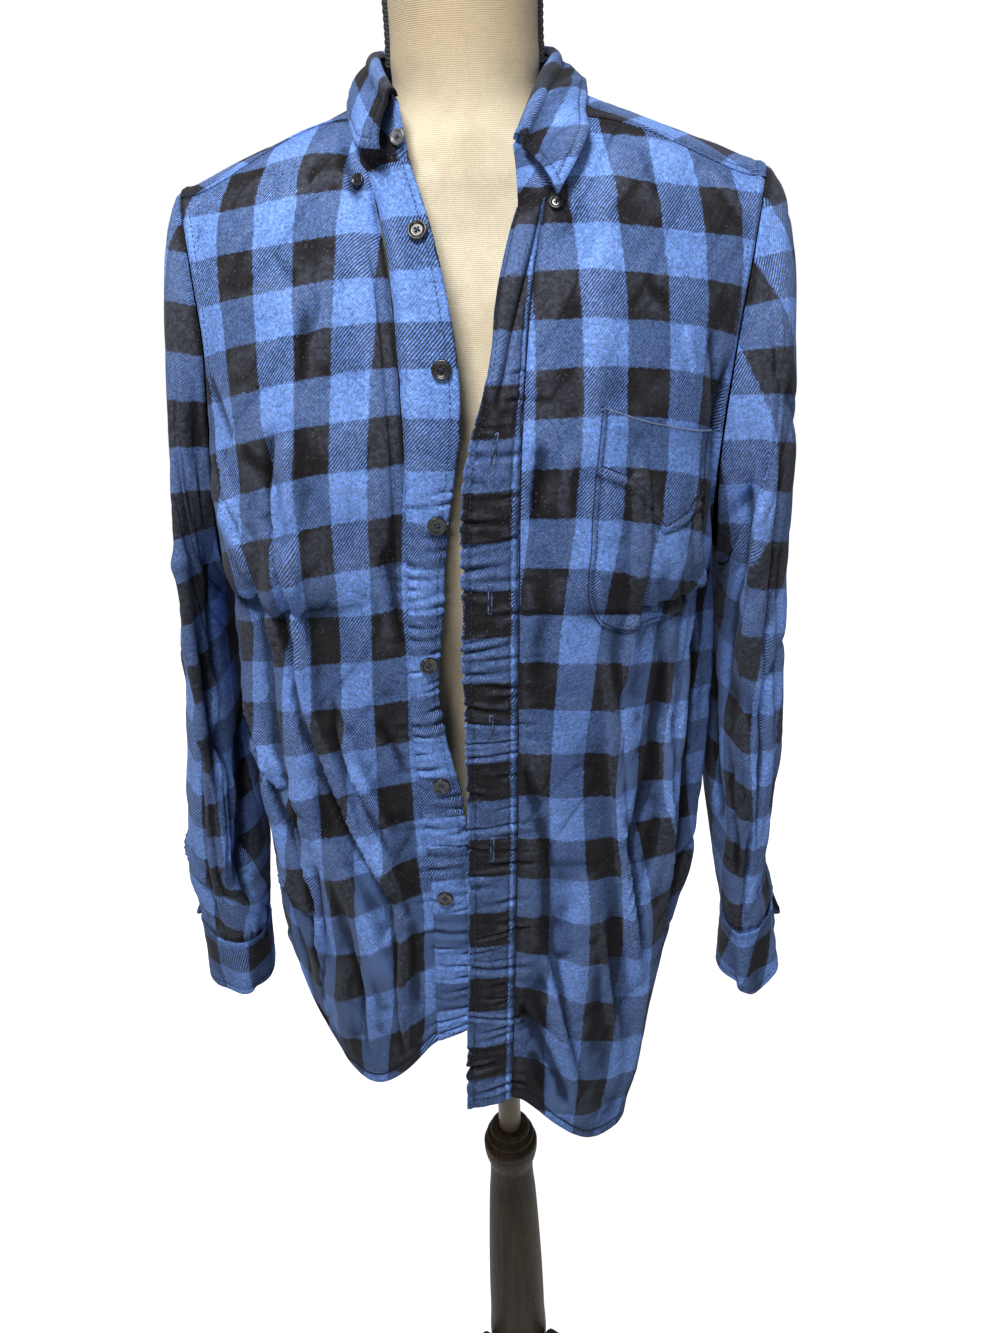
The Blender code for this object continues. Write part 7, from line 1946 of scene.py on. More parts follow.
lift = lift + 0.10*smooth(1 - dd/1.6, 0, 1)*np.sin(np.pi*a)*0.8      # top edge stands off a little
P = base + nn*lift[..., None]
PIECES["pocket"] = dict(P=P, T=np.full(P.shape[:2], 0.13) + 0.05*(1 - smooth(dd, 0.0, 0.15)), sign=F["sign"],
                        UV=UVp, check=sample(F["check"], pu, pv), e=e)

# --- sleeves
NSL, NRL = 126, 160
for side in ("left", "right"):
    ss = np.linspace(SLIT_S, SLIT_S + 1, NSL)
    j = int(np.argmin(np.abs(ss - 1.0)))
    ss[j] = 1.0
    rr = np.unique(np.concatenate([np.linspace(0, 1, NRL), [SLIT_R]]))
    s, r = np.meshgrid(ss, rr)
    folds = [FINE_SL if side == "left" else FINE_SR, FINE_SB]
    P = sleeve_points(side, s, r, folds)
    mids = P[:, :-1].mean(axis=1)
    n = normals(P)
    sign = 1.0 if ((P - P.mean(axis=1, keepdims=True))*n).sum(-1).mean() > 0 else -1.0
    # lay flat from underarm to underarm
    s0, r0 = np.meshgrid(np.linspace(0, 1, 129), np.linspace(0, 1, 161))
    Q = sleeve_points(side, s0, r0, folds)
    flat, err = flatten(Q, 21, 21)
    toright = 1.0
    # sleeve stations run underarm, front, top, back; seen from outside on the wearer's left that is right to left or left to right
    flat = laid(flat, (slice(16, None), 64), flip=False)
    du = flat[80, 70] - flat[80, 58]
    dq = Q[80, 70] - Q[80, 58]
    dv = Q[90, 64] - Q[70, 64]
    o = Q[80, 64] - Q[80].mean(axis=0)
    if np.dot(np.cross(dq*np.sign(du[0]), dv), o) > 0:
        flat[..., 0] = -flat[..., 0]
    chk = checks_from(CHECK_SL if side == "left" else CHECK_SR, flat, 16.0, 0.5, False)
    def at(G, shift):
        return sample(G, np.clip(s - shift, 0, 1), r)
    UVa, UVb = at(flat, 0.0), at(flat, 1.0)
    Ca, Cb = at(chk, 0.0), at(chk, 1.0)
    sm = np.mod(s, 1.0)
    under = np.minimum(sm, 1 - sm)
    downs = arc(P, 0)
    left_d = downs[-1:] - downs
    h = crumple(sm*38.0, r*60.0, 151 if side == "left" else 163, 1.1)*smooth(under, 0.0, 0.05)
    h = h*smooth(downs, 0.1, 1.3)*(0.5 + 0.5*smooth(left_d, 0.0, 2.0))
    # gathers into the cuff
    gat = 0.16*noise(sm*38.0*1.05, r*2.0, 171, 0.75) + 0.08*noise(sm*38.0*2.2, r*2.0, 173, 0.8)
    h = h + gat*(1 - smooth(left_d, 0.0, 4.5))**1.5*smooth(under, 0.0, 0.03)
    # armhole seam
    h = h + 0.07*np.exp(-((downs - 0.45)/0.28)**2) - 0.08*np.exp(-(downs/0.16)**2)
    h = h + 0.08*noise(sm*60.0, 0*r, 175, 1.2)*np.exp(-(downs/1.2)**2)*smooth(downs, 0, 0.3)*smooth(under, 0.0, 0.03)
    # underarm seam
    h = h - 0.05*np.exp(-(under*38.0/0.15)**2)
    P = P + (normals(P)*sign)*h[..., None]
    # the gathered end is tucked into the cuff
    tuck = (normals(P)*sign)[-1]
    for k, (drop, deep) in enumerate(((0.95, 0.24), (0.60, 0.23), (0.28, 0.19), (0.08, 0.08))):
        P[-1-k] = P[-1-k] - tuck*deep - np.array([0, 0, drop])
    close = int((rr <= SLIT_R + 1e-9).sum())
    P[:close, -1] = P[:close, 0]
    PIECES["sleeve_" + side] = dict(P=P, T=np.full(P.shape[:2], CLOTH_T), sign=sign, UV=UVa, check=Ca,
                                    UVb=UVb, checkb=Cb, cut=j, close=close, area=flat_area(flat), ext=np.ptp(flat.reshape(-1, 2), axis=0))

# --- cuffs
CHECK_CUFF = {
    "right": table("u v across down", [
        ("front top",    0.655, 0.05, 0.50, -0.45), ("front",       0.658, 0.20, 0.50,  0.00),
        ("front low",    0.700, 0.68, 0.50,  0.42), ("front outer", 0.805, 0.40, 0.05,  0.00),
        ("front inner",  0.490, 0.34, 1.00,  0.05), ("inner low",   0.483, 0.80, 1.00,  0.48),
    ]),
    "left": table("u v across down", [
        ("front",        0.544, 0.55, 0.50,  0.10), ("front outer", 0.758, 0.42, 1.00, -0.10),
        ("outer",        0.852, 0.45, 1.50, -0.05), ("inner",       0.456, 0.35, 0.15, -0.12),
        ("front low",    0.638, 0.96, 0.80,  0.45),
    ]),
}
for side in ("left", "right"):
    c, h = grid(150, 32)
    # rounded lower corners
    e = np.minimum(c, 1 - c)
    k = np.clip((0.085 - e)/0.085, 0, 1)
    hh = h*(1 - 0.30*(1 - np.sqrt(np.clip(1 - k*k, 0, 1))))
    P = cuff_points(side, c, hh)
    L = arc(P, 1)
    mid = P[0].mean(axis=0)
    sign = away(P, mid[:2])
    D = arc(P, 0)
    edge = np.minimum(np.minimum(L, L[:, -1:] - L), np.minimum(D, D[-1:] - D))
    b = 0.06*noise(L, D, 181 if side == "left" else 187, 2.0) + 0.04*noise(L, D, 183, 0.9)
    b = b + 0.10*noise(L*1.6, 0*D, 189, 1.0)*np.exp(-(D/1.2)**2)
    b = b - 0.06*np.exp(-((edge - 0.55)/0.12)**2) + 0.03*np.exp(-((edge - 0.2)/0.15)**2)
    P = P + (normals(P)*sign)*b[..., None]
    U = L if True else -L
    q = P[16, 76] - P[16, 74]
    dv = P[20, 75] - P[12, 75]
    o = P[16, 75] - P[16].mean(axis=0)
    U = L if np.dot(np.cross(q, dv), o) < 0 else -L
    UV = np.stack([U, D], -1)
    PIECES["cuff_" + side] = dict(P=P, T=np.full(P.shape[:2], DOUBLE_T), sign=sign, UV=UV,
                                  check=checks_from(CHECK_CUFF[side], UV, 9.0, 0.05, False), edge=edge, c=c, h=h)

# --- collar
c, h = grid(220, 22)
P = stand_points(c, h)
sign = away(P, (0, 0))
L, D = arc(P, 1), arc(P, 0)
b = 0.05*noise(L, D, 201, 1.6)*smooth(D, 0, 0.5) + 0.03*noise(L, D, 203, 0.7)*smooth(D, 0, 0.4)
b = b - 0.05*np.exp(-((D - 0.35)/0.10)**2)
P = P + (normals(P)*sign)*b[..., None]
for k, drop in ((0, 0.26), (1, 0.10)):
    P[k] = P[k] + (normals(P)*sign)[k]*0.05 - np.array([0, 0, drop])
U = L if np.dot(np.cross(P[10, 112] - P[10, 108], P[4, 110] - P[16, 110]), P[10, 110] - np.array([0, 0, P[10, 110, 2]])) < 0 else -L
UV = np.stack([U, D[-1:] - D], -1)
PIECES["collar_stand"] = dict(P=P, T=np.full(P.shape[:2], DOUBLE_T), sign=sign, UV=UV,
                              check=UV[..., ::1]/np.array([SQ_U, SQ_V]) + np.array([0.35, 0.30]))
c, h = grid(240, 52)
h = h**1.15
P = leaf_points(c, h)
sign = away(P, (0, 0))
L, D = arc(P, 1), arc(P, 0)
edge = np.minimum(np.minimum(L, L[:, -1:] - L), D[-1:] - D)
b = 0.07*noise(L, D, 211, 2.2) + 0.045*noise(L, D, 213, 1.0)
b = b*smooth(D, 0.0, 0.6)
b = b - 0.06*np.exp(-((edge - 0.60)/0.12)**2) + 0.035*np.exp(-((edge - 0.22)/0.16)**2)
P = P + (normals(P)*sign)*b[..., None]
U = L if np.dot(np.cross(P[30, 122] - P[30, 118], P[40, 120] - P[20, 120]), P[30, 120] - np.array([0, 0, P[30, 120, 2]])) < 0 else -L
UV = np.stack([U, D], -1)
CHECK_LEAF = table("u v across down", [
    ("left side",    0.828, 0.29, 3.00, 1.00), ("left front",   0.921, 0.39, 3.50, 1.00),
    ("left point",   0.979, 0.39, 4.00, 1.05), ("left edge",    0.820, 0.55, 3.02, 1.34),
    ("left edge low",0.904, 0.67, 3.45, 1.48), ("left tip",     0.958, 0.76, 3.90, 1.52),
    ("right fold",   0.209, 0.04, -1.00, 0.85), ("right front", 0.079, 0.27, -1.55, 1.02),
    ("right low",    0.071, 0.67, -1.55, 1.30), ("right side",  0.163, 0.59, -1.10, 1.30),
])
PIECES["collar_leaf"] = dict(P=P, T=np.full(P.shape[:2], DOUBLE_T + 0.02), sign=sign, UV=UV,
                             check=checks_from(CHECK_LEAF, UV*np.array([1.0 if U[0, -1] > 0 else -1.0, 1.0]), 7.0, 0.05, False), edge=edge)

# --- build the shells
for name, d in PIECES.items():
    pair = None
    if "cut" in d:
        pair = (d["cut"], {"cloth": d["UVb"]*CM, "check": d["checkb"]})
    ob = shell(name + "_cloth", d["P"], d["T"], FLANNEL_M, d["sign"], uvs(d["UV"], d["check"]),
               close_rows=d.get("close", 0), uv_pair=pair)
    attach(ob, "root")
    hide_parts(name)

# ---------------------------------------------------------------------------
# Threads
# ---------------------------------------------------------------------------
def by_distance(name, key, value, lo=0.0, hi=1.0, count=400, along="v", start_at=0.0, end_at=1.0):
    """Line of points across the columns (along v) or rows (along u) at a given distance value."""
    d = PIECES[name]
    G = d[key]
    rows, cols = G.shape
    if along == "v":
        vs = np.linspace(start_at, end_at, count)
        us = []
        for t in vs:
            k = t*(rows-1)
            i = min(int(k), rows-2)
            row = G[i]*(1-(k-i)) + G[i+1]*(k-i)
            us.append(np.interp(value, row if row[-1] > row[0] else row[::-1], np.linspace(0, 1, cols) if row[-1] > row[0] else np.linspace(1, 0, cols)))
        return np.array(us), vs
    us = np.linspace(start_at, end_at, count)
    vs = []
    for t in us:
        k = t*(cols-1)
        i = min(int(k), cols-2)
        colm = G[:, i]*(1-(k-i)) + G[:, i+1]*(k-i)
        vs.append(np.interp(value, colm if colm[-1] > colm[0] else colm[::-1], np.linspace(0, 1, rows) if colm[-1] > colm[0] else np.linspace(1, 0, rows)))
    return us, np.array(vs)

def on(name, us, vs, extra=0.0):
    d = PIECES[name]
    t = sample(np.broadcast_to(d["T"], d["P"].shape[:2])[..., None], us, vs)[..., 0]
    n = normals(d["P"])*d["sign"]
    q = sample(d["P"], us, vs)
    m = sample(n, us, vs)
    m = m/np.linalg.norm(m, axis=-1, keepdims=True)
    return q + m*(t/2 + extra)[..., None], m

SUNK = 0.004
body, collar, cuffs, pocket = [], [], [], []
# bands: a row beside the seam and one beside the free edge
for name, width in (("placket", 3.5), ("button_band", 3.0)):
    vs = np.linspace(0.0, 1.0, 900)
    for x in ((0.55, width - 0.50) if name == "placket" else (width - 0.50,)):
        body.append(on(name, np.full_like(vs, x/width), vs, SUNK))
    # across the foot, along the hem
    us = np.linspace(0.03, 0.97, 40)
    k = 1 - 0.72/EDGE_S["left" if name == "placket" else "right"][-1]
    body.append(on(name, us, np.full_like(us, k), SUNK))
# hems
for name in ("front_left", "front_right", "back"):
    us, vs = by_distance(name, "hemd", 0.70, along="u", count=500, start_at=0.01, end_at=0.99)
    body.append(on(name, us, vs, SUNK))
# fronts and back beside the yoke seam: on the yoke, just above its edge
for u_at, keep in ((0.004, 0), (0.996, 0)):
    pass
Y = PIECES["yoke"]
rows, cols = Y["P"].shape[:2]
wline = np.linspace(0.04, 0.985, 120)
for uu in (0.60, ):
    for end in (0, 1):
        lon = arc(Y["P"], 1)
        dist = lon if end == 0 else lon[:, -1:] - lon
        us = []
        for t in wline:
            k = t*(rows-1); i = min(int(k), rows-2)
            r = dist[i]*(1-(k-i)) + dist[i+1]*(k-i)
            us.append(np.interp(uu, r, np.linspace(0, 1, cols)) if end == 0 else np.interp(uu, r[::-1], np.linspace(1, 0, cols)))
        body.append(on("yoke", np.array(us), wline, SUNK))
lonu = np.linspace(0, 1, cols)
us = np.linspace(0.0, 1.0, 600)
wid = arc(Y["P"], 0)
vs = []
for t in us:
    k = t*(cols-1); i = min(int(k), cols-2)
    c_ = wid[:, i]*(1-(k-i)) + wid[:, i+1]*(k-i)
    vs.append(np.interp(c_[-1] - 0.62, c_, np.linspace(0, 1, rows)))
body.append(on("yoke", us, np.array(vs), SUNK))
# armhole: topstitched on the body side
for side in ("left", "right"):
    us, vs = by_distance("front_" + side, "across", 0.0, along="v", count=10)
    d = PIECES["front_" + side]
    far = d["wide"] - d["across"]
    vs = np.linspace(0.0, 0.36, 160)
    us = []
    rws = far.shape[0]
    for t in vs:
        k = t*(rws-1); i = min(int(k), rws-2)
        r = far[i]*(1-(k-i)) + far[i+1]*(k-i)
        us.append(np.interp(0.62, r[::-1], np.linspace(1, 0, len(r))))
    body.append(on("front_" + side, np.array(us), vs, SUNK))
    d = PIECES["back"]
    acr = d["across"]
    far = (d["wide"] - acr) if side == "left" else acr
    us = []
    rws = far.shape[0]
    for t in vs:
        k = t*(rws-1); i = min(int(k), rws-2)
        r = far[i]*(1-(k-i)) + far[i+1]*(k-i)
        if side == "left":
            us.append(np.interp(0.62, r[::-1], np.linspace(1, 0, len(r))))
        else:
            us.append(np.interp(0.62, r, np.linspace(0, 1, len(r))))
    body.append(on("back", np.array(us), vs, SUNK))
thread_piece("stitches_body", body, SEW_M, seed=5)
# painted shadow: near-black thread lines stand in for the shadow in the placket's edge seam, along the pocket's edges
# and facing, and in the rolled hems
us, vs = by_distance("front_left", "across", 0.10, along="v", count=900, start_at=0.14, end_at=0.99)
shadow_lines = [on("front_left", us, vs, 0.010)]
side_d, foot = np.linspace(0.02, 0.93, 200), np.linspace(0.03, 0.97, 160)
shadow_lines.append(on("pocket", np.full(200, 0.004), side_d, -0.03))
shadow_lines.append(on("pocket", foot, np.full(160, 0.995), -0.03))
va = np.linspace(0.03, 0.97, 200)
shadow_lines.append(on("pocket", va, np.interp(va, [0, 0.28, 0.55, 0.76, 1.0], [0.245, 0.275, 0.46, 0.40, 0.245]), -0.012))
for name in ("front_left", "front_right", "back"):
    us, vs = by_distance(name, "hemd", 0.80, along="u", count=500, start_at=0.01, end_at=0.99)
    shadow_lines.append(on(name, us, vs, -0.006))

# collar
for x in (0.60,):
    d = PIECES["collar_leaf"]
    Lf = arc(d["P"], 1)
    D = arc(d["P"], 0)
    us, vs = [], []
    rows, cols = D.shape
    # free edge
    for t in np.linspace(0.012, 0.988, 400):
        k = t*(cols-1); i = min(int(k), cols-2)
        c_ = D[:, i]*(1-(k-i)) + D[:, i+1]*(k-i)
        us.append(t); vs.append(np.interp(c_[-1] - x, c_, np.linspace(0, 1, rows)))
    collar.append(on("collar_leaf", np.array(us), np.array(vs), SUNK))
    for end in (0, 1):
        us, vs = [], []
        for t in np.linspace(0.10, 0.96, 60):
            k = t*(rows-1); i = min(int(k), rows-2)
            r_ = Lf[i]*(1-(k-i)) + Lf[i+1]*(k-i)
            us.append(np.interp(x, r_, np.linspace(0, 1, cols)) if end == 0 else np.interp(r_[-1]-x, r_, np.linspace(0, 1, cols)))
            vs.append(t)
        collar.append(on("collar_leaf", np.array(us), np.array(vs), SUNK))
    d = PIECES["collar_stand"]
    D = arc(d["P"], 0)
    us = np.linspace(0.01, 0.99, 400)
    collar.append(on("collar_stand", us, np.full_like(us, 0.12), SUNK))
thread_piece("stitches_collar", collar, SEW_M, seed=6)

# cuffs
for side in ("left", "right"):
    name = "cuff_" + side
    d = PIECES[name]
    L, D = arc(d["P"], 1), arc(d["P"], 0)
    rows, cols = D.shape
    us = np.linspace(0.02, 0.98, 300)
    for which in (0, 1):
        vs = []
        for t in us:
            k = t*(cols-1); i = min(int(k), cols-2)
            c_ = D[:, i]*(1-(k-i)) + D[:, i+1]*(k-i)
            vs.append(np.interp(0.55 if which == 0 else c_[-1] - 0.55, c_, np.linspace(0, 1, rows)))
        cuffs.append(on(name, us, np.array(vs), SUNK))
    for end in (0, 1):
        vs = np.linspace(0.08, 0.9, 40)
        us2 = []
        for t in vs:
            k = t*(rows-1); i = min(int(k), rows-2)
            r_ = L[i]*(1-(k-i)) + L[i+1]*(k-i)
            us2.append(np.interp(0.55, r_, np.linspace(0, 1, cols)) if end == 0 else np.interp(r_[-1]-0.55, r_, np.linspace(0, 1, cols)))
        cuffs.append(on(name, np.array(us2), vs, SUNK))
thread_piece("stitches_cuffs", cuffs, SEW_M, seed=7)

# pocket
POCKET_EDGE = table("a d", [("top left", 0.045, 0.02), ("left", 0.045, 0.45), ("low left", 0.05, 0.84), ("corner l", 0.10, 0.935),
    ("foot l", 0.26, 0.965), ("foot r", 0.74, 0.965), ("corner r", 0.90, 0.935), ("low right", 0.95, 0.84), ("right", 0.955, 0.45), ("top right", 0.955, 0.02)])
POCKET_V = table("a d", [("left", 0.045, 0.245), ("a", 0.28, 0.275), ("point", 0.55, 0.46), ("b", 0.76, 0.40), ("right", 0.955, 0.245)])
POCKET_V2 = table("a d", [("left", 0.045, 0.285), ("a", 0.27, 0.315), ("point", 0.55, 0.505), ("b", 0.77, 0.44), ("right", 0.955, 0.285)])
for tab in (POCKET_EDGE, POCKET_V, POCKET_V2):
    k = np.concatenate([[0], np.cumsum(np.hypot(np.diff(tab["a"])*9.5, np.diff(tab["d"])*12.5))])
    t = np.linspace(0, k[-1], 260)
    pocket.append(on("pocket", np.interp(t, k, tab["a"]), np.interp(t, k, tab["d"]), SUNK))
thread_piece("stitches_pocket", pocket, SEW_M, seed=8)

# buttonholes: worked with pale thread, frayed at the top one
HOLES = table("v", [("one", 0.247), ("two", 0.347), ("three", 0.4615), ("four", 0.600), ("five", 0.739)])
pale, deep = [], []
for n_, vv in enumerate(HOLES["v"]):
    s0 = float(edge_s("left", np.array(vv)))
    for k in np.arange(-0.95, 0.96, 0.085):
        ss = s0 + k
        v_ = (np.interp(ss, EDGE_S["left"], VV) - NECK_V)/(1 - NECK_V)
        for off in (-0.10, 0.10):
            w_ = (1.78 + off)/3.5
            a_, na = on("placket", np.array([w_ - 0.020, w_ + 0.020]), np.array([v_, v_]), 0.012)
            deep.append((a_, na))
            if math.sin(k*5.0 + n_*2.1 + off*14.0) > 0.10:
                v2 = (np.interp(np.array([ss - 0.075, ss + 0.075]), EDGE_S["left"], VV) - NECK_V)/(1 - NECK_V)
                pale.append(on("placket", np.array([w_ + 0.004, w_ - 0.004]), v2, 0.022))
    for end in (-1, 1):
        for off in (-0.06, 0.05):
            v_ = (np.interp(s0 + end*np.array([0.93, 1.06]), EDGE_S["left"], VV) - NECK_V)/(1 - NECK_V)
            w_ = (1.78 + off)/3.5
            pale.append(on("placket", np.array([w_, w_]), v_, 0.016))
s0 = float(edge_s("left", np.array(HOLES["v"][0])))
t = np.linspace(0, 1, 30)
v_ = (np.interp(s0 + 0.6 + 2.0*t, EDGE_S["left"], VV) - NECK_V)/(1 - NECK_V)
pale.append(on("placket", (1.78 - 0.25*np.sin(t*7)*t)/3.5, v_, 0.03 + 0.0*t))
def short(lines, radius, seed):
    out = []
    for P_, N_ in lines:
        out.append((P_, N_))
    return out
def solid_threads(name, lines, mat, radius):
    """Each line becomes one thread along its whole length."""
    V, F = [], []
    for P_, N_ in lines:
        k = len(P_)
        t_ = np.gradient(P_, axis=0)
        t_ /= np.linalg.norm(t_, axis=-1, keepdims=True) + 1e-9
        w_ = np.cross(N_, t_)
        base = sum(len(x) for x in V)
        ringed = np.stack([P_ + N_*radius, P_ + w_*radius, P_ - N_*radius, P_ - w_*radius], 1)
        V.append(ringed.reshape(-1, 3))
        for i in range(k - 1):
            for q in range(4):
                r = (q+1) % 4
                F.append((base+4*i+q, base+4*i+r, base+4*i+4+r, base+4*i+4+q))
        F.append((base+3, base+2, base+1, base))
        F.append((base+4*k-4, base+4*k-3, base+4*k-2, base+4*k-1))
    return new_mesh(name, place(np.concatenate(V)), F, mat, smooth_angle=None)
solid_threads("buttonhole_thread_pale", pale, HOLE_M, 0.024)
solid_threads("buttonhole_thread_blue", deep, HOLE_DARK_M, 0.026)
# mark left by the missing seventh button
# painted shadow lines in the seams, the hems and round the pocket
solid_threads("seam_shadow_lines", shadow_lines, SEAM_SHADOW_M, 0.055)
# pale line along the pocket's top edge: worn edge and painted highlight
solid_threads("pocket_edge_wear_highlight", [on("pocket", np.linspace(0.01, 0.99, 200), np.full(200, 0.006), 0.0)], WORN_EDGE_HIGHLIGHT_M, 0.045)
P0, N0 = on("button_band", np.array([0.55]), np.array([(0.905 - NECK_V)/(1 - NECK_V)]), 0.02)
mark = []
for dx, dz, ax, az in ((-0.10, 0.05, 0.16, 0.05), (0.06, -0.04, 0.12, -0.10), (0.0, 0.0, -0.06, 0.14), (-0.05, -0.10, 0.14, 0.0)):
    q = P0[0] + np.array([dx, 0, dz])
    mark.append((np.array([q - np.array([ax, 0, az])/2, q + np.array([ax, 0, az])/2]), np.stack([N0[0], N0[0]])))
solid_threads("seventh_button_mark", mark, SEW_M, 0.03)
for n_ in ("stitches_body", "stitches_collar", "stitches_cuffs", "stitches_pocket", "buttonhole_thread_pale",
           "buttonhole_thread_blue", "seventh_button_mark", "seam_shadow_lines", "pocket_edge_wear_highlight"):
    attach(bpy.data.objects[n_], "root")

# ---------------------------------------------------------------------------
# Buttons: turned rim, dished middle, four holes and their thread
# ---------------------------------------------------------------------------
BUTTON_R, BUTTON_T = 0.62, 0.28
BUTTONS_V = table("v w", [("first", 0.136, 0.74), ("second", 0.216, 0.74), ("third", 0.3066, 0.72),
    ("fourth", 0.4215, 0.62), ("fifth", 0.566, 0.56), ("sixth", 0.727, 0.34)])

def button_piece(node, p, n, radius, lift, mat, turn, threads=True, thread_mat=None):
    t = BUTTON_T*radius/BUTTON_R
    n = np.asarray(n, float)/np.linalg.norm(n)
    c = np.asarray(p, float) + n*(lift + t*0.5)
    ref = np.array([0, 0, 1.0]) if abs(n[2]) < 0.9 else np.array([1.0, 0, 0])
    ex = np.cross(ref, n); ex /= np.linalg.norm(ex)
    ey = np.cross(n, ex)
    ca, sa = math.cos(turn), math.sin(turn)
    ex, ey = ex*ca + ey*sa, -ex*sa + ey*ca
    R_, S_ = 30, 56
    rad = np.concatenate([np.linspace(0.02, 0.56, 17), np.linspace(0.60, 1.0, R_-17)])
    ang = np.linspace(0, 2*np.pi, S_, endpoint=False)
    aa, rr_ = np.meshgrid(ang, rad)
    prof = np.interp(rr_, [0, 0.45, 0.58, 0.68, 0.76, 0.84, 0.92, 0.97, 1.0], [0.22, 0.20, 0.20, 0.30, 0.43, 0.49, 0.44, 0.30, 0.10])
    hole = np.zeros_like(rr_)
    hx, hy = rr_*np.cos(aa), rr_*np.sin(aa)
    for q in range(4):
        b_ = math.pi/4 + q*math.pi/2
        dist = np.hypot(hx - 0.245*math.cos(b_), hy - 0.245*math.sin(b_))
        hole = np.maximum(hole, 1 - smooth(dist, 0.065, 0.115))
    z = prof - 0.55*hole
    top = [(hx, hy, z)]
    V = [np.array([0.0, 0.0, 0.22])]
    V += list(np.stack([hx, hy, z], -1).reshape(-1, 3))
    low = [(0.99, -0.20), (0.90, -0.46), (0.55, -0.50), (0.02, -0.50)]
    for r_, z_ in low:
        V += [np.array([r_*math.cos(a_), r_*math.sin(a_), z_]) for a_ in ang]
    V.append(np.array([0.0, 0.0, -0.50]))
    F = [(0, 1+k, 1+(k+1) % S_) for k in range(S_)]
    total = R_ + len(low)
    for i in range(total - 1):
        for k in range(S_):
            m = (k+1) % S_
            a0, a1 = 1 + i*S_ + k, 1 + i*S_ + m
            F.append((a0, a0 + S_, a1 + S_, a1))
    last = 1 + (total-1)*S_
    F += [(last + k, len(V)-1, last + (k+1) % S_) for k in range(S_)]
    V = np.array(V)
    W = c + np.outer(V[:, 0]*radius, ex) + np.outer(V[:, 1]*radius, ey) + np.outer(V[:, 2]*t, n)
    ob = new_mesh(node + "_turned", place(W), F, mat, smooth_angle=38.0)
    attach(ob, "root")
    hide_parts(node)
    if threads:
        lines = []
        for a_, b_ in ((0, 2), (1, 3)):
            pa = math.pi/4 + a_*math.pi/2
            pb = math.pi/4 + b_*math.pi/2
            k = np.linspace(0, 1, 9)
            for off in (-0.035, 0.035):
                x_ = 0.245*(math.cos(pa)*(1-k) + math.cos(pb)*k) - off*math.sin(pa)
                y_ = 0.245*(math.sin(pa)*(1-k) + math.sin(pb)*k) + off*math.cos(pa)
                z_ = 0.24 + 0.16*np.sin(np.pi*k)*(1.0 if a_ else 1.25)
                z_[0] = z_[-1] = -0.1
                Q = c + np.outer(x_*radius, ex) + np.outer(y_*radius, ey) + np.outer(z_*t, n)
                lines.append((Q, np.repeat(n[None], 9, 0)))
        # shank of thread down to the cloth
        for q in range(3):
            a_ = q*2.1
            foot = c + (ex*math.cos(a_) + ey*math.sin(a_))*0.07*radius*2 - n*t*0.45
            lines.append((np.array([foot, foot - n*(lift + 0.03)]), np.stack([ex, ex])))
        th = solid_threads(node + "_thread", lines, thread_mat or SEW_M, 0.028*radius/BUTTON_R)
        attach(th, "root")
    return ob

def spot(name, u, v):
    q, m = on(name, np.array([u]), np.array([v]), 0.0)
    return q[0], m[0]

band = "button_band"
for k, (vv, ww) in enumerate(zip(BUTTONS_V["v"], BUTTONS_V["w"])):
    # the cloth under a button lies flat: take the button's seat from the smooth band
    G = band_points("right", *grid(20, 200, 0, 1, NECK_V, 1.0))
    q = sample(G, np.array(ww), np.array((vv - NECK_V)/(1 - NECK_V)))
    m = sample(normals(G)*away(G, (0, 2)), np.array(ww), np.array((vv - NECK_V)/(1 - NECK_V)))
    m = m/np.linalg.norm(m)
    button_piece("front_button_%d" % (k+1), q + m*(DOUBLE_T/2), m, BUTTON_R, 0.08, BUTTON_M, 0.3 + 0.7*k)
G = stand_points(*grid(65, 9))
q = sample(G, np.array(0.012), np.array(0.35))
m = sample(normals(G)*away(G, (0, 0)), np.array(0.012), np.array(0.35))
m /= np.linalg.norm(m)
m = m if m[1] < 0 else -m
button_piece("collar_stand_button", q + m*(DOUBLE_T/2), m, 0.50, 0.08, STAND_BUTTON_M, 0.4)
for side, uu, vv in (("left", 0.052, 0.090), ("right", 0.050, 0.092)):
    G = front_points(side, *grid(60, 120))
    q = sample(G, np.array(uu), np.array(vv))
    m = sample(normals(G)*away(G, (0, 2)), np.array(uu), np.array(vv))
    m /= np.linalg.norm(m)
    button_piece("collar_point_button_" + side, q + m*(CLOTH_T/2), m, 0.42, 0.07, BUTTON_M, 0.9)
for side in ("left", "right"):
    G = cuff_points(side, *grid(60, 12))
    q = sample(G, np.array(0.10), np.array(0.5))
    m = sample(normals(G)*away(G, G[0].mean(axis=0)[:2]), np.array(0.10), np.array(0.5))
    m /= np.linalg.norm(m)
    button_piece("cuff_button_" + side, q + m*(DOUBLE_T/2), m, 0.50, 0.08, BUTTON_M, 0.5)

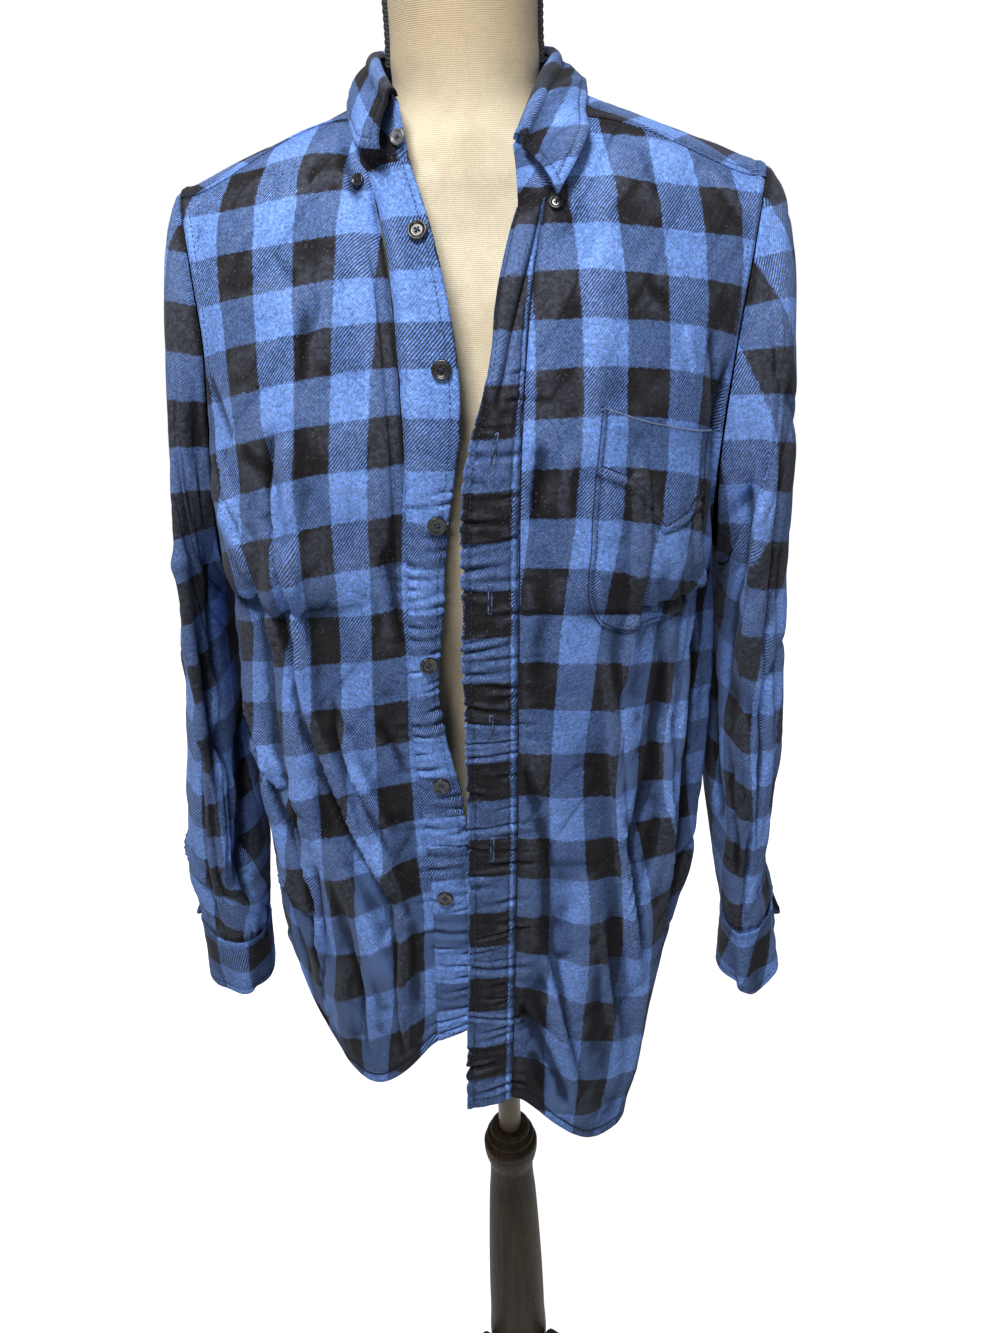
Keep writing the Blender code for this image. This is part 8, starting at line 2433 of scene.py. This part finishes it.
# ---------------------------------------------------------------------------
# Dress form
# ---------------------------------------------------------------------------
FORM = table("z a yf yb n", [
    ("base",       74.0, 12.9,  -9.0,  9.4, 2.3),
    ("base edge",  74.8, 13.5,  -9.5,  9.9, 2.3),
    ("hips",       82.0, 14.1, -10.0, 10.6, 2.3),
    ("high hip",   90.0, 13.2,  -9.5,  9.6, 2.3),
    ("waist",     100.0, 11.2,  -8.6,  7.6, 2.2),
    ("ribs",      108.0, 12.4,  -9.8,  8.6, 2.2),
    ("bust",      118.0, 14.2, -11.6,  9.8, 2.2),
    ("upper chest",126.0, 14.4, -10.0, 10.4, 2.4),
    ("armhole",   132.0, 14.8,  -8.2, 10.0, 2.6),
    ("shoulder",  136.4, 15.0,  -6.6,  8.4, 2.6),
    ("slope",     138.8, 12.2,  -6.1,  7.6, 2.4),
    ("neck foot", 140.6,  9.0,  -5.8,  7.0, 2.2),
    ("neck root", 142.2,  6.6,  -5.5,  6.0, 2.0),
    ("neck low",  143.8,  5.15, -5.0,  5.0, 2.0),
    ("neck",      147.0,  4.75, -4.75, 4.75, 2.0),
    ("neck top",  152.0,  4.75, -4.75, 4.75, 2.0),
])
zs = np.concatenate([np.linspace(74.0, 74.8, 5), np.linspace(75.2, 151.9, 168)[:], [152.0]])
q = spline(FORM["z"], col(FORM, "a yf yb n"), zs)
ANG = 120
th = np.linspace(0, 2*np.pi, ANG, endpoint=False)
cc, s_ = np.cos(th), np.sin(th)
rows = []
for z, (a_, yf, yb, n_) in zip(zs, q):
    x = a_*np.sign(cc)*np.abs(cc)**(2/n_)
    y = np.where(s_ > 0, yb, -yf)*np.sign(s_)*np.abs(s_)**(2/n_)
    rows.append(np.stack([x, y, np.full(ANG, z)], -1))
G = np.array(rows)
# the cover is slightly slack: soft wrinkles across the front of the neck and chest
tt, zz = np.meshgrid(th, zs)
front = np.clip(-np.sin(tt), 0, 1)**1.2
w1 = 0.0
for z0, tilt, amp, sig in ((139.9, 0.9, 0.075, 0.32), (140.9, 1.3, 0.050, 0.28), (137.4, -0.6, 0.055, 0.40), (142.6, 0.7, 0.035, 0.25), (134.6, 0.4, 0.035, 0.5), (129.0, -0.4, 0.025, 0.6)):
    zc = z0 + tilt*np.cos(tt)*2.0 + 0.25*np.sin(3*tt + z0)
    w1 = w1 + amp*np.exp(-((zz - zc)/sig)**2)*front
soft = 0.03*noise(tt*6.0, zz, 231, 3.0)
rad = G[..., :2]/(np.linalg.norm(G[..., :2], axis=-1, keepdims=True) + 1e-9)
G[..., :2] += rad*(w1 + soft*np.clip((zz - 75)/2, 0, 1)*np.clip((151.5 - zz)/1.0, 0, 1))[..., None]
N = len(zs)*ANG
idx = np.arange(N).reshape(len(zs), ANG)
nxt = np.roll(idx, -1, axis=1)
F = np.stack([idx[:-1], nxt[:-1], nxt[1:], idx[1:]], -1).reshape(-1, 4).tolist()
F = [tuple(f) for f in F]
F.append(tuple(idx[0][::-1].tolist()))
F.append(tuple(idx[-1].tolist()))
form = new_mesh("form_cover", place(G.reshape(-1, 3)), F, JERSEY_M, smooth_angle=50.0)
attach(form, "root"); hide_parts("form_torso")

def rounded(prof, steps=6, r=0.12):
    """Round the corners of a lathe profile a little."""
    P_ = [np.array(p, float) for p in prof]
    out = [tuple(P_[0])]
    for a_, b_, c_ in zip(P_, P_[1:], P_[2:]):
        d1, d2 = np.linalg.norm(b_-a_), np.linalg.norm(c_-b_)
        k1, k2 = min(r, d1*0.4)/max(d1, 1e-9), min(r, d2*0.4)/max(d2, 1e-9)
        p, e = b_ + (a_-b_)*k1, b_ + (c_-b_)*k2
        for t_ in np.linspace(0, 1, steps):
            out.append(tuple((1-t_)**2*p + 2*t_*(1-t_)*b_ + t_*t_*e))
    out.append(tuple(P_[-1]))
    return out

top = 152.0
cap = lathe("neck_cap_turned", rounded([(0, top + 1.0), (3.8, top + 0.93), (4.6, top + 0.62), (4.85, top + 0.28), (4.72, top + 0.03), (0, top + 0.03)]), 96, WOOD_M)
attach(cap, "root"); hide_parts("form_neck_cap")

# black braid: two rows of plaited loops down each side of the neck
TRIM_W, TRIM_T = 0.9, 0.30
for side, sign in (("left", 1), ("right", -1)):
    V, F = [], []
    zt = np.linspace(151.85, 146.45, 190)
    a_at = spline(FORM["z"], FORM["a"], zt)
    ys = np.linspace(-TRIM_W/2, TRIM_W/2, 22)
    yy, zz2 = np.meshgrid(ys, zt)
    aa2 = np.repeat(a_at[:, None], len(ys), 1)
    k = np.abs(yy)/(TRIM_W/2)
    loops = 0.055*np.abs(np.sin(np.pi*(zz2/0.42 + 0.75*k*1.0)))
    edge = np.sqrt(np.clip(1 - (k*0.985)**6, 0, 1))
    thick = (0.10 + 0.10*np.sin(np.pi*np.clip(k, 0, 1))**0.8 + loops)*edge
    outx = sign*(aa2 + 0.10 + np.clip(thick, 0.02, TRIM_T))
    inx = sign*(np.sqrt(aa2**2 - yy**2) + 0.015)
    A_ = np.stack([outx, yy, zz2], -1)
    B_ = np.stack([inx, yy, zz2], -1)
    n0 = A_.shape[0]*A_.shape[1]
    ix = np.arange(n0).reshape(A_.shape[:2])
    f = np.stack([ix[:-1, :-1], ix[:-1, 1:], ix[1:, 1:], ix[1:, :-1]], -1).reshape(-1, 4)
    g_ = f[:, ::-1] + n0
    rims = []
    for line in (ix[0], ix[-1][::-1], ix[:, 0][::-1], ix[:, -1]):
        rims.append(np.stack([line[:-1], line[:-1] + n0, line[1:] + n0, line[1:]], -1))
    allf = np.concatenate([f, g_] + rims)
    if sign > 0:
        allf = allf[:, ::-1]
    ob = new_mesh("neck_braid_" + side, place(np.concatenate([A_.reshape(-1, 3), B_.reshape(-1, 3)])), allf, BRAID_M, smooth_angle=50.0)
    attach(ob, "root"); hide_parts("form_neck_trim_" + side)

# ---------------------------------------------------------------------------
# Stand
# ---------------------------------------------------------------------------
POLE_R, POLE_TOP, POLE_FOOT = 1.13, 73.97, 50.40
ob = lathe("pole_tube", rounded([(0, POLE_TOP), (POLE_R, POLE_TOP), (POLE_R, 62.0), (POLE_R, POLE_FOOT), (0, POLE_FOOT)], r=0.06), 64, POLE_M)
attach(ob, "root"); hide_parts("stand_pole")
COLUMN = table("r z", [
    ("socket",   1.70, 50.80), ("socket lip", 1.95, 50.60), ("ring a", 2.00, 50.20),
    ("groove a", 1.85, 49.95), ("ring b", 2.35, 49.70), ("ring b low", 2.40, 49.40),
    ("groove b", 2.20, 49.15), ("ball high", 2.55, 48.90), ("ball", 2.72, 48.10),
    ("ball low", 2.60, 47.00), ("waist", 2.25, 45.60), ("waist low", 2.22, 44.80),
    ("swell",    2.45, 41.0), ("swell low", 2.72, 35.0), ("shaft", 2.95, 28.0),
    ("block",    3.05, 22.0), ("block low", 3.00, 15.0), ("drop", 2.40, 12.6),
    ("drop low", 1.30, 11.2),
])
zf = np.concatenate([np.linspace(50.80, 44.6, 70), np.linspace(44.4, 11.2, 60)])
rf = spline(-COLUMN["z"], COLUMN["r"], -zf)
rf = np.maximum(rf, 0.8)
sock = POLE_R + 0.03
prof = [(0, POLE_FOOT - 0.03), (sock, POLE_FOOT - 0.03), (sock, 50.74), (sock + 0.08, 50.80)] + list(zip(rf.tolist(), zf.tolist())) + [(0, 11.2)]
ob = lathe("column_turned", prof, 96, WOOD_M)
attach(ob, "root"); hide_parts("stand_column")
LEG = table("r z w", [
    ("root",   3.30, 17.6, 1.25), ("out", 5.2, 17.2, 1.25), ("knee", 9.0, 14.6, 1.15),
    ("shin",   13.5, 9.4, 1.0), ("ankle", 18.5, 4.4, 0.9), ("toe", 23.5, 2.15, 0.9),
    ("end",    26.0, 1.95, 0.9),
])
k = np.linspace(0, 1, len(LEG["r"]))
leg = spline(k, col(LEG, "r z w"), np.linspace(0, 1, 60))
SIDES = 28
for i, ang in enumerate((90.0, 210.0, 330.0)):
    ca, sa = math.cos(math.radians(ang)), math.sin(math.radians(ang))
    V, F = [], []
    n = len(leg)
    ends = []
    for j in range(n):
        r_, z_, w_ = leg[j]
        d = leg[min(j+1, n-1)] - leg[max(j-1, 0)]
        t2 = np.array([d[0], d[1]])/math.hypot(d[0], d[1])
        nr = np.array([-t2[1], t2[0]])
        end = min(j, n-1-j)
        w_ = w_*(1.0 if end >= 3 else (0.72, 0.90, 0.97)[end])
        for q in range(SIDES):
            b_ = 2*math.pi*q/SIDES
            sx = math.copysign(abs(math.cos(b_))**0.8, math.cos(b_))*w_
            sy = math.copysign(abs(math.sin(b_))**0.8, math.sin(b_))*w_
            rr2, zz3 = r_ + nr[0]*sy, z_ + nr[1]*sy
            V.append((rr2*ca - sx*sa, rr2*sa + sx*ca, zz3))
    for j in range(n-1):
        for q in range(SIDES):
            m = (q+1) % SIDES
            F.append((j*SIDES+q, j*SIDES+m, (j+1)*SIDES+m, (j+1)*SIDES+q))
    F.append(tuple(range(SIDES-1, -1, -1)))
    F.append(tuple(range((n-1)*SIDES, n*SIDES)))
    ob = new_mesh("leg_%d_carved" % (i+1), place(np.array(V)), F, WOOD_M, smooth_angle=45.0)
    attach(ob, "root"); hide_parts("stand_leg_%d" % (i+1))
    ob = lathe("foot_%d_pad" % (i+1), rounded([(0, 0.97), (1.35, 0.97), (1.62, 0.86), (1.8, 0.60), (1.8, 0.12), (1.70, 0.0), (0, 0.0)], r=0.08), 56, WOOD_M, 25.0*ca, 25.0*sa)
    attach(ob, "root"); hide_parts("stand_foot_%d" % (i+1))

# ---------------------------------------------------------------------------
# What is sheet
# ---------------------------------------------------------------------------
for name, d in PIECES.items():
    UVf = d["UV"]
    if "area" in d:
        area, ext = d["area"]/1e4, d["ext"]/100
    else:
        area = flat_area(UVf)/1e4
        ext = np.ptp(UVf.reshape(-1, 2), axis=0)/100
    w_, l_ = float(max(ext[0], 0.011)), float(max(ext[1], 0.011))
    area = float(min(area, w_*l_))
    area = float(max(area, 0.301*w_*l_))
    print("sheet", name, round(w_, 3), round(l_, 3), round(area, 4))

# ---------------------------------------------------------------------------
# Stage, lights and camera
# ---------------------------------------------------------------------------
def plain(name, colour, glow):
    t = Tree(name)
    t.bsdf.inputs["Base Color"].default_value = (*colour, 1)
    t.bsdf.inputs["Roughness"].default_value = 0.9
    t.bsdf.inputs["Emission Color"].default_value = (1, 1, 1, 1)
    t.bsdf.inputs["Emission Strength"].default_value = glow
    return t.mat
FLOOR_M = plain("pale_floor", (0.86, 0.86, 0.86), 0.85)
def quad(name, pts, mat):
    me = bpy.data.meshes.new(name)
    me.from_pydata(pts, [], [(0, 1, 2, 3)])
    o = bpy.data.objects.new(name, me)
    bpy.context.scene.collection.objects.link(o)
    me.materials.append(mat)
    return o
floor = quad("floor", [(-9, -9, -0.0005), (9, -9, -0.0005), (9, 9, -0.0005), (-9, 9, -0.0005)], FLOOR_M)
floor.visible_diffuse = False
floor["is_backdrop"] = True

world = bpy.data.worlds.new("studio")
bpy.context.scene.world = world
world.use_nodes = True
wt = world.node_tree
wt.nodes.clear()
wo = wt.nodes.new("ShaderNodeOutputWorld")
mixw = wt.nodes.new("ShaderNodeMixShader")
lp = wt.nodes.new("ShaderNodeLightPath")
seen = wt.nodes.new("ShaderNodeBackground")
seen.inputs["Color"].default_value = (1, 1, 1, 1)
seen.inputs["Strength"].default_value = 1.0
lit = wt.nodes.new("ShaderNodeBackground")
lit.inputs["Color"].default_value = (0.93, 0.96, 1.0, 1)
lit.inputs["Strength"].default_value = 0.19
wt.links.new(lp.outputs["Is Camera Ray"], mixw.inputs[0])
wt.links.new(lit.outputs[0], mixw.inputs[1])
wt.links.new(seen.outputs[0], mixw.inputs[2])
wt.links.new(mixw.outputs[0], wo.inputs[0])

def area(name, at, to, size, watts, colour=(1, 1, 1), spread=180.0):
    d = bpy.data.lights.new(name, "AREA")
    d.energy = watts
    d.shape = "RECTANGLE"
    d.size, d.size_y = size
    d.color = colour
    o = bpy.data.objects.new(name, d)
    bpy.context.scene.collection.objects.link(o)
    o.location = at
    o.rotation_euler = (Vector(to) - Vector(at)).to_track_quat("-Z", "Y").to_euler()
    d.spread = math.radians(spread)
    return o
area("key", (-0.30, -0.95, 2.60), (0.0, 0.0, 1.30), (0.50, 0.45), 13.0, (1, 0.985, 0.96), 115.0)
area("side", (1.7, -0.9, 1.9), (0.0, 0.0, 1.10), (0.9, 1.4), 3.5, (0.95, 0.97, 1.0))
area("front", (-0.30, -1.9, 1.20), (0.0, 0.0, 1.05), (0.4, 0.4), 4.0, (1.0, 0.92, 0.82))
area("rear", (-0.4, 2.3, 2.5), (0.0, 0.0, 1.20), (1.4, 1.0), 16.0)

cam = bpy.data.cameras.new("camera")
cam.lens = 27.0
cam.sensor_width = 36.0
cam.sensor_fit = "AUTO"
cam.shift_y = -0.0349
cam.clip_start = 0.02
co = bpy.data.objects.new("camera", cam)
bpy.context.scene.collection.objects.link(co)
PITCH, ROLL = math.radians(24.0), math.radians(2.13)
right = Vector((1, 0, 0))
upv = Vector((0, math.sin(PITCH), math.cos(PITCH)))
fwd = Vector((0, math.cos(PITCH), -math.sin(PITCH)))
r2 = right*math.cos(ROLL) - upv*math.sin(ROLL)
u2 = right*math.sin(ROLL) + upv*math.cos(ROLL)
M = Matrix(((r2.x, u2.x, -fwd.x, 0.009 + SHIFT_X), (r2.y, u2.y, -fwd.y, -0.73 + SHIFT_Y), (r2.z, u2.z, -fwd.z, 1.40), (0, 0, 0, 1)))
co.matrix_world = M
bpy.context.scene.camera = co
bpy.context.scene.view_settings.view_transform = "Standard"
bpy.context.scene.view_settings.look = "None"

import json
tris = {o.name: sum(len(p.vertices) - 2 for p in o.data.polygons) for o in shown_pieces() if o.type == "MESH"}
print("triangles", sum(tris.values()), "largest", max(tris, key=tris.get), max(tris.values()))
